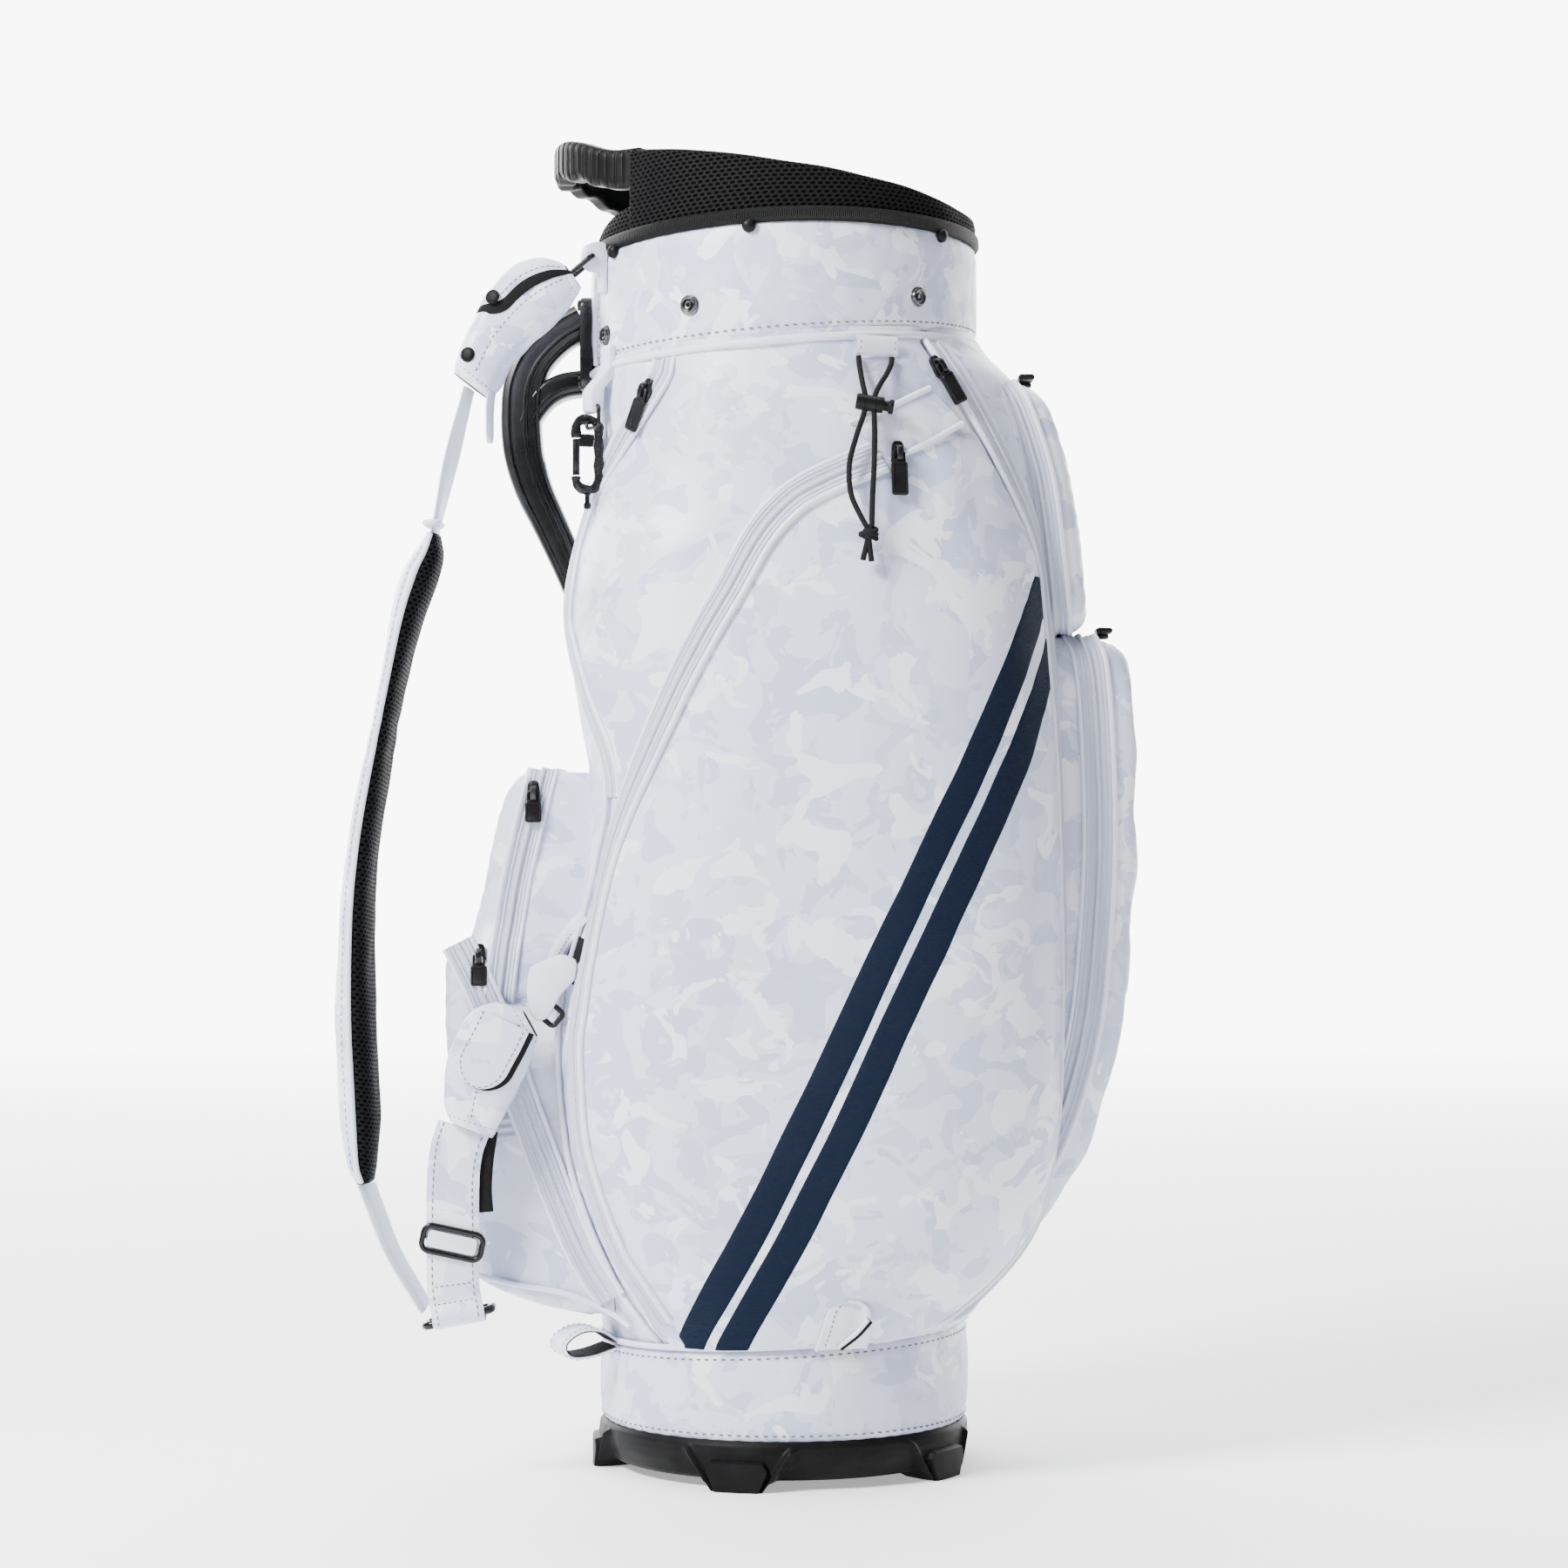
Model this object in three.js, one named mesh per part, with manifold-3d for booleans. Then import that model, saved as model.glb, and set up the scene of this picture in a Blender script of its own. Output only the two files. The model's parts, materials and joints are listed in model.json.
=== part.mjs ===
// A caddy golf bag: base, liner, mouth frame, padded panels, pockets, handles, zips and shoulder strap.
// Millimetres, +Z up, the origin under the middle of the base. +X is the pocket side, -X the spine
// side with handle and strap, and -Y the near side. Angles run from +X towards -Y.
import * as THREE from "three";
import { mergeVertices } from "three/addons/utils/BufferGeometryUtils.js";
import Module from "manifold-3d";

const wasm = await Module();
wasm.setup();

// Clearances
const fit = 0.3;
const clothFit = 0.6;
const pocketFit = 0.8;

// Liner tube and base
const linerRadius = 112;
const linerWall = 2;
const linerTop = 765;
const tubeSides = 48;
const baseFlangeTop = 29.7;
const baseFlangeRadius = 117;
const baseRingHeight = 6;
const baseWall = 3.2;
const baseFloor = 12;
const baseCupTop = 60;
const restPadRadius = 30;
const footCount = 5;
const footFirstAngle = 104;
const footReach = 121;
const footDepth = 22;
const footTopWidth = 54;
const footSoleWidth = 32;
const footHeight = 27;
const cuffThickness = 3;
const baseCuffTop = 88.3;
const baseCuffTilt = 0.05;

// Mouth: frame wall, club grid, cuff, binding and mesh collar
const frameWall = 6.4;
const frameBottom = 735;
const gridTop = 786;
const gridThickness = 14;
const gridTilt = 0.06;
const barWidth = 6;
const barOffset = 36;
const gridOpeningRadius = 104;
const dividerWall = 3;
const topCuffThickness = 3.5;
const cuffSeam = 706;
const cuffSeamTilt = 0.085;
const cuffTop = 781.5;
const cuffTopTilt = 0.039;
const cuffTopDrop = 5.6;
const bindingHeight = 9;
const bindingThickness = 5;
const collarThickness = 2.4;
const collarTop = 814.5;
const collarTilt = 0.185;
const collarBackTop = 787;
const collarStepAngle = 139.5;
const collarStepSpread = 3;

// Grab handle of the mouth frame
const grabRise = 29;
const grabTop = collarTop + grabRise;
const grabHeight = 26;
const grabReach = 148;
const grabRootAngle = 133;
const grabLeaveAngle = 145;
const grabBow = 34;
const grabThickness = 15;

// Spine handle, drawn in the bag's middle plane
const spinePlateBottom = 686;
const spinePlateTop = 744;
const spinePlateWidth = 44;
const spinePlateOuter = 130.2;
const spineHandleWidth = 30;

// Side pockets and their zips
const sidePocketEdge = 2;
const sidePocketSwell = 11;
const sidePocketInset = 5;
const sidePocketBottom = 100;
const sidePocketTop = 648;
const bodyRows = 16;
const wedgeRows = 20;
const wedgeColumns = 6;
const wedgeReach = 215;
const upperPocketHalfWidth = 58;
const lowerPocketHalfWidth = 61;
const backUpperHalfWidth = 58;
const backLowerHalfWidth = 64;
const lowerPocketFootHalfWidth = 40;
const pocketCornerRadius = 20;
const pocketCrown = 3;
const sliderLength = 15;
const sliderWidth = 9;
const pullLength = 27;
const pullWidth = 10.5;
const pullThickness = 2;

// Straps
const webbingWidth = 36;
const webbingThickness = 3.4;
const padThicknessPower = 2.6;
const adjusterWidth = 33;
const adjusterThickness = 2.6;
const wireThickness = 3.4;

// Leather loops over the base cuff
const loopTabWidth = 30;
const frontTabAngle = 71;
const rearTabAngle = 158;

// Elastic cord
const cordDiameter = 3.4;
const cordTabAngle = 64;
const cordTabBottom = 695.5;
const cordTabWidth = 29;
const cordTabHeight = 11;

const bag = new THREE.Group();
const finishes = {
  white: { color: 0xe9ebf4, roughness: 0.5, metalness: 0 },
  whiteSeam: { color: 0xdde1ee, roughness: 0.55, metalness: 0 },
  black: { color: 0x17181a, roughness: 0.6, metalness: 0 },
  blackMesh: { color: 0x0c0d0f, roughness: 0.85, metalness: 0 },
  darkMetal: { color: 0x2b2c2e, roughness: 0.35, metalness: 0.8 },
  lining: { color: 0x202226, roughness: 0.9, metalness: 0 },
};

function add(name, geometry, finish, parent = bag) {
  const material = new THREE.MeshStandardMaterial(finishes[finish]);
  const mesh = new THREE.Mesh(geometry, material);
  mesh.name = name;
  parent.add(mesh);
  return mesh;
}

function mix(a, b, share) {
  return a + (b - a) * share;
}

// A smooth function through points [place, value], flat outside them.
function through(points) {
  const last = points.length - 1;
  const slope = (k) => {
    const a = points[Math.max(k - 1, 0)];
    const b = points[Math.min(k + 1, last)];
    return (b[1] - a[1]) / (b[0] - a[0]);
  };
  return (place) => {
    let k = 0;
    while (k < last - 1 && place > points[k + 1][0]) {
      k += 1;
    }
    const span = points[k + 1][0] - points[k][0];
    const t = THREE.MathUtils.clamp((place - points[k][0]) / span, 0, 1);
    const rise = t * t * (3 - 2 * t);
    const leave = t * (1 - t) * (1 - t) * slope(k) * span;
    const arrive = t * t * (t - 1) * slope(k + 1) * span;
    return mix(points[k][1], points[k + 1][1], rise) + leave + arrive;
  };
}

// A closed body through rings of points. Point k and its partner from the end of the ring face each
// other, so both ends close in strips. Rings that come back to the first make a loop with no ends.
function loft(rings, looped = false) {
  const count = rings[0].length;
  const positions = rings.flat().flatMap((point) => [point.x, point.y, point.z]);
  const faces = [];
  const quad = (a, b, c, d) => faces.push(a, b, c, a, c, d);
  const last = looped ? rings.length : rings.length - 1;
  for (let row = 0; row < last; row += 1) {
    const here = row * count;
    const next = ((row + 1) % rings.length) * count;
    for (let k = 0; k < count; k += 1) {
      const after = (k + 1) % count;
      quad(here + k, here + after, next + after, next + k);
    }
  }
  if (!looped) {
    const end = (rings.length - 1) * count;
    for (let k = 0; k < count / 2 - 1; k += 1) {
      quad(k, count - 1 - k, count - 2 - k, k + 1);
      quad(end + k, end + k + 1, end + count - 2 - k, end + count - 1 - k);
    }
  }
  const geometry = new THREE.BufferGeometry();
  geometry.setAttribute("position", new THREE.Float32BufferAttribute(positions, 3));
  geometry.setIndex(volumeOf(positions, faces) < 0 ? faces.reverse() : faces);
  return geometry;
}

function volumeOf(positions, faces) {
  const corner = (index) => new THREE.Vector3().fromArray(positions, index * 3);
  let volume = 0;
  for (let k = 0; k < faces.length; k += 3) {
    const [a, b, c] = [corner(faces[k]), corner(faces[k + 1]), corner(faces[k + 2])];
    volume += a.dot(b.cross(c)) / 6;
  }
  return volume;
}

function solid(geometry) {
  const bare = geometry.clone();
  bare.deleteAttribute("normal");
  bare.deleteAttribute("uv");
  const merged = mergeVertices(bare, 1e-4);
  return new wasm.Manifold(new wasm.Mesh({
    numProp: 3,
    vertProperties: new Float32Array(merged.attributes.position.array),
    triVerts: new Uint32Array(merged.index.array),
  }));
}

function geometryOf(manifold) {
  const mesh = manifold.getMesh();
  const geometry = new THREE.BufferGeometry();
  geometry.setAttribute("position", new THREE.BufferAttribute(mesh.vertProperties, 3));
  geometry.setIndex(new THREE.BufferAttribute(mesh.triVerts, 1));
  return geometry;
}

function box(width, depth, height, x = 0, y = 0, z = 0) {
  return new THREE.BoxGeometry(width, depth, height).translate(x, y, z);
}

function extrude(shape, depth, curveSegments = 6) {
  return new THREE.ExtrudeGeometry(shape, { depth, bevelEnabled: false, curveSegments });
}

function shapeOf(points) {
  return new THREE.Shape(points.map(([x, y]) => new THREE.Vector2(x, y)));
}

// A drawing in x and z becomes a plate of the given width, centred on y = 0.
function upright(shape, width, curveSegments = 6) {
  return extrude(shape, width, curveSegments).rotateX(Math.PI / 2).translate(0, width / 2, 0);
}

function roundedRectangle(width, height, radius) {
  const shape = new THREE.Shape();
  const right = width / 2;
  const top = height / 2;
  shape.moveTo(right, radius - top);
  shape.absarc(right - radius, top - radius, radius, 0, Math.PI / 2);
  shape.absarc(radius - right, top - radius, radius, Math.PI / 2, Math.PI);
  shape.absarc(radius - right, radius - top, radius, Math.PI, 1.5 * Math.PI);
  shape.absarc(right - radius, radius - top, radius, 1.5 * Math.PI, 2 * Math.PI);
  return shape;
}

// A closed link of square wire, drawn in x and z, thick along y.
function link(width, height, wire, corner) {
  const shape = roundedRectangle(width, height, corner);
  shape.holes.push(roundedRectangle(width - 2 * wire, height - 2 * wire, Math.max(corner - wire, 0.5)));
  return upright(shape, wire, 3);
}

// A group whose +X points away from the tube's axis at the given angle.
function outwardGroup(degrees) {
  const group = new THREE.Group();
  group.rotation.z = -THREE.MathUtils.degToRad(degrees);
  bag.add(group);
  return group;
}

function polar(radius, angle, z) {
  return new THREE.Vector3(radius * Math.cos(angle), -radius * Math.sin(angle), z);
}

// The padded body's outer surface: reach to the front, to the spine and to each side, and how
// square the section is, at each height.
const frontReach = through([
  [88, 116.5], [106, 127], [134, 150], [162, 164], [190, 170], [266, 178], [434, 177],
  [535, 173], [580, 169], [624, 165], [660, 159], [689, 148], [705, 132], [718, 122.5],
]);
const spineReach = through([
  [88, 116], [118, 118], [193, 124], [266, 137], [322, 135], [378, 126], [434, 123],
  [490, 132], [546, 139], [577, 134], [624, 122], [660, 120], [718, 122],
]);
const sideReach = through([[88, 116], [130, 126], [200, 136], [300, 141], [500, 139], [600, 131], [706, 122]]);
const squareness = through([[88, 2], [150, 2.6], [220, 3], [450, 3], [560, 2.6], [640, 2.3], [706, 2]]);

function bodyRadius(angle, z) {
  const forward = Math.cos(angle);
  const reach = forward > 0 ? frontReach(z) : spineReach(z);
  const power = squareness(z);
  const along = (Math.abs(forward) / reach) ** power;
  const across = (Math.abs(Math.sin(angle)) / sideReach(z)) ** power;
  return (along + across) ** (-1 / power);
}

// The angle on the near side where the body's surface has the given x.
function angleAt(x, z) {
  let low = 0;
  let high = Math.PI;
  for (let step = 0; step < 40; step += 1) {
    const middle = (low + high) / 2;
    if (bodyRadius(middle, z) * Math.cos(middle) > x) {
      low = middle;
    } else {
      high = middle;
    }
  }
  return (low + high) / 2;
}

function baseSeamAt(angle) {
  return baseCuffTop + baseCuffTilt * linerRadius * Math.cos(angle);
}

function cuffSeamAt(angle) {
  return cuffSeam + cuffSeamTilt * linerRadius * Math.cos(angle);
}

function cuffTopAt(angle) {
  const forward = Math.cos(angle);
  return cuffTop + cuffTopTilt * linerRadius * forward - cuffTopDrop * forward * forward;
}

// The rim is high beside the club mouth and steps down behind it, under the grab handle.
function rimAt(angle) {
  const turn = Math.abs(THREE.MathUtils.radToDeg(Math.atan2(Math.sin(angle), Math.cos(angle))));
  const step = THREE.MathUtils.smoothstep(turn, collarStepAngle, collarStepAngle + collarStepSpread);
  const forward = Math.cos(angle);
  const high = collarTop - collarTilt * linerRadius * forward - 6 * Math.max(forward, 0) ** 6;
  return mix(high, collarBackTop, step);
}

const roundAngles = Array.from({ length: tubeSides }, (_, k) => (k / tubeSides) * 2 * Math.PI);
// The mouth's rings have one more edge on each side, where the rim steps down.
const stepStart = THREE.MathUtils.degToRad(collarStepAngle);
const mouthAngles = [...roundAngles, stepStart, 2 * Math.PI - stepStart].sort((a, b) => a - b);

// A ring round the tube, with its own lower and upper edge at each angle.
function ring(inner, outer, low, high, angles = roundAngles) {
  const sections = [];
  for (const angle of angles) {
    sections.push([
      polar(inner, angle, low(angle)),
      polar(outer, angle, low(angle)),
      polar(outer, angle, high(angle)),
      polar(inner, angle, high(angle)),
    ]);
  }
  return loft(sections, true);
}

const flangeTop = baseFlangeTop + fit;
const cuffInner = linerRadius + fit;
const panelInner = linerRadius + clothFit;
const frameInner = linerRadius + fit;
const frameOuter = frameInner + frameWall;
const topCuffInner = frameOuter + fit;
const topCuffOuter = topCuffInner + topCuffThickness;

function buildBase() {
  const cupOuter = linerRadius - linerWall - fit;
  const profile = shapeOf([
    [0, baseRingHeight],
    [cupOuter, baseRingHeight],
    [baseFlangeRadius - 5, baseRingHeight + 3],
    [baseFlangeRadius, baseFlangeTop - 8],
    [cuffInner + cuffThickness, baseFlangeTop],
    [cupOuter, baseFlangeTop],
    [cupOuter, baseCupTop],
    [cupOuter - baseWall, baseCupTop],
    [cupOuter - baseWall, baseFloor],
    [0, baseFloor],
  ]);
  let base = solid(new THREE.LatheGeometry(profile.getPoints(), tubeSides).rotateX(Math.PI / 2));
  const pad = new THREE.CylinderGeometry(restPadRadius, restPadRadius, baseRingHeight + 1, 24);
  base = base.add(solid(pad.rotateX(Math.PI / 2).translate(0, 0, (baseRingHeight + 1) / 2)));
  const half = footSoleWidth / 2;
  const foot = shapeOf([
    [-half, 0], [half, 0], [half + 3, footHeight * 0.35], [footTopWidth / 2, footHeight * 0.8],
    [footTopWidth / 2, footHeight], [-footTopWidth / 2, footHeight],
    [-footTopWidth / 2, footHeight * 0.8], [-half - 3, footHeight * 0.35],
  ]);
  for (let k = 0; k < footCount; k += 1) {
    const turn = -THREE.MathUtils.degToRad(footFirstAngle + (k * 360) / footCount);
    const block = extrude(foot, footDepth).rotateX(Math.PI / 2).rotateZ(Math.PI / 2);
    block.translate(footReach - footDepth, 0, 0).rotateZ(turn);
    base = base.add(solid(block));
  }
  const cupInner = cupOuter - baseWall;
  const cupDepth = baseCupTop - baseFloor;
  const hollow = new THREE.CylinderGeometry(cupInner, cupInner, cupDepth, tubeSides).rotateX(Math.PI / 2);
  base = base.subtract(solid(hollow.translate(0, 0, baseFloor + cupDepth / 2)));
  add("base_moulding", geometryOf(base), "black");
  add("base_cuff", ring(cuffInner, cuffInner + cuffThickness, () => flangeTop, baseSeamAt), "white");
}

function dividerBar(x, y, length, alongX, thickness, height) {
  return alongX ? box(length, thickness, height, x, y, height / 2) : box(thickness, length, height, x, y, height / 2);
}

function buildTube() {
  add("liner_tube", ring(linerRadius - linerWall, linerRadius, () => flangeTop, () => linerTop), "lining");
  const low = baseFloor + fit;
  const height = linerTop - low;
  const reach = linerRadius - linerWall - baseWall - 3 * fit;
  const chord = 2 * Math.sqrt(reach ** 2 - (dividerWall / 2) ** 2);
  const shortChord = 2 * Math.sqrt(reach ** 2 - (barOffset + dividerWall / 2) ** 2);
  let dividers = solid(dividerBar(0, 0, chord, true, dividerWall, height));
  for (const side of [-1, 1]) {
    dividers = dividers.add(solid(dividerBar(side * barOffset, 0, shortChord, false, dividerWall, height)));
  }
  add("club_dividers", geometryOf(dividers).translate(0, 0, low), "lining");
}

// Seen from above: each leg runs along the inside of the frame wall, then leaves it behind the step.
function grabHandleOutline() {
  const rooted = frameOuter - 0.7;
  const leave = THREE.MathUtils.degToRad(grabLeaveAngle);
  const root = THREE.MathUtils.degToRad(grabRootAngle);
  const onRim = (radius, angle, side) => [radius * Math.cos(angle), side * radius * Math.sin(angle)];
  const middle = (root + leave) / 2;
  const inner = rooted - grabThickness;
  const inside = grabReach - grabThickness;
  const outline = new THREE.Shape();
  outline.moveTo(...onRim(rooted, root, 1));
  outline.lineTo(...onRim(rooted, middle, 1));
  outline.lineTo(...onRim(rooted, leave, 1));
  outline.bezierCurveTo(-grabReach + 26, grabBow + 20, -grabReach, grabBow, -grabReach, 0);
  outline.bezierCurveTo(-grabReach, -grabBow, -grabReach + 26, -grabBow - 20, ...onRim(rooted, leave, -1));
  outline.lineTo(...onRim(rooted, middle, -1));
  outline.lineTo(...onRim(rooted, root, -1));
  outline.lineTo(...onRim(inner, root, -1));
  outline.lineTo(...onRim(inner, leave, -1));
  outline.bezierCurveTo(-inside + 24, -grabBow - 8, -inside, 8 - grabBow, -inside, 0);
  outline.bezierCurveTo(-inside, grabBow - 8, -inside + 24, grabBow + 8, ...onRim(inner, leave, 1));
  outline.lineTo(...onRim(inner, root, 1));
  outline.closePath();
  return outline;
}

function buildMouth() {
  const wall = ring(frameInner, frameOuter, () => frameBottom, (angle) => rimAt(angle) - 2, mouthAngles);
  const gridLow = (angle) => gridTop - gridThickness - gridTilt * linerRadius * Math.cos(angle);
  const gridHigh = (angle) => gridLow(angle) + gridThickness;
  const seat = ring(gridOpeningRadius, frameInner + 1, gridLow, gridHigh, mouthAngles);
  const chord = 2 * frameInner;
  const shortChord = 2 * Math.sqrt(frameInner ** 2 - barOffset ** 2);
  let grid = solid(box(chord, barWidth, gridThickness));
  for (const side of [-1, 1]) {
    grid = grid.add(solid(box(barWidth, shortChord, gridThickness, side * barOffset, 0, 0)));
  }
  const shear = new THREE.Matrix4().set(1, 0, 0, 0, 0, 1, 0, 0, -gridTilt, 0, 1, 0, 0, 0, 0, 1);
  const bars = geometryOf(grid).applyMatrix4(shear).translate(0, 0, gridTop - gridThickness / 2);
  const handle = extrude(grabHandleOutline(), grabHeight, 7).translate(0, 0, grabTop - grabHeight);
  const frame = solid(wall).add(solid(seat)).add(solid(bars)).add(solid(handle));
  add("mouth_frame", geometryOf(frame), "black");

  const cuffHigh = (angle) => cuffTopAt(angle) - bindingHeight / 2 - fit;
  add("top_cuff", ring(topCuffInner, topCuffOuter, cuffSeamAt, cuffHigh, mouthAngles), "white");
  const bindingLow = (angle) => cuffTopAt(angle) - bindingHeight / 2;
  const bindingHigh = (angle) => cuffTopAt(angle) + bindingHeight / 2;
  const bindingOuter = topCuffInner + bindingThickness;
  add("collar_binding", ring(topCuffInner, bindingOuter, bindingLow, bindingHigh, mouthAngles), "black");
  const collarLow = (angle) => bindingHigh(angle) + fit;
  const collar = ring(topCuffInner, topCuffInner + collarThickness, collarLow, rimAt, mouthAngles);
  add("mesh_collar", collar, "blackMesh");
}

// Height and x of the near side panel's front and spine edges, where its piping runs.
const leafFrontEdge = through([
  [88, 54], [98, 97], [143, 147], [187, 166], [266, 172], [434, 169], [535, 161], [580, 155],
  [624, 135], [675, 107], [706, 88],
]);
const leafSpineEdge = through([
  [88, -59], [126, -85], [193, -117], [266, -132], [322, -128], [378, -116], [434, -109],
  [490, -126], [546, -136], [624, -117], [690, -80],
]);
const sideZipEdge = through([
  [100, -59], [141, -85], [204, -113], [273, -126], [326, -121], [406, -104], [486, -74.6],
  [549, -42.6], [613, 0], [650, 75],
]);

function edgeAngle(edge) {
  return (z) => angleAt(edge(z), z);
}

// The whole padded body as one solid grid, its surface moved out by a distance. Panels and pockets
// are cut from copies of it, so neighbouring faces stay parallel.
function bodyGrid(outset) {
  const rings = [];
  for (let row = 0; row <= bodyRows; row += 1) {
    const share = row / bodyRows;
    rings.push(roundAngles.map((angle) => {
      const z = mix(baseSeamAt(angle) + clothFit, cuffSeamAt(angle) - clothFit, share);
      return polar(bodyRadius(angle, z) + outset(angle, z), angle, z);
    }));
  }
  return solid(loft(rings));
}

// A wedge round the tube's axis between two edges that wander with height.
function wedge(from, to, low, high) {
  const rings = [];
  for (let row = 0; row <= wedgeRows; row += 1) {
    const z = mix(low, high, row / wedgeRows);
    const fan = [];
    for (let column = 0; column <= wedgeColumns; column += 1) {
      fan.push(mix(from(z), to(z), column / wedgeColumns));
    }
    const outer = fan.map((angle) => polar(wedgeReach, angle, z));
    const inner = fan.map((angle) => polar(linerRadius * 0.8, angle, z)).reverse();
    rings.push([...outer, ...inner]);
  }
  return solid(loft(rings));
}

// The space that the padded body and its clearance fill: whatever lies on the body is cut by it.
const coverGap = bodyGrid(() => pocketFit);

function buildPanels() {
  const seamGap = fit / linerRadius;
  const tube = new THREE.CylinderGeometry(panelInner, panelInner, 4 * cuffSeam, tubeSides);
  const shell = bodyGrid(() => 0).subtract(solid(tube.rotateX(Math.PI / 2)));
  const front = edgeAngle(leafFrontEdge);
  const spine = edgeAngle(leafSpineEdge);
  const leaf = (side, gap) => {
    const from = (z) => side * (front(z) + gap);
    const to = (z) => side * (spine(z) - gap);
    return wedge(from, to, baseCuffTop - 12, cuffSeam + 14);
  };
  add("near_side_panel", geometryOf(shell.intersect(leaf(1, seamGap))), "white");
  add("far_side_panel", geometryOf(shell.intersect(leaf(-1, seamGap))), "white");
  const rest = shell.subtract(leaf(1, 0)).subtract(leaf(-1, 0));
  const halves = rest.decompose();
  const leftOf = (half) => half.boundingBox().min[0];
  halves.sort((a, b) => leftOf(a) - leftOf(b));
  add("back_panel", geometryOf(halves[0]), "white");
  add("front_panel", geometryOf(halves[halves.length - 1]), "white");
}

const sideZipAngle = edgeAngle(sideZipEdge);
const sideFrontAngle = (z) => angleAt(leafFrontEdge(z), z) + sidePocketInset / sideReach(z);

// The swelling of a side pocket, none at its edges and full in its middle.
function sideSwell(angle, z) {
  const turn = Math.abs(Math.atan2(Math.sin(angle), Math.cos(angle)));
  const from = sideFrontAngle(z);
  const across = THREE.MathUtils.clamp((turn - from) / (sideZipAngle(z) - from), 0, 1);
  const up = THREE.MathUtils.clamp((z - sidePocketBottom) / (sidePocketTop - sidePocketBottom), 0, 1);
  const crown = Math.sqrt(Math.sin(Math.PI * across) * Math.sin(Math.PI * up));
  return pocketFit + sidePocketEdge + sidePocketSwell * (crown || 0);
}

function buildSidePockets() {
  const swollen = bodyGrid(sideSwell).subtract(coverGap);
  const pocket = (name, from, to) => {
    const cut = wedge(from, to, sidePocketBottom, sidePocketTop);
    add(name, geometryOf(swollen.intersect(cut)), "white");
  };
  pocket("near_side_pocket", sideFrontAngle, sideZipAngle);
  pocket("far_side_pocket", (z) => -sideFrontAngle(z), (z) => -sideZipAngle(z));
}

// A box pocket on the front or the spine side: flat side gussets, rounded corners, a slight crown.
function boxPocket(name, widthAt, reachAt, heights, facing) {
  const inner = linerRadius / 2;
  const rings = heights.map((z) => {
    const halfWidth = widthAt(z);
    const face = Math.abs(reachAt(z));
    const radius = Math.min(pocketCornerRadius, face - inner - 1);
    const outer = [[inner, halfWidth]];
    for (let k = 0; k <= 3; k += 1) {
      const turn = (Math.PI / 2) * (k / 3);
      const forward = face - pocketCrown - radius + radius * Math.sin(turn);
      outer.push([forward, halfWidth - radius + radius * Math.cos(turn)]);
    }
    outer.push([face, halfWidth / 4]);
    const near = outer.map(([x, y]) => new THREE.Vector3(facing * x, y, z));
    const far = outer.map(([x, y]) => new THREE.Vector3(facing * x, -y, z)).reverse();
    return [...near, ...far];
  });
  add(name, geometryOf(solid(loft(rings)).subtract(coverGap)), "white");
}

const upperPocketReach = through([[527, 193], [571, 189], [624, 182], [653, 174], [676, 165], [687, 158]]);
const lowerPocketReach = through([
  [150, 160], [162, 168], [190, 184], [218, 196], [246, 205], [288, 214], [344, 219.5],
  [400, 222], [470, 220], [512, 216], [526, 211],
]);
const backUpperReach = through([[340, -195], [372, -189], [400, -183], [428, -172], [441, -164]]);
const backLowerReach = through([
  [100, -136], [108, -160], [118, -182], [125, -192], [150, -200], [200, -208], [270, -212],
  [320, -212], [336, -209],
]);

function buildPockets() {
  const upperHeights = [527, 550, 571, 600, 624, 653, 676, 687];
  boxPocket("front_upper_pocket", () => upperPocketHalfWidth, upperPocketReach, upperHeights, 1);
  const lowerHeights = [150, 162, 190, 218, 246, 288, 344, 400, 470, 512, 526];
  const lowerWidth = through([
    [150, lowerPocketFootHalfWidth], [246, lowerPocketHalfWidth - 5], [300, lowerPocketHalfWidth],
    [526, lowerPocketHalfWidth],
  ]);
  boxPocket("front_lower_pocket", lowerWidth, lowerPocketReach, lowerHeights, 1);
  const backUpperHeights = [340, 372, 400, 428, 441];
  boxPocket("back_upper_pocket", () => backUpperHalfWidth, backUpperReach, backUpperHeights, -1);
  const backLowerHeights = [100, 108, 118, 125, 150, 200, 270, 320, 336];
  boxPocket("back_lower_pocket", () => backLowerHalfWidth, backLowerReach, backLowerHeights, -1);
}

function buildSpineHandle() {
  const half = spinePlateWidth / 2;
  const seat = topCuffOuter + fit;
  const across = [-1, -0.5, 0, 0.5, 1].map((share) => share * half);
  const rings = [spinePlateBottom, spinePlateTop].map((z) => [
    ...across.map((y) => new THREE.Vector3(-spinePlateOuter, y, z)),
    ...across.map((y) => new THREE.Vector3(-Math.sqrt(seat ** 2 - y ** 2), y, z)).reverse(),
  ]);
  add("spine_plate", loft(rings), "black");

  const root = -spinePlateOuter - fit;
  const seatAt = (z) => -spineReach(z) - clothFit;
  const outline = [
    [root, 742.8], [-146, 733], [-161, 721], [-173.5, 705.5], [-173.6, 697], [-180, 678],
    [-181.6, 662], [-180, 646], [-172.5, 623.8], [-162.6, 602.8], [-152, 580.5],
    [-152.5, 574.5], [seatAt(556), 556], [seatAt(568), 568], [seatAt(580), 580],
    [seatAt(590), 590], [-141.7, 605.5], [-148.6, 621], [-154, 639], [-155.8, 655.8],
    [-154, 667], [-147.3, 675.4], [-138, 681], [root, 683], [root, 699.6], [-144.5, 696.8],
    [-157.7, 688.4], [-144.5, 707.3], [root, 717.7],
  ];
  add("spine_handle", upright(shapeOf(outline), spineHandleWidth), "black");
}

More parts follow.
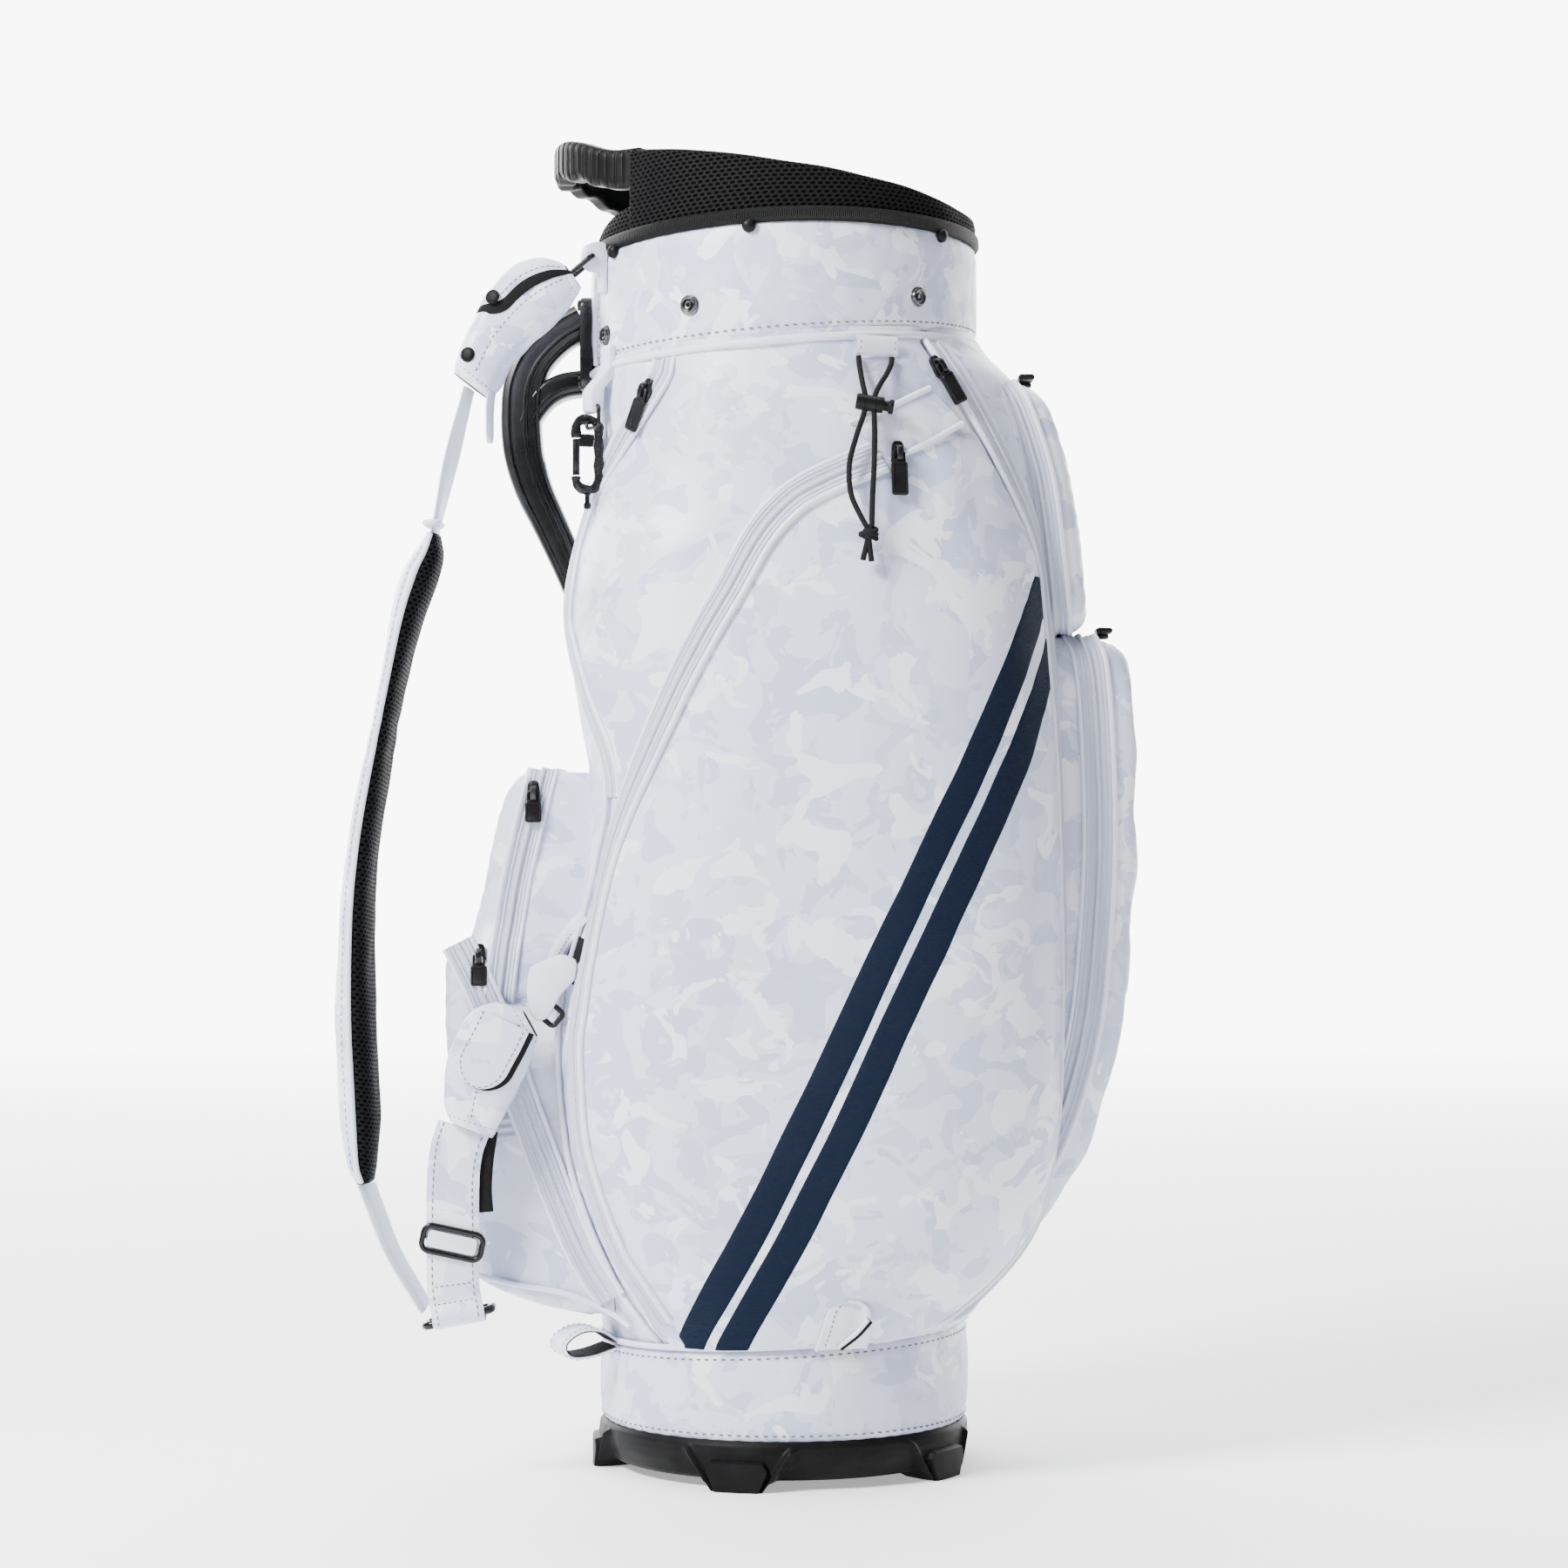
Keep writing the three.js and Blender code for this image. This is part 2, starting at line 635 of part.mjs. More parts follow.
// A slider with its pull. The group's Z stands off the cloth and its Y points up the zip.
function zipSet(letter, place, outward, down) {
  const group = new THREE.Group();
  const zAxis = outward.clone().normalize();
  const yAxis = down.clone().negate();
  yAxis.addScaledVector(zAxis, -yAxis.dot(zAxis)).normalize();
  const xAxis = new THREE.Vector3().crossVectors(yAxis, zAxis);
  group.matrix.makeBasis(xAxis, yAxis, zAxis).setPosition(place);
  group.matrixAutoUpdate = false;
  bag.add(group);

  const end = sliderLength / 2;
  const side = shapeOf([[-end, 0.5], [end, 0.5], [end, 3.2], [4, 3.6], [3, 7.6], [-4, 7.6], [-5.2, 3.6], [-end, 3.2]]);
  const window = [[-3, 3.4], [3, 3.4], [2.4, 6.2], [-3, 6.2]];
  side.holes.push(new THREE.Path(window.map(([x, y]) => new THREE.Vector2(x, y))));
  const arch = solid(extrude(side, 4).rotateX(Math.PI / 2).rotateZ(Math.PI / 2).translate(-2, 0, 0));
  const plate = solid(box(sliderWidth, sliderLength, 2.7, 0, 0, 1.85));
  add(`zip_slider_${letter}`, geometryOf(arch.add(plate)), "black", group);

  const pull = new THREE.Shape();
  const wide = pullWidth / 2;
  pull.moveTo(wide, 1);
  pull.lineTo(-wide, 1);
  pull.lineTo(-wide, 2 - pullLength);
  pull.lineTo(1.5 - wide, 0.5 - pullLength);
  pull.lineTo(wide - 1.5, 0.5 - pullLength);
  pull.lineTo(wide, 2 - pullLength);
  pull.holes.push(new THREE.Path([[3, -1], [3, -7], [-3, -7], [-3, -1]].map(([x, y]) => new THREE.Vector2(x, y))));
  add(`zip_pull_${letter}`, extrude(pull, pullThickness).translate(0, 0, 3.8), "black", group);
}

function surfacePoint(x, z, lift) {
  return polar(bodyRadius(angleAt(x, z), z) + lift, angleAt(x, z), z);
}

// The body's outward direction on the near side, from two short steps on its surface.
function outwardAt(x, z) {
  const angle = angleAt(x, z);
  const here = polar(bodyRadius(angle, z), angle, z);
  const aside = polar(bodyRadius(angle + 0.02, z), angle + 0.02, z).sub(here);
  const above = polar(bodyRadius(angle, z + 2), angle, z + 2).sub(here);
  return above.cross(aside).normalize();
}

function buildZips() {
  const lean = (x, z) => new THREE.Vector3(x, 0, z);
  zipSet("a", surfacePoint(-83, 676, 0.6), outwardAt(-89, 664), lean(-0.5, -0.87));
  zipSet("b", surfacePoint(94, 690, 0), outwardAt(100, 678), lean(0.5, -0.87));
  const pocketLift = sideSwell(angleAt(66, 634), 634);
  zipSet("c", surfacePoint(66, 634, pocketLift + fit), outwardAt(66, 628), lean(0, -1));
  const up = new THREE.Vector3(0, 0, 1);
  const towardsNear = new THREE.Vector3(0, -1, 0);
  const downwards = new THREE.Vector3(0, 0, -1);
  zipSet("d", new THREE.Vector3(153.9, -10, 687), up, towardsNear);
  zipSet("e", new THREE.Vector3(203, -12, 526), up, towardsNear);
  zipSet("f", new THREE.Vector3(-157, -backUpperHalfWidth, 428), towardsNear, downwards);
  zipSet("g", new THREE.Vector3(-190.5, -backLowerHalfWidth, 326), towardsNear, downwards);
}

function buildAccessory() {
  const group = outwardGroup(151.8);
  const ringAt = 136;
  const ringZ = 670;
  const seat = topCuffOuter + clothFit;
  const tab = shapeOf([[seat, 708], [seat, 690], [ringAt - 4, 682], [ringAt - 4, 665.5], [ringAt + 4, 665.5],
    [ringAt + 4, 680], [seat + 5, 694], [seat + 5, 708]]);
  const slot = [[-2.2, -2.6], [2.2, -2.6], [2.2, 2.6], [-2.2, 2.6]];
  tab.holes.push(new THREE.Path(slot.map(([x, z]) => new THREE.Vector2(ringAt + x, ringZ + z))));
  add("accessory_tab", upright(tab, 13), "white", group);
  const wire = 2.4;
  const ringHeight = 16;
  const ringDrop = ringZ - ringHeight / 2 + wire / 2;
  const accessoryRing = link(20, ringHeight, wire, 3).rotateZ(Math.PI / 2);
  add("accessory_ring", accessoryRing.translate(ringAt, 0, ringDrop), "darkMetal", group);

  const hookWidth = 20;
  const hookHeight = 48;
  const hookWire = 4.4;
  const barTop = ringZ - ringHeight + 2 * wire;
  const hookX = ringAt + hookWidth / 2 - hookWire - 1.9;
  const hookTop = barTop - wire + wire + fit + hookWire;
  const hookZ = hookTop - hookHeight / 2;
  let hook = solid(link(hookWidth, hookHeight, hookWire, 7));
  const gateX = hookWidth / 2 - hookWire / 2;
  const gateHeight = 22;
  hook = hook.subtract(solid(box(hookWire + 1, 10, gateHeight, gateX, 0, -2)));
  add("snap_hook", geometryOf(hook).translate(hookX, 0, hookZ), "black", group);
  const gate = box(hookWire - 1, hookWire - 1, gateHeight - 2 * clothFit, hookX + gateX, 0, hookZ - 2);
  add("snap_hook_gate", gate, "darkMetal", group);
}

// The elastic cord: two strands from the tab through the lock to a knot.
const leftStrand = [
  [45.6, -121.8, 694.2], [45.8, -123, 690], [46.8, -126, 683], [48, -130, 676],
  [49.4, -132.6, 668], [48.6, -134.5, 658],
  [44, -138, 644], [39.6, -142.5, 626], [40.5, -145.5, 608], [46, -147, 595], [49.2, -147.4, 589],
];
const rightStrand = [
  [66.2, -113.8, 694.2], [65.6, -115.4, 690], [62.6, -120.6, 683], [58.5, -127.5, 676],
  [55.2, -131.8, 668], [54.8, -134, 658],
  [55, -137.6, 644], [54.6, -141.6, 626], [53.6, -145, 608], [53.2, -146.9, 595], [53, -147.4, 589],
];

function cord(points) {
  const curve = new THREE.CatmullRomCurve3(points.map((point) => new THREE.Vector3(...point)));
  const section = new THREE.Shape();
  section.absarc(0, 0, cordDiameter / 2, 0, 2 * Math.PI);
  return new THREE.ExtrudeGeometry(section, { steps: 16, curveSegments: 4, extrudePath: curve });
}

function buildElasticCord() {
  const group = outwardGroup(cordTabAngle);
  const tabRadius = bodyRadius(THREE.MathUtils.degToRad(cordTabAngle), cordTabBottom) + 2 * clothFit;
  const tab = box(3, cordTabWidth, cordTabHeight, tabRadius + 1.5, 0, cordTabBottom + cordTabHeight / 2);
  add("cord_tab", tab, "white", group);
  add("cord_strand_left", cord(leftStrand), "black");
  add("cord_strand_right", cord(rightStrand), "black");
  const lock = new THREE.Group();
  lock.position.set(52.3, -133.2, 664);
  lock.rotation.set(-0.24, 0.17, 0);
  bag.add(lock);
  let barrel = solid(new THREE.CylinderGeometry(5, 5, 17, 12).rotateZ(Math.PI / 2));
  barrel = barrel.subtract(solid(box(12.4, cordDiameter + 1.8, 14, 0, 0, 0)));
  const bore = solid(new THREE.CylinderGeometry(3.4, 3.4, 7.8, 10).rotateZ(Math.PI / 2).translate(8.1, 0, 0));
  add("cord_lock", geometryOf(barrel.subtract(bore)), "black", lock);
  const button = new THREE.CylinderGeometry(3.32, 3.32, 8, 10).rotateZ(Math.PI / 2).translate(10.7, 0, 0);
  add("cord_lock_button", button, "black", lock);
  const knot = new THREE.SphereGeometry(4.4, 10, 8).scale(1.1, 0.8, 1.2).translate(51.1, -147.6, 583.5);
  add("cord_knot", knot, "black");
}

function superRing(center, along, across, power, count = 12) {
  const points = [];
  for (let k = 0; k < count; k += 1) {
    const turn = ((k + 0.5) / count) * 2 * Math.PI;
    const bend = (value) => Math.sign(value) * Math.abs(value) ** (2 / power);
    points.push(center.clone()
      .addScaledVector(along, bend(Math.cos(turn)))
      .addScaledVector(across, bend(Math.sin(turn))));
  }
  return points;
}

// A pouch or pad between two edges drawn in x and z, each row [left x, left z, right x, right z, y, half depth].
function betweenEdges(rows, power) {
  const depth = new THREE.Vector3(0, 1, 0);
  return loft(rows.map(([leftX, leftZ, rightX, rightZ, y, halfDepth]) => {
    const left = new THREE.Vector3(leftX, y, leftZ);
    const right = new THREE.Vector3(rightX, y, rightZ);
    const center = left.clone().add(right).multiplyScalar(0.5);
    return superRing(center, right.sub(left).multiplyScalar(0.5), depth.clone().multiplyScalar(halfDepth), power);
  }));
}

// A flat strap along a path, its width turning from one direction to another.
function ribbon(path, width, thickness, fromAcross, toAcross, steps) {
  const curve = new THREE.CatmullRomCurve3(path.map((point) => new THREE.Vector3(...point)));
  const rings = [];
  for (let step = 0; step <= steps; step += 1) {
    const share = step / steps;
    const center = curve.getPointAt(share);
    const tangent = curve.getTangentAt(share);
    const across = new THREE.Vector3(...fromAcross).lerp(new THREE.Vector3(...toAcross), share);
    across.addScaledVector(tangent, -across.dot(tangent)).normalize();
    const through = new THREE.Vector3().crossVectors(tangent, across);
    const corner = (a, b) => center.clone()
      .addScaledVector(across, (a * width) / 2)
      .addScaledVector(through, (b * thickness) / 2);
    rings.push([corner(1, 1), corner(-1, 1), corner(-1, -1), corner(1, -1)]);
  }
  return loft(rings);
}

const strapY = { top: -55, pad: -68, bottom: -92 };

function buildStrapTop() {
  const group = outwardGroup(155.5);
  const holeAt = 132;
  const holeZ = 765;
  const seat = topCuffInner + bindingThickness + fit;
  const tab = shapeOf([
    [seat, 742], [seat, 774], [holeAt + 2, 774], [holeAt + 6.4, 770], [holeAt + 6.4, 760],
    [holeAt + 2, 756], [seat + 3.2, 756], [seat + 3.2, 742],
  ]);
  const hole = [[-3, -2.7], [3, -2.7], [4.4, -1.5], [4.4, 3], [3, 4.6], [-3, 4.6], [-4.4, 3], [-4.4, -1.5]];
  tab.holes.push(new THREE.Path(hole.map(([x, z]) => new THREE.Vector2(holeAt + x, holeZ + z))));
  add("strap_top_anchor", upright(tab, 8), "white", group);

  const ringLength = 24;
  const tilt = THREE.MathUtils.degToRad(50);
  const topRing = link(20, ringLength, wireThickness, 5).rotateZ(Math.PI / 2);
  topRing.translate(0, 0, wireThickness / 2 - ringLength / 2).rotateY(-tilt);
  add("strap_top_ring", topRing.translate(holeAt, 0, holeZ), "darkMetal", group);

  const y = strapY.top;
  const cover = [
    [-141.5, 753.7, -132.5, 742.7, y - 3, 9], [-154, 759, -138, 729, y - 3, 14], [-168, 756, -148, 719, y - 3, 16],
    [-181, 743, -160, 708, y - 3, 17], [-194, 725, -170, 697, y - 4, 17], [-204, 704, -178, 682, y - 5, 16],
    [-207, 691, -186, 675, y - 5, 13],
  ];
  add("strap_top_cover", betweenEdges(cover, 3), "white");
  const flapPath = [
    [-150.4, y - 3, 759.8], [-158, y - 3, 760.8], [-170.6, y - 3, 756.8], [-183, y - 3, 744.6],
    [-192.6, y - 4, 730.8],
  ];
  add("strap_top_flap", ribbon(flapPath, 30, 2.4, [0, 1, 0], [0, 1, 0], 8), "white");
}

function buildPad() {
  const topY = strapY.top - 5;
  const padY = strapY.pad;
  const webbingPath = [[-197.9, topY, 681.4], [-205, topY - 2, 652], [-211, topY - 3, 626], [-219, topY - 4, 589.6]];
  add("strap_upper_webbing", ribbon(webbingPath, webbingWidth, webbingThickness, [0, 1, 0], [0, 1, 0], 8), "white");
  const rows = [
    [-223.5, 589, -215, 587.5, padY + 4, 18], [-230, 578, -213.5, 576, padY + 3, 24],
    [-238.3, 564, -216.5, 562, padY + 2, 28], [-244.8, 537, -225.8, 535, padY, 31],
    [-251.4, 496, -236.7, 495, padY, 32], [-260, 455, -244.3, 454, padY, 32],
    [-268.2, 414, -250.8, 413, padY, 32], [-274.2, 373.4, -255.2, 373, padY, 32],
    [-277.5, 332.6, -256.3, 332.6, padY, 32], [-278.6, 291.8, -255.7, 291.8, padY, 32],
    [-277.5, 251, -253.5, 251, padY, 31], [-275.9, 223.8, -252.5, 224.2, padY - 1, 29],
    [-271.5, 196.6, -254.1, 198, padY - 2, 24], [-266, 185.5, -255.5, 187.5, padY - 3, 18],
  ];
  add("shoulder_pad", betweenEdges(rows, padThicknessPower), "white");
  const lowerPath = [
    [-260.2, padY - 3, 183.8], [-254, padY - 5, 168], [-243, -80, 143], [-229, -80, 119], [-222.6, -79, 108.5],
  ];
  add("strap_lower_webbing", ribbon(lowerPath, 32, webbingThickness, [0, 1, 0], [0.75, 0.62, 0.2], 14), "whiteSeam");
}

function buildStrapBottom() {
  const y = strapY.bottom;
  const strap = [
    [-200.6, y, 107.6], [-203.6, y, 116], [-204.6, y, 124], [-204.6, y, 140], [-204.6, y, 164],
    [-204.6, y, 182], [-203.9, y, 196], [-201.8, y, 209], [-197.8, y, 220.4],
  ];
  add("adjuster_strap", ribbon(strap, adjusterWidth, adjusterThickness, [1, 0, 0.2], [0.93, 0, -0.37], 16), "white");

  const ringGroup = new THREE.Group();
  ringGroup.position.set(-201, y + 6, 103.6);
  ringGroup.rotation.y = -0.26;
  bag.add(ringGroup);
  const ringShape = roundedRectangle(45, 20, 6);
  ringShape.holes.push(roundedRectangle(45 - 2 * wireThickness, 20 - 2 * wireThickness, 3));
  const strapRing = extrude(ringShape, wireThickness, 3).translate(0, 0, -wireThickness / 2);
  add("strap_ring", strapRing, "darkMetal", ringGroup);

  const slide = new THREE.Group();
  slide.position.set(-204.6, y, 150);
  bag.add(slide);
  const rail = 3;
  const clear = adjusterThickness / 2 + fit + rail / 2;
  const halfFrame = adjusterWidth / 2 + clothFit + rail / 2;
  let frame = solid(box(2 * halfFrame + rail, rail, rail, 0, -clear, 8));
  frame = frame.add(solid(box(2 * halfFrame + rail, rail, rail, 0, -clear, -8)));
  frame = frame.add(solid(box(2 * halfFrame + rail, rail, rail, 0, clear, 0)));
  for (const side of [-1, 1]) {
    frame = frame.add(solid(box(rail, rail, 16 + rail, side * halfFrame, -clear, 0)));
    frame = frame.add(solid(box(rail, 2 * clear + rail, rail, side * halfFrame, 0, 0)));
  }
  add("slide_adjuster", geometryOf(frame), "darkMetal", slide);

  const cover = [
    [-161.2, 292.7, -152.4, 276.8, y, 8], [-180, 298, -155, 268, y, 10.5], [-198, 287, -158, 257, y, 11.5],
    [-208, 262, -165, 243, y, 11.5], [-210, 238, -173, 228, y, 10.5], [-206, 225, -180, 214.5, y, 8],
  ];
  add("strap_bottom_cover", betweenEdges(cover, 3.2), "white");
  const flapPath = [[-172, y - 12.4, 287.6], [-177, y - 13.6, 277], [-185, y - 13.8, 262], [-192, y - 13.4, 247]];
  add("strap_bottom_flap", ribbon(flapPath, 34, 2.2, [0.88, 0, -0.47], [0.88, 0, -0.47], 6), "white");

  const hookGroup = new THREE.Group();
  hookGroup.position.set(-146, y + 5.5, 292);
  bag.add(hookGroup);
  const bottomRing = link(20, 14, wireThickness, 4);
  bottomRing.rotateZ(Math.PI / 2).translate(0, 0, wireThickness / 2 - 7).rotateY(0.72);
  add("strap_bottom_ring", bottomRing, "darkMetal", hookGroup);
  const anchor = shapeOf([
    [-126.4, 326], [-132, 327], [-152.4, 303], [-152.8, 291.4],
    [-150.2, 286.8], [-138.8, 286.2], [-137.6, 296], [-126.4, 312],
  ]);
  const hole = [[-3.6, -2.8], [4.6, -2.8], [4.6, 4.6], [-4.6, 4.6], [-4.6, -1]];
  anchor.holes.push(new THREE.Path(hole.map(([x, z]) => new THREE.Vector2(-146 + x, 292 + z))));
  add("strap_bottom_anchor", upright(anchor, 8).translate(0, y + 5.5, 0), "white");
}

// Leather loops low on the body. The outline is drawn from the tube's axis outwards and up.
function loopTab(name, degrees, width, outline, slot) {
  const tab = shapeOf(outline);
  tab.holes.push(new THREE.Path(slot.map(([x, z]) => new THREE.Vector2(x, z))));
  add(name, upright(tab, width), "white", outwardGroup(degrees));
}

function buildLoopTabs() {
  const angle = THREE.MathUtils.degToRad(frontTabAngle);
  const foot = baseSeamAt(angle) + fit;
  const seat = (z) => bodyRadius(angle, z) + sideSwell(angle, z) + clothFit;
  const front = [
    [seat(foot + 1), foot + 1], [seat(foot + 1) + 6, foot + 1], [seat(104) + 9, 103],
    [seat(117) + 8, 114], [seat(117) + 5, 119], [seat(117), 117], [seat(104), 104],
  ];
  const frontSlot = [[seat(104) + 2.4, 102], [seat(104) + 6.2, 102], [seat(112) + 6, 112], [seat(112) + 2.4, 112]];
  loopTab("front_loop_tab", frontTabAngle, loopTabWidth, front, frontSlot);
  const rear = [
    [115.9, 78], [130, 76], [143, 72.5], [147, 83], [142, 95], [130, 92.5], [119.5, 82.8], [115.9, 82.6],
  ];
  const rearSlot = [[131, 80], [141, 77], [143.5, 83], [140, 91], [131, 88.5]];
  loopTab("rear_loop_tab", rearTabAngle, loopTabWidth, rear, rearSlot);
}

buildBase();
buildTube();
buildMouth();
buildPanels();
buildSidePockets();
buildPockets();
buildSpineHandle();
buildZips();
buildAccessory();
buildElasticCord();
buildStrapTop();
buildPad();
buildStrapBottom();
buildLoopTabs();

export default bag;
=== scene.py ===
"""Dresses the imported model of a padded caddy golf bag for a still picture.

Lengths inside the classes are in millimetres and become metres when a mesh is made. The bag stands on
the ground at the origin, +X is its pocket side, -X its spine and strap side and -Y its near side.
Angles round the bag run from +X towards -Y.
"""

import json
import logging
import math
from dataclasses import dataclass, field
from enum import Enum
from typing import Callable, Iterable, Optional, Sequence

import bpy
import numpy as np
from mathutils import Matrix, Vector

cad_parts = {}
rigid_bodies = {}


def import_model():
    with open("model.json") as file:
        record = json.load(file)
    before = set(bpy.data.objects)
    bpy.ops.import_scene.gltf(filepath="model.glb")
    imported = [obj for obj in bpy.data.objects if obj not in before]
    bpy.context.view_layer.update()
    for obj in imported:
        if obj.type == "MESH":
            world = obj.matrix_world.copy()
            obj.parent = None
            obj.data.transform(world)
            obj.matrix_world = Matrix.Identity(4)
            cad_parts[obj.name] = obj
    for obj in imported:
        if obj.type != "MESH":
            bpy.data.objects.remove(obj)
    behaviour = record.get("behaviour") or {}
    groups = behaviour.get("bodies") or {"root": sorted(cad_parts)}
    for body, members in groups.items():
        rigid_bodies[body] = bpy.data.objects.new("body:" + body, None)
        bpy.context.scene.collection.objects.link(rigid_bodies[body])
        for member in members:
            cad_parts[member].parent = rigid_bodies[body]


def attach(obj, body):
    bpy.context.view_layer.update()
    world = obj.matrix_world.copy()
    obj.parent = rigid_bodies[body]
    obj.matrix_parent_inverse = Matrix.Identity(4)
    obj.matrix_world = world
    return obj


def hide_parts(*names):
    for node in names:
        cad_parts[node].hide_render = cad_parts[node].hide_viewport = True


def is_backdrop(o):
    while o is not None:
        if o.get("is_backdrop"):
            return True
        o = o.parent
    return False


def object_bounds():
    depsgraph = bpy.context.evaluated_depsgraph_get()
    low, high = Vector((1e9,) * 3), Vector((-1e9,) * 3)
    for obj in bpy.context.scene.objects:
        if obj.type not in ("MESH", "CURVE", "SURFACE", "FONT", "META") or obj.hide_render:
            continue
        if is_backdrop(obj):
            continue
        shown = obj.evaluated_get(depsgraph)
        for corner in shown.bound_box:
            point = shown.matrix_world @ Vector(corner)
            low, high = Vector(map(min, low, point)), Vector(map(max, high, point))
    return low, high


LOG = logging.getLogger("bag")
MM = 0.001
TUBE_RADIUS = 112.0
TURN_STEPS = 361
CLUB_GRID_SLOPE = 0.06
Points = np.ndarray
Number = float | np.ndarray


# --------------------------------------------------------------------------------------------- forms


def mix(first: Number, second: Number, share: Number) -> Number:
    """Blends two values by a share from 0 to 1."""
    return first + (second - first) * share


def smooth_step(value: Number, low: float, high: float) -> Number:
    """Rises smoothly from 0 at low to 1 at high."""
    share = np.clip((value - low) / (high - low), 0.0, 1.0)
    return share * share * (3.0 - 2.0 * share)


def bump(value: Number, center: float, width: float) -> Number:
    """A soft hill of height 1, fallen to 0.37 at a width from its center."""
    return np.exp(-(((value - center) / width) ** 2))


def unit(vectors: Points) -> Points:
    """Scales vectors, which lie along the last axis, to length 1."""
    return vectors / np.maximum(np.linalg.norm(vectors, axis=-1, keepdims=True), 1e-9)


def dots(first: Points, second: Points) -> Points:
    """The dot product of each vector of one list with its partner in the other."""
    return np.einsum("ij,ij->i", first, second)


@dataclass(frozen=True)
class Profile:
    """A smooth line through knots, flat outside them."""

    knots: tuple[tuple[float, float], ...]

    def __call__(self, place: Number) -> Number:
        """Reads the line.

        Args:
            place: Where to read, in the knots' first value.

        Returns:
            The line's second value there.
        """
        xs, ys = np.array(self.knots, float).T
        before = np.maximum(np.arange(len(xs)) - 1, 0)
        after = np.minimum(np.arange(len(xs)) + 1, len(xs) - 1)
        slopes = (ys[after] - ys[before]) / (xs[after] - xs[before])
        k = np.clip(np.searchsorted(xs, place, side="left") - 1, 0, len(xs) - 2)
        span = xs[k + 1] - xs[k]
        t = np.clip((place - xs[k]) / span, 0.0, 1.0)
        rise = t * t * (3.0 - 2.0 * t)
        leave = t * (1.0 - t) ** 2 * slopes[k] * span
        arrive = t * t * (t - 1.0) * slopes[k + 1] * span
        return mix(ys[k], ys[k + 1], rise) + leave + arrive


def smooth_path(knots: Sequence[Sequence[float]], count: int) -> Points:
    """Runs a Catmull-Rom line through knots, with points at even distances.

    Args:
        knots: Points that the line passes.
        count: How many points to return.

    Returns:
        Array of count points.
    """
    given = np.array(knots, float)
    padded = np.vstack([2 * given[0] - given[1], given, 2 * given[-1] - given[-2]])
    t = np.linspace(0.0, len(given) - 1.0, 24 * len(given))
    k = np.minimum(t.astype(int), len(given) - 2)
    f = (t - k)[:, None]
    a, b, c, d = (padded[k + n] for n in range(4))
    line = 0.5 * (2 * b + (c - a) * f + (2 * a - 5 * b + 4 * c - d) * f**2 + (3 * b - a - 3 * c + d) * f**3)
    return even_path(line, count)


def even_path(line: Points, count: int) -> Points:
    """Moves the points of a line to even distances along it.

    Args:
        line: Points of a polyline.
        count: How many points to return.

    Returns:
        Array of count points.
    """
    steps = np.linalg.norm(np.diff(line, axis=0), axis=1)
    along = np.concatenate([[0.0], np.cumsum(steps)])
    wanted = np.linspace(0.0, along[-1], count)
    return np.stack([np.interp(wanted, along, line[:, axis]) for axis in range(line.shape[1])], axis=1)


def path_length(line: Points) -> float:
    """Measures a polyline."""
    return float(np.linalg.norm(np.diff(line, axis=0), axis=1).sum())


def tangents(line: Points, closed: bool = False) -> Points:
    """Directions along a line.

    Args:
        line: Points of the line.
        closed: True where the last point joins the first.

    Returns:
        One unit vector for each point.
    """
    if closed:
        return unit(np.roll(line, -1, axis=0) - np.roll(line, 1, axis=0))
    return unit(np.gradient(line, axis=0))


def steady_normals(line: Points, start: Sequence[float], closed: bool = False) -> Points:
    """Normals of a line that turn as little as they can.

    Args:
        line: Points of the line.
        start: Rough direction of the first normal.
        closed: True where the last point joins the first.

    Returns:
        One unit vector for each point, square to the line.
    """
    along = tangents(line, closed)
    normals = np.zeros_like(line)
    normal = np.array(start, float)
    for k, direction in enumerate(along):
        normal = normal - direction * np.dot(normal, direction)
        normal = normal / np.linalg.norm(normal)
        normals[k] = normal
    return normals


def rounded_outline(width: float, height: float, radius: float, corner_points: int = 5) -> Points:
    """A rectangle with rounded corners, as a closed outline round the origin.

    Args:
        width: Full size along the first axis.
        height: Full size along the second axis.
        radius: Corner radius.
        corner_points: Points on each corner.

    Returns:
        Array of points, two values each.
    """
    turn = np.linspace(0.0, np.pi / 2, corner_points)
    arc = np.stack([np.cos(turn), np.sin(turn)], axis=1) * radius
    corners = []
    for k, (sx, sy) in enumerate([(1, 1), (-1, 1), (-1, -1), (1, -1)]):
        c, s = math.cos(k * math.pi / 2), math.sin(k * math.pi / 2)
        turned = arc @ np.array([[c, s], [-s, c]])
        corners.append(turned + [sx * (width / 2 - radius), sy * (height / 2 - radius)])
    return np.vstack(corners)


def circle(radius: float, sides: int) -> Points:
    """A round outline of as many points as it has sides."""
    turn = np.arange(sides) / sides * 2 * np.pi
    return np.stack([np.cos(turn), np.sin(turn)], axis=1) * radius


# -------------------------------------------------------------------------------------- mesh making


@dataclass
class MeshPart:
    """Points, faces and cloth coordinates that go into one object."""

    points: Points
    faces: list[tuple[int, ...]]
    cloth: Optional[Points] = None


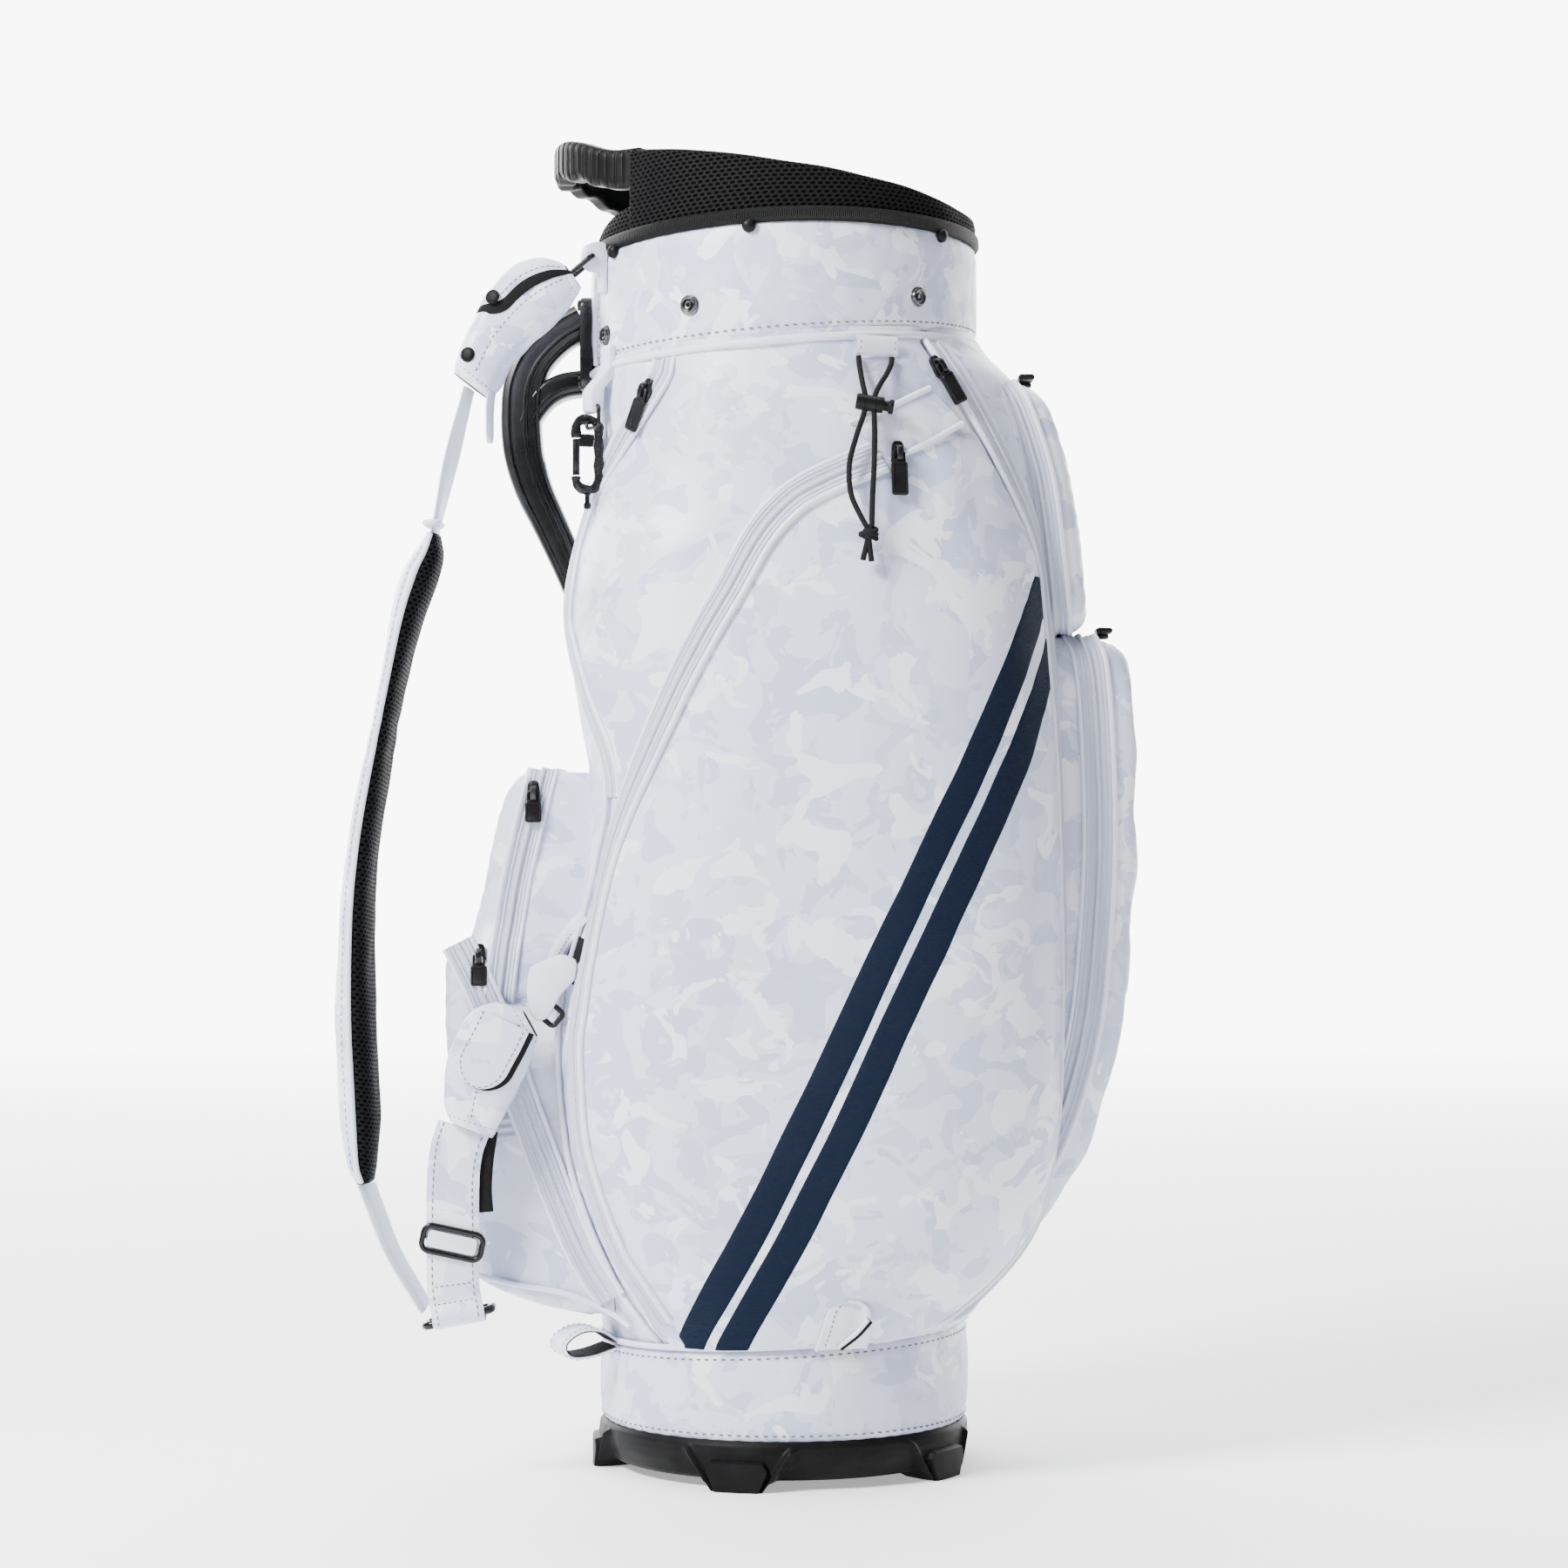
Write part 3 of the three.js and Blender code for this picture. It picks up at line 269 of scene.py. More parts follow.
def grid_part(points: Points, loop_rows: bool = False, loop_columns: bool = False) -> MeshPart:
    """Quads over a grid of points. Rows are the first axis, columns the second.

    Args:
        points: Array of rows x columns x 3.
        loop_rows: Joins the last row to the first.
        loop_columns: Joins the last column to the first.

    Returns:
        The part. Its cloth coordinates are millimetres along columns and rows.
    """
    rows, columns = points.shape[:2]
    index = np.arange(rows * columns).reshape(rows, columns)
    if loop_rows:
        index = np.vstack([index, index[:1]])
    if loop_columns:
        index = np.hstack([index, index[:, :1]])
    quads = np.stack([index[:-1, :-1], index[:-1, 1:], index[1:, 1:], index[1:, :-1]], axis=-1).reshape(-1, 4)
    across = np.concatenate(
        [np.zeros((rows, 1)), np.linalg.norm(np.diff(points, axis=1), axis=2).cumsum(axis=1)], axis=1
    )
    along = np.concatenate(
        [np.zeros((1, columns)), np.linalg.norm(np.diff(points, axis=0), axis=2).cumsum(axis=0)], axis=0
    )
    cloth = np.stack([across, along], axis=-1).reshape(-1, 2)
    return MeshPart(points.reshape(-1, 3), quads.tolist(), cloth)


def capped_grid(points: Points) -> MeshPart:
    """A tube of closed rings whose two ends are filled.

    Args:
        points: Array of rings x ring points x 3.

    Returns:
        The part.
    """
    part = grid_part(points, loop_columns=True)
    rows, columns = points.shape[:2]
    last = (rows - 1) * columns
    part.faces.append(tuple(range(columns))[::-1])
    part.faces.append(tuple(range(last, last + columns)))
    return part


def join_parts(parts: Iterable[MeshPart]) -> MeshPart:
    """Puts parts into one.

    Args:
        parts: The parts.

    Returns:
        One part with all their points and faces.
    """
    points, faces, cloth, start = [], [], [], 0
    for part in parts:
        points.append(part.points)
        faces.extend(tuple(k + start for k in face) for face in part.faces)
        cloth.append(part.cloth if part.cloth is not None else part.points[:, :2])
        start += len(part.points)
    return MeshPart(np.vstack(points), faces, np.vstack(cloth))


def sweep(
    path: Points, normals: Points, outline: Points, closed: bool = False, scale: Optional[Points] = None
) -> Points:
    """Carries an outline along a path.

    Args:
        path: Points of the path.
        normals: The outline's second axis at each point.
        outline: Points with two values: across the path and along the normal.
        closed: True where the path is a loop.
        scale: Size of the outline at each point of the path.

    Returns:
        Array of path points x outline points x 3.
    """
    along = tangents(path, closed)
    ups = unit(normals - along * np.sum(normals * along, axis=1, keepdims=True))
    across = np.cross(along, ups)
    sizes = np.ones(len(path)) if scale is None else scale
    spread = outline[None, :, :] * sizes[:, None, None]
    return path[:, None, :] + across[:, None, :] * spread[..., :1] + ups[:, None, :] * spread[..., 1:]


def tube(path: Points, radius: float, sides: int = 8, closed: bool = False) -> MeshPart:
    """A round tube along a path.

    Args:
        path: Points of its middle line.
        radius: Its radius.
        sides: Points round it.
        closed: True where the path is a loop.

    Returns:
        The part, closed at its ends.
    """
    start = [0.0, 0.0, 1.0] if abs(tangents(path, closed)[0][2]) < 0.8 else [1.0, 0.0, 0.0]
    rings = sweep(path, steady_normals(path, start, closed), circle(radius, sides), closed)
    return grid_part(rings, loop_rows=True, loop_columns=True) if closed else capped_grid(rings)


def lathe(profile: Sequence[Sequence[float]], sides: int = 32) -> MeshPart:
    """Turns a profile round the Z axis. The profile starts and ends on the axis.

    Args:
        profile: Pairs of radius and height.
        sides: Points round the axis.

    Returns:
        The part.
    """
    outline = np.array(profile, float)
    turn = np.arange(sides) / sides * 2 * np.pi
    rings = outline[1:-1]
    points = np.stack(
        [
            rings[:, :1] * np.cos(turn),
            rings[:, :1] * np.sin(turn),
            np.repeat(rings[:, 1:], sides, axis=1),
        ],
        axis=-1,
    )
    part = grid_part(points, loop_columns=True)
    count = len(part.points)
    poles = np.array([[0.0, 0.0, outline[0, 1]], [0.0, 0.0, outline[-1, 1]]])
    last = count - sides
    after = lambda k: (k + 1) % sides
    part.faces.extend((count, after(k), k) for k in range(sides))
    part.faces.extend((count + 1, last + k, last + after(k)) for k in range(sides))
    part.points = np.vstack([part.points, poles])
    part.cloth = np.vstack([part.cloth, [[0.0, 0.0], [0.0, 0.0]]])
    return part


def placed(part: MeshPart, at: Sequence[float], across: Sequence[float], up: Sequence[float]) -> MeshPart:
    """Moves a part drawn at the origin to a place on the bag.

    Args:
        part: The part.
        at: Where its origin goes.
        across: Where its X axis points, roughly.
        up: Where its Z axis points.

    Returns:
        The moved part.
    """
    z_axis = unit(np.array(up, float))
    x_axis = np.array(across, float)
    x_axis = unit(x_axis - z_axis * np.dot(x_axis, z_axis))
    y_axis = np.cross(z_axis, x_axis)
    points = part.points @ np.stack([x_axis, y_axis, z_axis]) + np.array(at, float)
    return MeshPart(points, part.faces, part.cloth)


def mirrored(part: MeshPart) -> MeshPart:
    """The same part on the far side of the bag, its faces turned to stay outward."""
    return flipped(MeshPart(part.points * np.array([1.0, -1.0, 1.0]), part.faces, part.cloth))


def stitch_row(path: Points, normals: Points, pitch: float = 5.2, length: float = 3.4, width: float = 0.75) -> MeshPart:
    """A row of thread stitches lying on a surface.

    Args:
        path: Points of the seam line on the surface.
        normals: The surface's outward direction at each point.
        pitch: Distance from stitch to stitch.
        length: Length of one stitch.
        width: Thread thickness.

    Returns:
        The part: one low lens of a few faces for each stitch.
    """
    count = max(int(path_length(path) / pitch), 1)
    along = np.linspace(0, len(path) - 1, count + 1)[:-1] + 0.5 * (len(path) - 1) / count
    index = np.arange(len(path))
    at = np.stack([np.interp(along, index, path[:, k]) for k in range(3)], axis=1)
    up = unit(np.stack([np.interp(along, index, normals[:, k]) for k in range(3)], axis=1))
    way = unit(np.stack([np.interp(along, index, tangents(path)[:, k]) for k in range(3)], axis=1))
    side = unit(np.cross(up, way))
    half, flat = length / 2, width / 2
    shape = np.array(
        [
            [-half, 0, -0.25], [-half * 0.6, -flat, -0.05], [-half * 0.6, flat, -0.05], [-half * 0.5, 0, 0.3],
            [half * 0.6, -flat, -0.05], [half * 0.6, flat, -0.05], [half * 0.5, 0, 0.3], [half, 0, -0.25],
        ]
    )
    points = (
        at[:, None, :]
        + way[:, None, :] * shape[None, :, :1]
        + side[:, None, :] * shape[None, :, 1:2]
        + up[:, None, :] * shape[None, :, 2:]
    )
    faces = np.array([[0, 1, 3], [0, 3, 2], [7, 6, 4], [7, 5, 6], [0, 2, 1], [7, 4, 5]])
    quads = np.array([[1, 4, 6, 3], [2, 3, 6, 5], [1, 2, 5, 4]])
    starts = (np.arange(count) * 8)[:, None, None]
    all_faces = (faces[None] + starts).reshape(-1, 3).tolist() + (quads[None] + starts).reshape(-1, 4).tolist()
    return MeshPart(points.reshape(-1, 3), all_faces, points.reshape(-1, 3)[:, :2])


def flipped(part: MeshPart, wrong: bool = True) -> MeshPart:
    """Turns all faces of a part round if they look the wrong way."""
    if wrong:
        part.faces = [tuple(face)[::-1] for face in part.faces]
    return part


def outward(part: MeshPart) -> MeshPart:
    """Turns the faces of a closed part outward, which its signed volume tells.

    Args:
        part: The part.

    Returns:
        The part with its faces outward.
    """
    p = part.points - part.points.mean(axis=0)
    tris = np.array([(f[0], f[k], f[k + 1]) for f in part.faces for k in range(1, len(f) - 1)])
    return flipped(part, dots(p[tris[:, 0]], np.cross(p[tris[:, 1]], p[tris[:, 2]])).sum() < 0)


def filled(rings: Points) -> MeshPart:
    """A body of closed rings with filled ends and its faces outward."""
    return outward(capped_grid(rings))


def wire(line: Points, radius: float, sides: int) -> MeshPart:
    """A closed loop of round wire."""
    return outward(tube(line, radius, sides, closed=True))


def alike(row: Sequence[float] | Points, count: int) -> Points:
    """The same row of values for each of a number of points."""
    return np.tile(row, (count, 1))


def face_ways(part: MeshPart) -> tuple[Points, Points]:
    """Middles and directions of a part's faces, from the first three corners of each."""
    tris = np.array([face[:3] for face in part.faces])
    a, b, c = (part.points[tris[:, k]] for k in range(3))
    return (a + b + c) / 3, np.cross(b - a, c - a)


def facing_away(part: MeshPart, middle: Points) -> MeshPart:
    """Turns the faces of an open sheet so that most look away from a point."""
    centers, ways = face_ways(part)
    return flipped(part, dots(ways, centers - middle).sum() < 0)


def from_axis(part: MeshPart) -> MeshPart:
    """Turns the faces of an open sheet so that most look away from the tube's axis."""
    centers, ways = face_ways(part)
    return flipped(part, dots(ways, centers * np.array([1.0, 1.0, 0.0])).sum() < 0)


# ------------------------------------------------------------------------------------------ finishes


class Tree:
    """A material's node tree with short ways to add nodes."""

    def __init__(self, name: str) -> None:
        """Starts an empty material.

        Args:
            name: The material's name.
        """
        self.material = bpy.data.materials.new(name)
        self.material.use_nodes = True
        self.nodes = self.material.node_tree.nodes
        self.links = self.material.node_tree.links
        self.shader = self.nodes["Principled BSDF"]

    def add(self, kind: str, inputs: Optional[dict] = None, **settings: object) -> bpy.types.Node:
        """Adds a node.

        Args:
            kind: Blender's name of the node type.
            inputs: Socket name or number to a value, or to another node's output.
            **settings: Properties of the node.

        Returns:
            The node.
        """
        node = self.nodes.new(kind)
        for key, value in settings.items():
            setattr(node, key, value)
        for key, value in (inputs or {}).items():
            self.plug(value, node.inputs[key])
        return node

    def plug(self, value: object, socket: bpy.types.NodeSocket) -> None:
        """Sets a socket or links it.

        Args:
            value: A plain value or an output socket.
            socket: The input.
        """
        if isinstance(value, bpy.types.NodeSocket):
            self.links.new(value, socket)
        else:
            socket.default_value = value

    def math(self, operation: str, *values: object) -> bpy.types.NodeSocket:
        """Adds a math node and returns its output."""
        node = self.add("ShaderNodeMath", dict(enumerate(values)), operation=operation)
        return node.outputs[0]

    def place(self, scale: Sequence[float] = (1, 1, 1), shift: Sequence[float] = (0, 0, 0)) -> bpy.types.NodeSocket:
        """Object coordinates, stretched and shifted.

        Args:
            scale: Factor on each axis.
            shift: Added after scaling.

        Returns:
            The coordinates.
        """
        source = self.add("ShaderNodeTexCoord")
        mapping = self.add("ShaderNodeMapping", {"Vector": source.outputs["Object"], "Scale": scale, "Location": shift})
        return mapping.outputs[0]

    def cloth(self, scale: Sequence[float] = (1, 1, 1)) -> bpy.types.NodeSocket:
        """The mesh's own cloth coordinates, in millimetres, stretched.

        Args:
            scale: Factor on each axis.

        Returns:
            The coordinates.
        """
        source = self.add("ShaderNodeUVMap", uv_map="cloth")
        mapping = self.add("ShaderNodeMapping", {"Vector": source.outputs[0], "Scale": scale})
        return mapping.outputs[0]

    def noise(
        self, where: bpy.types.NodeSocket, scale: float, detail: float = 2.0, warp: float = 0.0
    ) -> bpy.types.NodeSocket:
        """Noise from 0 to 1, with its scale, octaves and distortion."""
        inputs = {"Vector": where, "Scale": scale, "Detail": detail, "Distortion": warp}
        return self.add("ShaderNodeTexNoise", inputs).outputs[0]

    def ramp(
        self, value: bpy.types.NodeSocket, low: float, high: float, start: float = 0.0, end: float = 1.0
    ) -> bpy.types.NodeSocket:
        """Maps the range from low to high onto start to end, clamped."""
        inputs = {"Value": value, "From Min": low, "From Max": high, "To Min": start, "To Max": end}
        return self.add("ShaderNodeMapRange", inputs, clamp=True).outputs[0]

    def blend(self, share: object, first: object, second: object) -> bpy.types.NodeSocket:
        """Mixes two colours.

        Args:
            share: Number or output from 0 to 1.
            first: Colour at 0.
            second: Colour at 1.

        Returns:
            The mixed colour.
        """
        node = self.add("ShaderNodeMix", data_type="RGBA")
        self.plug(share, node.inputs[0])
        self.plug(first, node.inputs[6])
        self.plug(second, node.inputs[7])
        return node.outputs[2]

    def relief(
        self, height: bpy.types.NodeSocket, strength: float, depth: float, under: object = None
    ) -> bpy.types.NodeSocket:
        """Bump from a height.

        Args:
            height: The height.
            strength: How strongly it shows.
            depth: Its depth in metres.
            under: Normal of an earlier relief.

        Returns:
            The new normal.
        """
        node = self.add("ShaderNodeBump", {"Height": height, "Strength": strength, "Distance": depth})
        if under is not None:
            self.links.new(under, node.inputs["Normal"])
        return node.outputs[0]

    def finish(self, normal: object = None, **values: object) -> bpy.types.Material:
        """Sets the shader.

        Args:
            normal: Normal output, if any.
            **values: Shader socket names, with _ for spaces, to values.

        Returns:
            The material.
        """
        for key, value in values.items():
            self.plug(value, self.shader.inputs[key.replace("_", " ")])
        if normal is not None:
            self.links.new(normal, self.shader.inputs["Normal"])
        return self.material


Color = tuple[float, float, float, float]


def shaded(color: Color, factor: float, lift: float = 0.0) -> Color:
    """A colour made darker or paler."""
    return tuple(c * factor + lift for c in color[:3]) + (1.0,)


@dataclass(frozen=True)
class CamoLeather:
    """Coated white leather with a faint tone-on-tone print of wavy patches."""

    name: str = "camo_leather"
    base: Color = (0.555, 0.60, 0.735, 1.0)
    dusk: Color = (0.425, 0.475, 0.63, 1.0)
    light: Color = (0.71, 0.735, 0.815, 1.0)
    lilac: Color = (0.49, 0.515, 0.675, 1.0)
    patch_edge: float = 0.006

    def make(self) -> bpy.types.Material:
        """Builds the material.

        Returns:
            The material.
        """
        tree = Tree(self.name)
        color: object = self.base
        patches = []
        for tone, scale, shift, cut in (
            (self.dusk, 24.0, (0, 0, 0), 0.55),
            (self.lilac, 27.0, (3, 1, 5), 0.575),
            (self.light, 26.0, (7, 4, 2), 0.57),
        ):
            value = tree.noise(tree.place((1.0, 1.0, 1.15), shift), scale, 3.0, 1.1)
            patches.append(tree.ramp(value, cut, cut + self.patch_edge))
            color = tree.blend(patches[-1], color, tone)
        rough = tree.ramp(patches[0], 0.0, 1.0, 0.36, 0.46)
        grain = tree.add(
            "ShaderNodeTexVoronoi", {"Vector": tree.place(), "Scale": 850.0}, feature="SMOOTH_F1"
        ).outputs[0]
        pores = tree.noise(tree.place(), 2400.0, 2.0)
        normal = tree.relief(grain, 0.16, 0.0004)
        normal = tree.relief(pores, 0.05, 0.0003, normal)
        soft = tree.noise(tree.place((1, 1, 0.6)), 22.0, 2.0)
        normal = tree.relief(soft, 0.35, 0.004, normal)
        return tree.finish(normal, Base_Color=color, Roughness=rough, Specular_IOR_Level=0.45)


@dataclass(frozen=True)
class SmoothLeather:
    """Plain white leather of piping, hems and loops."""

    name: str = "piping_leather"
    color: Color = (0.635, 0.67, 0.775, 1.0)
    roughness: float = 0.42

    def make(self) -> bpy.types.Material:
        """Builds the material.

        Returns:
            The material.
        """
        tree = Tree(self.name)
        wear = tree.noise(tree.place(), 60.0, 3.0)
        color = tree.blend(tree.ramp(wear, 0.4, 0.75, 0.0, 0.25), self.color, (0.53, 0.565, 0.68, 1.0))
        grain = tree.noise(tree.place(), 1900.0, 2.0)
        return tree.finish(
            tree.relief(grain, 0.18, 0.0003), Base_Color=color, Roughness=self.roughness, Specular_IOR_Level=0.45
        )


@dataclass(frozen=True)
class WovenTape:
    """Ribbed or twilled narrow tape."""

    name: str
    color: Color
    rib: float = 0.6
    rough: float = 0.75
    twill: bool = True
    depth: float = 0.35

    def make(self) -> bpy.types.Material:
        """Builds the material.

        Returns:
            The material.
        """
        tree = Tree(self.name)
        turn = 1.0 / self.rib
        scale = (turn, turn * 0.7, 1.0) if self.twill else (0.0, turn, 1.0)
        where = tree.cloth(scale)
        split = tree.add("ShaderNodeSeparateXYZ", {0: where})
        phase = tree.math("ADD", split.outputs[0], split.outputs[1])
        wave = tree.math("SINE", tree.math("MULTIPLY", phase, 2 * math.pi))
        # Painted shade: the colour darkens in the troughs between the ribs, where the relief below sinks.
        shade = tree.ramp(wave, -1.0, 1.0, 0.0, 0.45)
        dark = shaded(self.color, 0.72)
        color = tree.blend(shade, self.color, dark)
        fuzz = tree.noise(tree.place(), 1500.0, 2.0)
        normal = tree.relief(wave, self.depth, 0.0004)
        normal = tree.relief(fuzz, 0.2, 0.0003, normal)
        return tree.finish(normal, Base_Color=color, Roughness=self.rough, Specular_IOR_Level=0.15)


@dataclass(frozen=True)
class MouldedPlastic:
    """Black moulded plastic with a fine spark grain."""

    name: str = "moulded_plastic"
    color: Color = (0.0042, 0.0042, 0.0045, 1.0)
    rough: float = 0.42
    grain: float = 1300.0
    shine: float = 0.12

    def make(self) -> bpy.types.Material:
        """Builds the material.

        Returns:
            The material.
        """
        tree = Tree(self.name)
        dust = tree.noise(tree.place(), 45.0, 4.0)
        pale = shaded(self.color, 2.2, 0.001)
        color = tree.blend(tree.ramp(dust, 0.45, 0.8, 0.0, 0.6), self.color, pale)
        sparks = tree.noise(tree.place(), self.grain, 2.0)
        rough = tree.ramp(dust, 0.3, 0.8, self.rough - 0.06, self.rough + 0.08)
        return tree.finish(
            tree.relief(sparks, 0.22, 0.0003), Base_Color=color, Roughness=rough, Specular_IOR_Level=self.shine
        )


@dataclass(frozen=True)
class GunMetal:
    """Dark plated metal of rings, snaps and sliders."""

    name: str = "gun_metal"
    color: Color = (0.022, 0.022, 0.024, 1.0)
    rough: float = 0.3

    def make(self) -> bpy.types.Material:
        """Builds the material.

        Returns:
            The material.
        """
        tree = Tree(self.name)
        smear = tree.noise(tree.place(), 160.0, 3.0)
        worn = shaded(self.color, 2.4)
        color = tree.blend(tree.ramp(smear, 0.5, 0.72), self.color, worn)
        rough = tree.ramp(smear, 0.3, 0.7, self.rough - 0.06, self.rough + 0.12)
        fine = tree.noise(tree.place(), 900.0, 2.0)
        return tree.finish(tree.relief(fine, 0.08, 0.0002), Base_Color=color, Roughness=rough, Metallic=0.85)


@dataclass(frozen=True)
class SpacerMesh:
    """Black three-dimensional air mesh: rows of small round holes, set in a brick pattern."""

    name: str = "spacer_mesh"
    pitch: float = 4.7
    rows: float = 0.56
    color: Color = (0.0085, 0.0085, 0.009, 1.0)
    # Colour of the holes: painted shade.
    hole_shade: Color = (0.0006, 0.0006, 0.0007, 1.0)

    def make(self) -> bpy.types.Material:
        """Builds the material.

        Returns:
            The material.
        """
        tree = Tree(self.name)
        split = tree.add("ShaderNodeSeparateXYZ", {0: tree.cloth((1 / self.pitch, 1 / (self.pitch * self.rows), 1.0))})
        across, up = split.outputs[0], split.outputs[1]
        row = tree.math("FLOOR", up)
        odd = tree.math("MULTIPLY", tree.math("MODULO", tree.math("ABSOLUTE", row), 2.0), 0.5)
        local_x = tree.math("SUBTRACT", tree.math("FRACT", tree.math("ADD", across, odd)), 0.5)
        local_y = tree.math("SUBTRACT", tree.math("FRACT", up), 0.5)
        squares = tree.math(
            "ADD",
            tree.math("POWER", tree.math("ABSOLUTE", local_x), 2.0),
            tree.math("POWER", tree.math("ABSOLUTE", local_y), 2.0),
        )
        reach = tree.math("SQRT", squares)
        open_part = tree.ramp(reach, 0.24, 0.40)
        # Painted shade: the holes are near black, the shade of the mesh's deeper layer.
        color = tree.blend(open_part, self.hole_shade, self.color)
        yarn = tree.noise(tree.cloth((2.2, 2.2, 1.0)), 3.0, 2.0)
        normal = tree.relief(open_part, 0.9, 0.0012)
        normal = tree.relief(yarn, 0.25, 0.0004, normal)
        rough = tree.ramp(open_part, 0.0, 1.0, 0.95, 0.62)
        return tree.finish(normal, Base_Color=color, Roughness=rough, Specular_IOR_Level=0.03)


@dataclass(frozen=True)
class CoilZip:
    """The coil of a zip: fine slanted teeth on pale tape."""

    name: str = "zip_coil"
    color: Color = (0.53, 0.56, 0.655, 1.0)
    pitch: float = 1.5

    def make(self) -> bpy.types.Material:
        """Builds the material.

        Returns:
            The material.
        """
        tree = Tree(self.name)
        split = tree.add("ShaderNodeSeparateXYZ", {0: tree.cloth((1.0, 1 / self.pitch, 1.0))})
        wave = tree.math("SINE", tree.math("MULTIPLY", split.outputs[1], 2 * math.pi))
        # Painted shade: the colour darkens between the teeth, in the troughs of the relief below.
        dark = shaded(self.color, 0.8)
        color = tree.blend(tree.ramp(wave, -1.0, 0.4), dark, self.color)
        return tree.finish(tree.relief(wave, 0.5, 0.0004), Base_Color=color, Roughness=0.5)


@dataclass(frozen=True)
class StripeSatin:
    """Navy embroidery of the two plain stripes: dense threads that run across them."""

    name: str = "navy_stripe"
    color: Color = (0.0036, 0.0072, 0.0185, 1.0)

    def make(self) -> bpy.types.Material:
        """Builds the material.

        Returns:
            The material.
        """
        tree = Tree(self.name)
        split = tree.add("ShaderNodeSeparateXYZ", {0: tree.cloth((0.35, 1 / 0.7, 1.0))})
        jitter = tree.noise(tree.cloth((0.08, 0.5, 1.0)), 2.0, 3.0)
        phase = tree.math("ADD", split.outputs[1], tree.math("MULTIPLY", jitter, 1.2))
        thread = tree.math("SINE", tree.math("MULTIPLY", phase, 2 * math.pi))
        # Painted sheen: the crests of the threads, which the relief below raises, are paler.
        pale = shaded(self.color, 1.7)
        color = tree.blend(tree.ramp(thread, -0.6, 1.0, 0.0, 0.6), self.color, pale)
        rough = tree.ramp(jitter, 0.2, 0.8, 0.42, 0.62)
        return tree.finish(
            tree.relief(thread, 0.45, 0.0004), Base_Color=color, Roughness=rough, Specular_IOR_Level=0.06
        )


@dataclass(frozen=True)
class PlainCloth:
    """Lining, elastic cord or thread: a plain colour with a fine weave."""

    name: str
    color: Color
    scale: float = 700.0
    rough: float = 0.85

    def make(self) -> bpy.types.Material:
        """Builds the material.

        Returns:
            The material.
        """
        tree = Tree(self.name)
        weave = tree.add("ShaderNodeTexVoronoi", {"Vector": tree.place(), "Scale": self.scale}).outputs[0]
        cloud = tree.noise(tree.place(), 40.0, 3.0)
        dark = shaded(self.color, 0.75)
        color = tree.blend(tree.ramp(cloud, 0.35, 0.75, 0.0, 0.7), self.color, dark)
        return tree.finish(
            tree.relief(weave, 0.4, 0.0004), Base_Color=color, Roughness=self.rough, Specular_IOR_Level=0.15
        )


class Finish(Enum):
    """All finishes of the bag."""

    CAMO = CamoLeather()
    LEATHER = SmoothLeather()
    WHITE_TAPE = WovenTape("zip_tape", (0.50, 0.545, 0.665, 1.0), 0.7)
    BLACK_TAPE = WovenTape("binding_tape", (0.0075, 0.0075, 0.008, 1.0), 1.3, 0.6, False, 1.0)
    PLASTIC = MouldedPlastic()
    RUBBER = MouldedPlastic("soft_rubber", (0.0042, 0.0042, 0.0045, 1.0), 0.5, 900.0, 0.08)
    GLOSS = MouldedPlastic("snap_hook_plastic", (0.005, 0.005, 0.0055, 1.0), 0.24, 600.0, 0.25)
    SATIN = MouldedPlastic("satin_plastic", (0.0055, 0.0055, 0.006, 1.0), 0.30, 1500.0, 0.42)
    PULL = MouldedPlastic("zip_pull_plastic", (0.006, 0.006, 0.0065, 1.0), 0.32, 1100.0, 0.2)
    METAL = GunMetal()
    NICKEL = GunMetal("black_nickel", (0.09, 0.09, 0.093, 1.0), 0.24)
    MESH = SpacerMesh()
    COIL = CoilZip()
    STRIPE = StripeSatin()
    LINING = PlainCloth("black_lining", (0.0045, 0.0045, 0.005, 1.0))
    DIVIDER = PlainCloth("divider_fabric", (0.012, 0.012, 0.013, 1.0), 500.0)
    ELASTIC = PlainCloth("elastic_cord", (0.007, 0.007, 0.008, 1.0), 1500.0)
    # Stitches: grey thread, darkened much further to paint the shade of the needle holes and the sunken thread.
    THREAD = PlainCloth("seam_thread_and_shade", (0.15, 0.16, 0.19, 1.0), 2500.0, 0.8)

    def material(self) -> bpy.types.Material:
        """The finish's material, made once."""
        found = bpy.data.materials.get(self.value.name)
        return found or self.value.make()


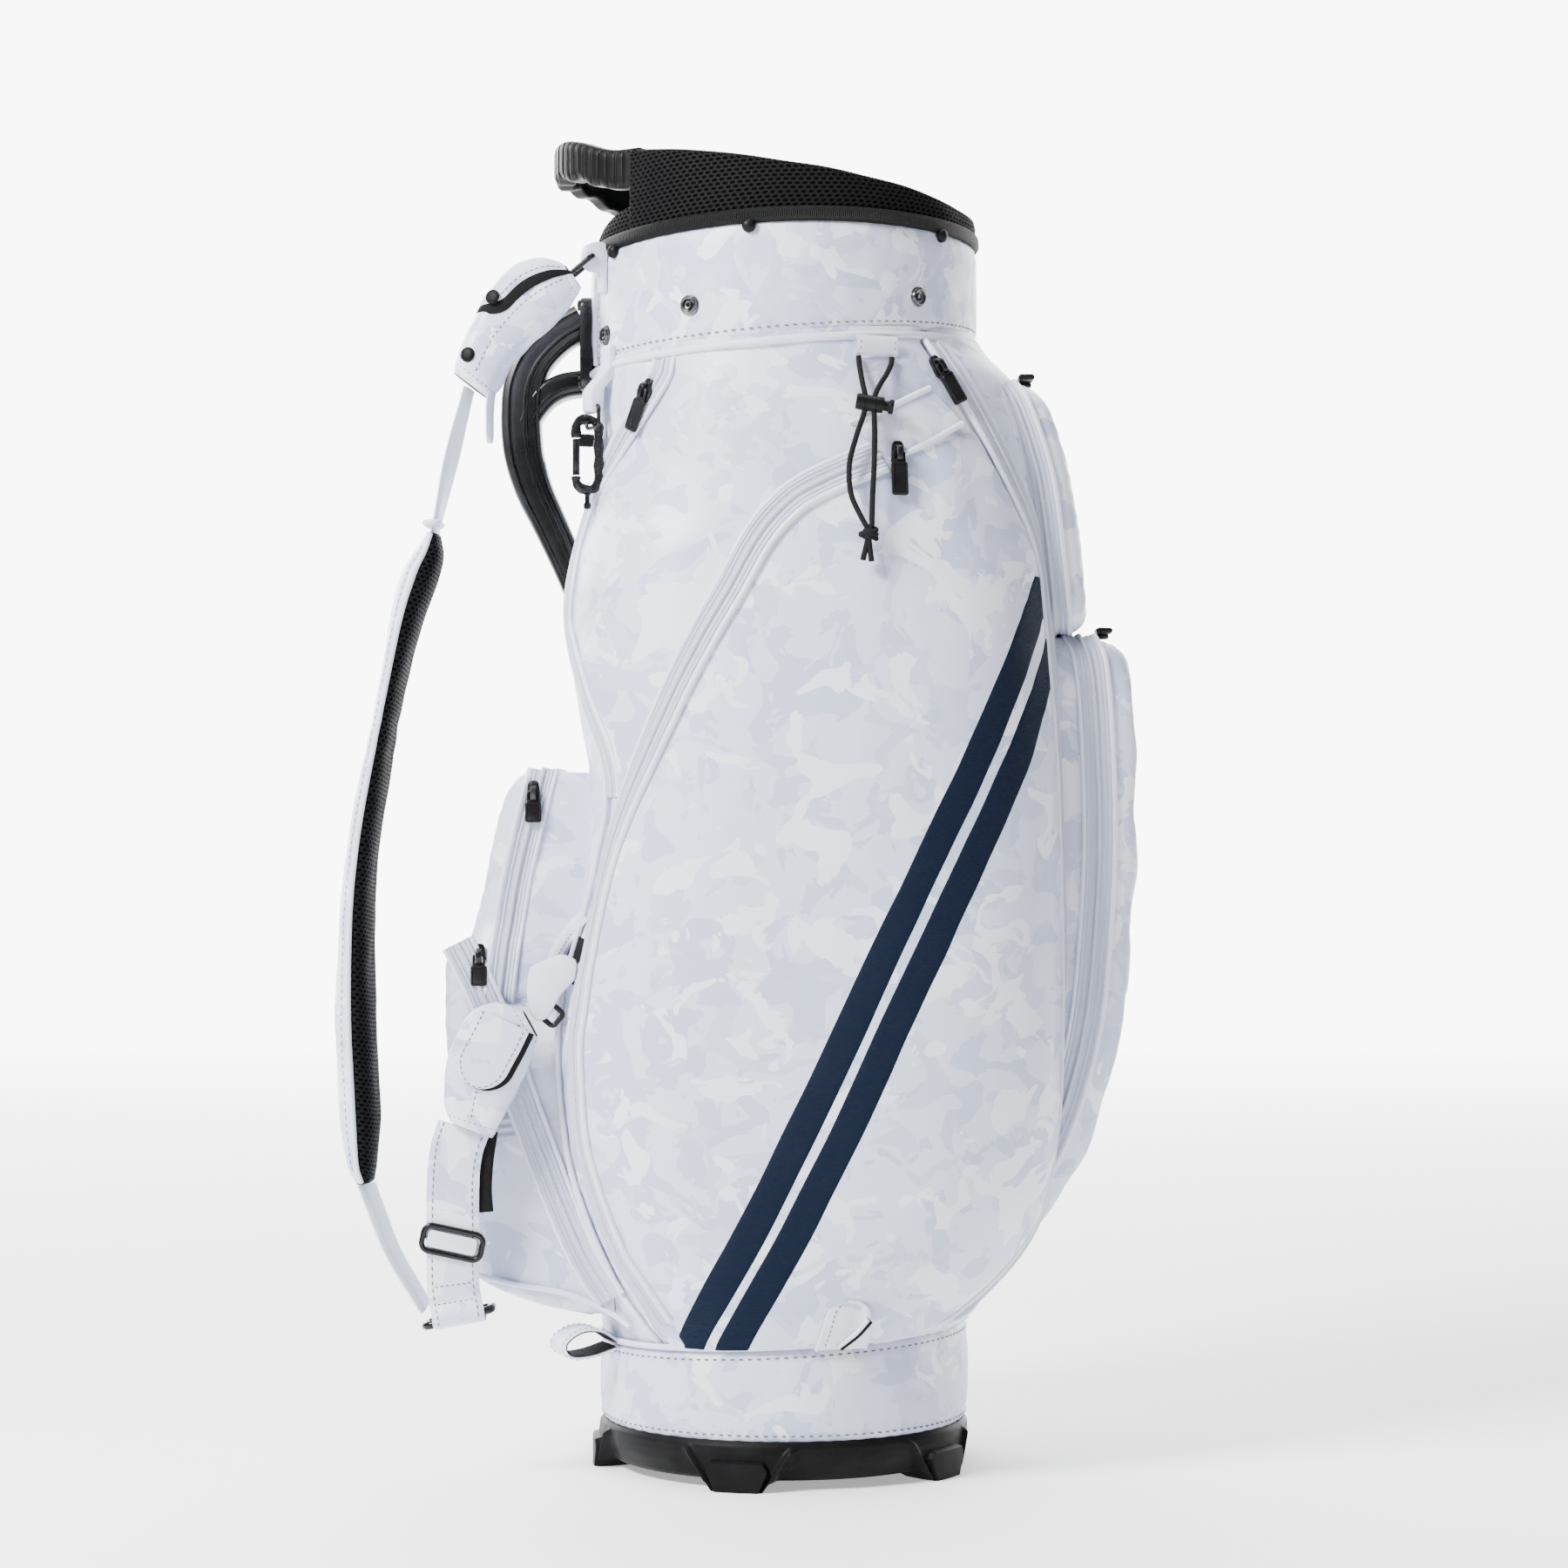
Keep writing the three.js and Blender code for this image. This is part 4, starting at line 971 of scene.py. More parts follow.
@dataclass
class Maker:
    """Makes the objects of one sub-assembly and dresses them."""

    body: str = "bag"
    slot: str = "padded_cover"

    def piece(
        self,
        name: str,
        part: MeshPart,
        finish: Finish,
        nodes: Sequence[str] = (),
        body: Optional[str] = None,
        slot: Optional[str] = None,
        smooth: float = 40.0,
    ) -> bpy.types.Object:
        """Makes one object.

        Args:
            name: Its name.
            part: Its points and faces, in millimetres.
            finish: Its finish.
            nodes: CAD nodes that it replaces.
            body: CAD body that it rides on, if not the maker's own.
            slot: The record's material slot, if not the maker's own. Not used.
            smooth: Faces that meet at less than this angle, in degrees, are shaded as one.

        Returns:
            The object.
        """
        mesh = bpy.data.meshes.new(name)
        mesh.from_pydata((part.points * MM).tolist(), [], part.faces)
        if part.cloth is not None:
            layer = mesh.uv_layers.new(name="cloth")
            corners = np.zeros(len(mesh.loops), np.int32)
            mesh.loops.foreach_get("vertex_index", corners)
            layer.data.foreach_set("uv", part.cloth[corners].astype(np.float32).ravel())
        mesh.validate()
        mesh.shade_smooth()
        mesh.set_sharp_from_angle(angle=math.radians(smooth))
        mesh.materials.append(finish.material())
        thing = bpy.data.objects.new(name, mesh)
        bpy.context.scene.collection.objects.link(thing)
        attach(thing, body or self.body)
        if nodes:
            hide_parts(*nodes)
        return thing

    def moving(
        self, name: str, part: MeshPart, finish: Finish, node: str, slot: str, smooth: float = 40.0
    ) -> bpy.types.Object:
        """Makes a piece that replaces a CAD node and rides on the body of the same name."""
        return self.piece(name, part, finish, [node], body=node, slot=slot, smooth=smooth)

    def both(
        self, name: str, part: MeshPart, finish: Finish, nodes: Sequence[str] = (), slot: Optional[str] = None
    ) -> None:
        """Makes a piece on the near side and its mirror image on the far side; names and nodes lack the side."""
        for side, shape in (("near_", part), ("far_", mirrored(part))):
            self.piece(side + name, shape, finish, [side + node for node in nodes], slot=slot)


# ---------------------------------------------------------------------------------------- the body


@dataclass(frozen=True)
class BodyForm:
    """The padded body's outer surface, close to the solids'."""

    base_height: float = 88.3
    base_slope: float = 0.05
    cuff_height: float = 706.0
    cuff_slope: float = 0.085
    front: Profile = Profile(
        (
            (88, 116.5), (106, 127), (134, 150), (162, 164), (190, 170), (266, 178), (434, 177),
            (535, 173), (580, 169), (624, 165), (660, 159), (689, 148), (705, 132), (718, 122.5),
        )
    )
    spine: Profile = Profile(
        (
            (88, 116), (118, 121), (146, 130), (193, 139), (226, 143), (266, 146), (300, 143), (322, 138),
            (378, 127), (434, 123), (490, 132), (546, 139), (577, 134), (624, 122), (660, 120), (718, 122),
        )
    )
    side: Profile = Profile(((88, 116), (130, 126), (200, 136), (300, 141), (500, 139), (600, 131), (706, 122)))
    square: Profile = Profile(((88, 2), (150, 2.6), (220, 3), (450, 3), (560, 2.6), (640, 2.3), (706, 2)))
    leaf_front: Profile = Profile(
        (
            (88, 54), (98, 97), (143, 147), (187, 166), (266, 172), (434, 169), (535, 161), (580, 155),
            (624, 135), (675, 107), (706, 88),
        )
    )
    leaf_spine: Profile = Profile(
        (
            (88, -79), (100, -88), (115, -99), (141, -112.5), (166, -123), (193, -132), (224, -137), (266, -140),
            (300, -137), (322, -132), (378, -117), (434, -109), (490, -126), (546, -136), (624, -117), (690, -80),
        )
    )
    zip_line: Profile = Profile(
        (
            (88, -73), (100, -80), (119, -91), (141, -104), (170, -115), (204, -124.5), (226, -127.5), (250, -129),
            (273, -129.5), (300, -126), (326, -121.5), (406, -104), (486, -74.6), (549, -42.6), (613, 0), (650, 75),
        )
    )

    def radius(self, angle: Number, z: Number) -> Number:
        """Distance of the surface from the tube's axis.

        Args:
            angle: Angle round the bag.
            z: Height.

        Returns:
            The distance.
        """
        forward = np.cos(angle)
        reach = np.where(forward > 0, self.front(z), self.spine(z))
        power = self.square(z)
        along = (np.abs(forward) / reach) ** power
        across = (np.abs(np.sin(angle)) / self.side(z)) ** power
        return (along + across) ** (-1 / power)

    def point(self, angle: Number, z: Number, lift: Number = 0.0) -> Points:
        """A point at a distance out from the surface, or an array of them."""
        r = self.radius(angle, z) + lift
        return np.stack(np.broadcast_arrays(r * np.cos(angle), -r * np.sin(angle), z), axis=-1)

    def normal(self, angle: Number, z: Number) -> Points:
        """The surface's outward direction.

        Args:
            angle: Angle round the bag.
            z: Height.

        Returns:
            Array whose last axis holds x, y and z.
        """
        here = self.point(angle, z)
        aside = self.point(np.asarray(angle) + 0.01, z) - here
        above = self.point(angle, np.asarray(z) + 1.0) - here
        return unit(np.cross(above, aside))

    def angle_at(self, x: Number, z: Number) -> Number:
        """The near side angle at which the surface has the given x.

        Args:
            x: Place along the bag's depth.
            z: Height.

        Returns:
            The angle.
        """
        x, z = np.broadcast_arrays(np.asarray(x, float), np.asarray(z, float))
        low, high = np.zeros(x.shape), np.full(x.shape, np.pi)
        for _ in range(34):
            middle = (low + high) / 2
            beyond = self.radius(middle, z) * np.cos(middle) > x
            low, high = np.where(beyond, middle, low), np.where(beyond, high, middle)
        return (low + high) / 2

    def base_seam(self, angle: Number) -> Number:
        """Height of the seam over the base cuff at an angle."""
        return self.base_height + self.base_slope * TUBE_RADIUS * np.cos(angle)

    def cuff_seam(self, angle: Number) -> Number:
        """Height of the seam under the top cuff at an angle."""
        return self.cuff_height + self.cuff_slope * TUBE_RADIUS * np.cos(angle)


FORM = BodyForm()


@dataclass
class EdgeLine:
    """A line drawn on the near side in x and z, as angles kept in a table over height."""

    edge: Profile
    heights: Points = field(init=False)
    angles: Points = field(init=False)

    def __post_init__(self) -> None:
        """Fills the table."""
        self.heights = np.linspace(60.0, 735.0, 451)
        self.angles = FORM.angle_at(self.edge(self.heights), self.heights)

    def __call__(self, z: Number) -> Number:
        """The line's angle at a height."""
        return np.interp(z, self.heights, self.angles)


LEAF_FRONT = EdgeLine(FORM.leaf_front)
LEAF_SPINE = EdgeLine(FORM.leaf_spine)
ZIP_LINE = EdgeLine(FORM.zip_line)


def waves(points: Points, size: float, seed: int, count: int = 9) -> Points:
    """Smooth random hills and dips: the scaled sum of sine waves in random directions.

    Args:
        points: Where to read them.
        size: Typical distance from hill to hill.
        seed: Chooses the hills.
        count: How many waves are added.

    Returns:
        Heights of about -1 to 1.
    """
    chance = np.random.default_rng(seed)
    ways = unit(chance.normal(size=(count, 3))) * chance.uniform(0.7, 1.5, (count, 1)) * 2 * np.pi / size
    phases = chance.uniform(0, 2 * np.pi, count)
    return np.sin(points @ ways.T + phases).sum(axis=-1) / math.sqrt(count) * 0.75


def eased(count: int, share: float = 0.6) -> Points:
    """Numbers from 0 to 1 that lie closer together at both ends, fully so at share 1."""
    t = np.linspace(0, 1, count)
    return mix(t, 0.5 - 0.5 * np.cos(np.pi * t), share)


def beside(angles: Points, heights: Points, offsets: Points) -> tuple[Points, Points]:
    """Lines beside a line on the body, at true distances on its surface.

    Args:
        angles: The line's angles.
        heights: The line's heights.
        offsets: Distances, positive to the right of someone who walks the line outside the bag.

    Returns:
        Angles and heights, an array of line points x offsets for each.
    """
    here = FORM.point(angles, heights)
    aside = np.cross(tangents(here), FORM.normal(angles, heights))
    spots = here[:, None, :] + unit(aside)[:, None, :] * offsets[None, :, None]
    return np.arctan2(-spots[..., 1], spots[..., 0]), spots[..., 2]


Lift = Callable[[Points, Points], Points]


def tucked(height: float) -> Lift:
    """A distance from the body that sinks away under the top cuff and the base cuff.

    Args:
        height: The distance between them.

    Returns:
        A function of angle and height.
    """

    def lift(angle: Points, z: Points) -> Points:
        """The distance at a place."""
        low = 1 - smooth_step(z - FORM.base_seam(angle), 0.0, 9.0)
        high = smooth_step(z - FORM.cuff_seam(angle), -9.0, 0.0)
        return height - 5.0 * low - 4.0 * high

    return lift


def band(angles: Points, heights: Points, offsets: Points, relief: Points, lift: Lift) -> MeshPart:
    """A strip that lies on the body along a line, with a relief across it and a lift below it."""
    turn, z = beside(angles, heights, offsets)
    return from_axis(grid_part(FORM.point(turn, z, lift(turn, z) + relief[None, :])))


def line_on(angles: Points, heights: Points, offset: float, lift: Lift, count: int) -> Points:
    """Evenly spread points on a line that runs at an offset beside a line on the body."""
    turn, z = beside(angles, heights, np.array([offset]))
    return even_path(FORM.point(turn[:, 0], z[:, 0], lift(turn[:, 0], z[:, 0])), count)


ZIP_OFFSETS = np.linspace(-8.0, 8.0, 41)


def zip_relief(across: Points) -> Points:
    """Height of a sewn-in zip: a sunken edge, a folded ridge, a thin ridge and the tape at the middle."""
    reach = np.abs(across)
    folds = 1.5 * bump(reach, 6.3, 0.95) + 1.0 * bump(reach, 4.0, 0.7)
    return 0.9 + folds - 3.2 * smooth_step(reach, 7.1, 8.0)


# ----------------------------------------------------------------------------------- studio and cord


@dataclass
class Studio:
    """Camera, lights and the pale floor."""

    camera_place: tuple[float, float, float] = (0.0, -2.400, 0.4088)
    lens: float = 85.7
    pitch: float = 0.60
    floor_size: float = 14.0
    room_light: float = 0.13
    wall_light: float = 9.0

    def build(self) -> None:
        """Sets up the whole studio."""
        scene = bpy.context.scene
        camera = bpy.data.objects.new("camera", bpy.data.cameras.new("camera"))
        scene.collection.objects.link(camera)
        camera.data.lens = self.lens
        camera.data.sensor_width = 36.0
        camera.data.clip_end = 50.0
        camera.location = self.camera_place
        camera.rotation_euler = (math.radians(90 + self.pitch), 0, 0)
        scene.camera = camera
        self.world()
        self.lamp("key", (-1.45, -1.35, 1.95), 0.75, 182.0)
        self.lamp("fill", (2.4, -2.0, 1.2), 1.6, 3.0)
        self.lamp("top", (0.0, 0.2, 3.0), 1.6, 80.0)
        self.lamp("rim", (-1.8, 2.0, 1.6), 1.2, 50.0)
        self.floor()

    def world(self) -> None:
        """Makes the surroundings: a dim room with a bright white wall behind the bag."""
        world = bpy.data.worlds.new("studio")
        world.use_nodes = True
        nodes, links = world.node_tree.nodes, world.node_tree.links
        way = nodes.new("ShaderNodeTexCoord")
        split = nodes.new("ShaderNodeSeparateXYZ")
        links.new(way.outputs["Generated"], split.inputs[0])
        wall = nodes.new("ShaderNodeMapRange")
        wall.interpolation_type = "SMOOTHSTEP"
        for name, value in (
            ("From Min", 0.45), ("From Max", 0.86), ("To Min", self.room_light), ("To Max", self.wall_light)
        ):
            wall.inputs[name].default_value = value
        links.new(split.outputs[1], wall.inputs["Value"])
        background = nodes["Background"]
        background.inputs[0].default_value = (1.0, 1.0, 1.0, 1.0)
        links.new(wall.outputs[0], background.inputs[1])
        bpy.context.scene.world = world

    def lamp(self, name: str, place: tuple[float, float, float], size: float, power: float) -> None:
        """Adds a soft square lamp that looks at the bag.

        Args:
            name: Its name.
            place: Where it hangs.
            size: Its side.
            power: Its power in watts.
        """
        light = bpy.data.lights.new(name, "AREA")
        light.size = size
        light.energy = power
        lamp = bpy.data.objects.new(name, light)
        lamp.location = place
        way = np.array([0.0, 0.0, 0.42]) - np.array(place)
        lamp.rotation_euler = (math.acos(-way[2] / np.linalg.norm(way)), 0, math.atan2(way[1], way[0]) - math.pi / 2)
        bpy.context.scene.collection.objects.link(lamp)

    def floor(self) -> None:
        """Makes the floor, far wider than the view. It glows, faintly near the bag and as bright as the wall far behind
        it: painted light.
        """
        half = self.floor_size / 2
        mesh = bpy.data.meshes.new("floor")
        mesh.from_pydata([(-half, -half, 0), (half, -half, 0), (half, half, 0), (-half, half, 0)], [], [(0, 1, 2, 3)])
        tree = Tree("floor_paper")
        fibre = tree.noise(tree.place(), 60.0, 3.0)
        color = tree.blend(tree.ramp(fibre, 0.3, 0.7), (0.92, 0.92, 0.925, 1.0), (0.95, 0.95, 0.95, 1.0))
        place = tree.add("ShaderNodeSeparateXYZ", {0: tree.place()})
        reach = tree.ramp(place.outputs[1], 0.1, 4.5, 0.0, 1.0)
        # Painted light: the floor's own glow rises with distance behind the bag and also lights the bag from below.
        painted_floor_glow = tree.math("ADD", tree.math("MULTIPLY", tree.math("POWER", reach, 1.5), self.wall_light - 1.6), 0.5)
        mesh.materials.append(
            tree.finish(Base_Color=color, Roughness=0.9, Emission_Color=color, Emission_Strength=painted_floor_glow)
        )
        floor = bpy.data.objects.new("floor", mesh)
        bpy.context.scene.collection.objects.link(floor)
        floor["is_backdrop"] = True


Point3 = tuple[float, float, float]


@dataclass
class ElasticCord(Maker):
    """The elastic cord under the near cuff: a tab, two strands, a cord lock and a knot with two tails."""

    diameter: float = 3.4
    left: tuple[Point3, ...] = (
        (45.6, -121.8, 694.2), (45.8, -123, 690), (46.8, -126, 683), (48, -130, 676), (49.4, -132.6, 668),
        (48.6, -134.5, 658), (44, -138, 644), (39.6, -142.5, 626), (40.5, -145.5, 608), (46, -147, 595),
        (49.2, -147.4, 589),
    )
    right: tuple[Point3, ...] = (
        (66.2, -113.8, 694.2), (65.6, -115.4, 690), (62.6, -120.6, 683), (58.5, -127.5, 676), (55.2, -131.8, 668),
        (54.8, -134, 658), (55, -137.6, 644), (54.6, -141.6, 626), (53.6, -145, 608), (53.2, -146.9, 595),
        (53, -147.4, 589),
    )
    knot_at: Point3 = (51.1, -147.6, 583.5)
    tails: tuple[Point3, ...] = ((47.6, -148.6, 567.6), (52.8, -148.9, 566.8))
    lock_at: Point3 = (52.3, -133.2, 664.0)
    tab_degrees: float = 64.0
    tab_middle: float = 701.4
    tab_half: float = 14.3
    tab_height: float = 12.6

    def build(self) -> None:
        """Makes the cords, the tab, the lock and the knot."""
        knot = self.knot()
        for name, route, tail, node in (
            ("cord_left", self.left, self.tails[0], "cord_strand_left"),
            ("cord_right", self.right, self.tails[1], "cord_strand_right"),
        ):
            line = smooth_path([*route, self.knot_at, tail], 72)
            strand = self.piece(name, tube(line, self.diameter / 2, 12), Finish.ELASTIC, [node], slot="elastic")
        self.tab()
        self.lock()

    def knot(self) -> bpy.types.Object:
        """An overhand knot: a cord wound twice round the strands, with a crossing turn."""
        turn = np.linspace(0, 1, 90)
        angle = turn * 2 * np.pi * 2.25
        rise = 6.0 * (turn - 0.5) + 1.6 * np.sin(angle * 0.5)
        loop = np.stack([4.6 * np.cos(angle), 2.9 * np.sin(angle), rise], axis=1) + np.array(self.knot_at)
        core = placed(lathe([(0, -4), (3.4, -3), (4.2, 0), (3.4, 3), (0, 4)], 16), self.knot_at, (1, 0, 0), (0, 0, 1))
        part = join_parts([tube(loop, self.diameter / 2 * 0.95, 10), core])
        return self.piece("cord_knot_turns", part, Finish.ELASTIC, ["cord_knot"], slot="elastic")

    def tab(self) -> None:
        """The leather tab that holds both strands under the cuff's seam, with the bead of cord in it."""
        angle = math.radians(self.tab_degrees)
        out = np.array([math.cos(angle), -math.sin(angle), 0.0])
        along = np.array([math.sin(angle), math.cos(angle), 0.0])
        reach = float(FORM.radius(angle, 695.5)) + 1.2
        turn = np.linspace(-0.5, 0.5, 25)
        across = np.linspace(-self.tab_half, self.tab_half, 21)
        bulge = 3.6 * np.cos(np.pi * turn) ** 0.6
        face = (
            out[None, None, :] * (
                reach + 0.2 + bulge[:, None, None] * (1 - 0.12 * (np.abs(across[None, :, None]) / self.tab_half) ** 6)
            )
            + along[None, None, :] * across[None, :, None]
            + np.array([0, 0, 1.0]) * (self.tab_middle + turn[:, None, None] * self.tab_height)
        )
        self.piece("cord_tab_leather", from_axis(grid_part(face)), Finish.LEATHER, ["cord_tab"], slot="white_leather")
        rows = []
        for side in (-11.6, 11.6):
            line = out * (reach + 3.75) + along * side + np.array([0, 0, 1.0]) * np.linspace(697.6, 705.2, 8)[:, None]
            rows.append(stitch_row(line, alike(out, 8), 2.6, 1.8, 0.6))
        self.piece("cord_tab_stitches", join_parts(rows), Finish.THREAD, slot="white_leather")

    def lock(self) -> None:
        """The cord lock: a ridged barrel with a press button at its right end."""
        tilt_y, tilt_x = 0.17, -0.24
        way = np.array([math.cos(tilt_y), 0.0, -math.sin(tilt_y)])
        face = np.array([0.0, -math.cos(tilt_x), math.sin(tilt_x)])
        barrel = [(0, -8.6), (4.3, -8.6), (4.9, -8.0), (5.0, -3.2), (4.6, -3.0), (4.6, -2.4), (5.0, -2.2), (5.0, 3.6)]
        barrel += [(4.7, 3.8), (4.7, 4.3), (5.0, 4.5), (5.0, 7.6), (4.6, 8.4), (3.5, 8.5), (3.4, 7.0), (0, 7.0)]
        shell = placed(lathe(barrel, 28), self.lock_at, face, way)
        self.moving("cord_lock_barrel", shell, Finish.PLASTIC, "cord_lock", "black_plastic")
        knob = [(0, 6.9), (3.2, 6.9), (3.3, 11.4), (4.3, 11.8), (4.6, 12.6), (4.6, 13.8), (4.1, 14.6), (0, 14.7)]
        button = placed(lathe(knob, 28), self.lock_at, face, way)
        self.moving("cord_lock_knob", button, Finish.PLASTIC, "cord_lock_button", "black_plastic")


# -------------------------------------------------------------------------------- panels and pockets


@dataclass
class PaddedBody(Maker):
    """The padded cover: near and far side panels, front and back, with piping and the long zips."""

    rows: int = 210
    columns: int = 100
    height: float = 610.0
    cushion: float = 1.1
    edge_sink: float = 3.4
    end_sink: float = 2.4
    piping: float = 2.1
    side_zip: tuple[float, float] = (706.0, 425.0)
    front_zip: tuple[float, float] = (708.0, 86.0)

    def build(self) -> None:
        """Makes the four panels and everything sewn along their edges."""
        self.both("side_cover", self.panel(LEAF_FRONT, LEAF_SPINE, 11), Finish.CAMO, ["side_panel"])
        front = self.panel(lambda z: -LEAF_FRONT(z), LEAF_FRONT, 23)
        self.piece("front_cover", front, Finish.CAMO, ["front_panel"])
        back = self.panel(LEAF_SPINE, lambda z: 2 * np.pi - LEAF_SPINE(z), 37)
        self.piece("back_cover", back, Finish.CAMO, ["back_panel"])
        self.edges()

    def panel(self, first: Callable, last: Callable, seed: int) -> MeshPart:
        """A panel between two upright edges and the seams over the base and under the top cuff.

        It stands off the body by a low cushion's height, sinks at its edges and carries soft waves.

        Args:
            first: Angle of one edge at each height.
            last: Angle of the other.
            seed: Chooses the waves.

        Returns:
            The part.
        """
        across = eased(self.columns)[None, :]
        up = eased(self.rows, 0.45)[:, None]
        z = mix(90.0, 706.0, up) + 0 * across
        for _ in range(5):
            angle = mix(first(z), last(z), across)
            z = mix(FORM.base_seam(angle) - 1.0, FORM.cuff_seam(angle) + 4.0, up)
        width = np.abs(last(z) - first(z)) * FORM.radius(angle, z)
        side = np.minimum(across, 1 - across) * width
        end = up * self.height
        flat = FORM.point(angle, z)
        pull = np.exp(-side / 11.0) * smooth_step(side, 1.5, 6.0)
        puckers = 0.45 * pull * np.sin(z / 2.9 + 3.0 * waves(flat, 60, seed))
        soft = 0.9 * waves(flat, 95.0, seed + 1) + 0.35 * waves(flat, 38.0, seed + 2)
        lift = self.cushion * (1 - np.exp(-side / 9.0)) + soft * smooth_step(side, 3.0, 20.0) + puckers
        lift = lift - self.edge_sink * bump(side, 0.0, 3.4) - self.end_sink * bump(end, 0.0, 4.0) - 0.4
        return from_axis(grid_part(FORM.point(angle, z, lift)))

    def edges(self) -> None:
        """Sews piping and zips along the side panels' edges, on both sides of the bag."""
        z = np.linspace(86.0, 708.0, 240)
        low = np.linspace(self.front_zip[1], self.front_zip[0], 240)
        spine_z = np.linspace(self.side_zip[1], self.side_zip[0], 140)
        lay = tucked(1.3)
        cords = {
            "spine_piping": tube(line_on(LEAF_SPINE(z), z, 0.0, lay, 230), self.piping, 10),
            "front_piping": tube(line_on(LEAF_FRONT(z), z, 0.0, lay, 230), self.piping, 10),
            "spine_zip_piping": tube(line_on(LEAF_SPINE(spine_z), spine_z, 15.5, lay, 110), self.piping * 0.8, 10),
            "front_zip_welt": tube(line_on(LEAF_FRONT(low), low, 16.5, tucked(1.0), 220), 1.4, 8),
        }
        for name, part in cords.items():
            self.both(name, part, Finish.LEATHER, slot="white_leather")
        tape = zip_relief(ZIP_OFFSETS)
        for name, line, heights, center in (
            ("spine_zip", LEAF_SPINE, spine_z, 7.8),
            ("front_zip", LEAF_FRONT, low, 8.6),
        ):
            strip = band(line(heights), heights, ZIP_OFFSETS * 0.93 + center, tape, tucked(0.5))
            self.both(name + "_tape", strip, Finish.WHITE_TAPE)
            coil = tube(line_on(line(heights), heights, center, tucked(1.7), 260), 1.35, 8)
            self.both(name + "_coil", coil, Finish.COIL)


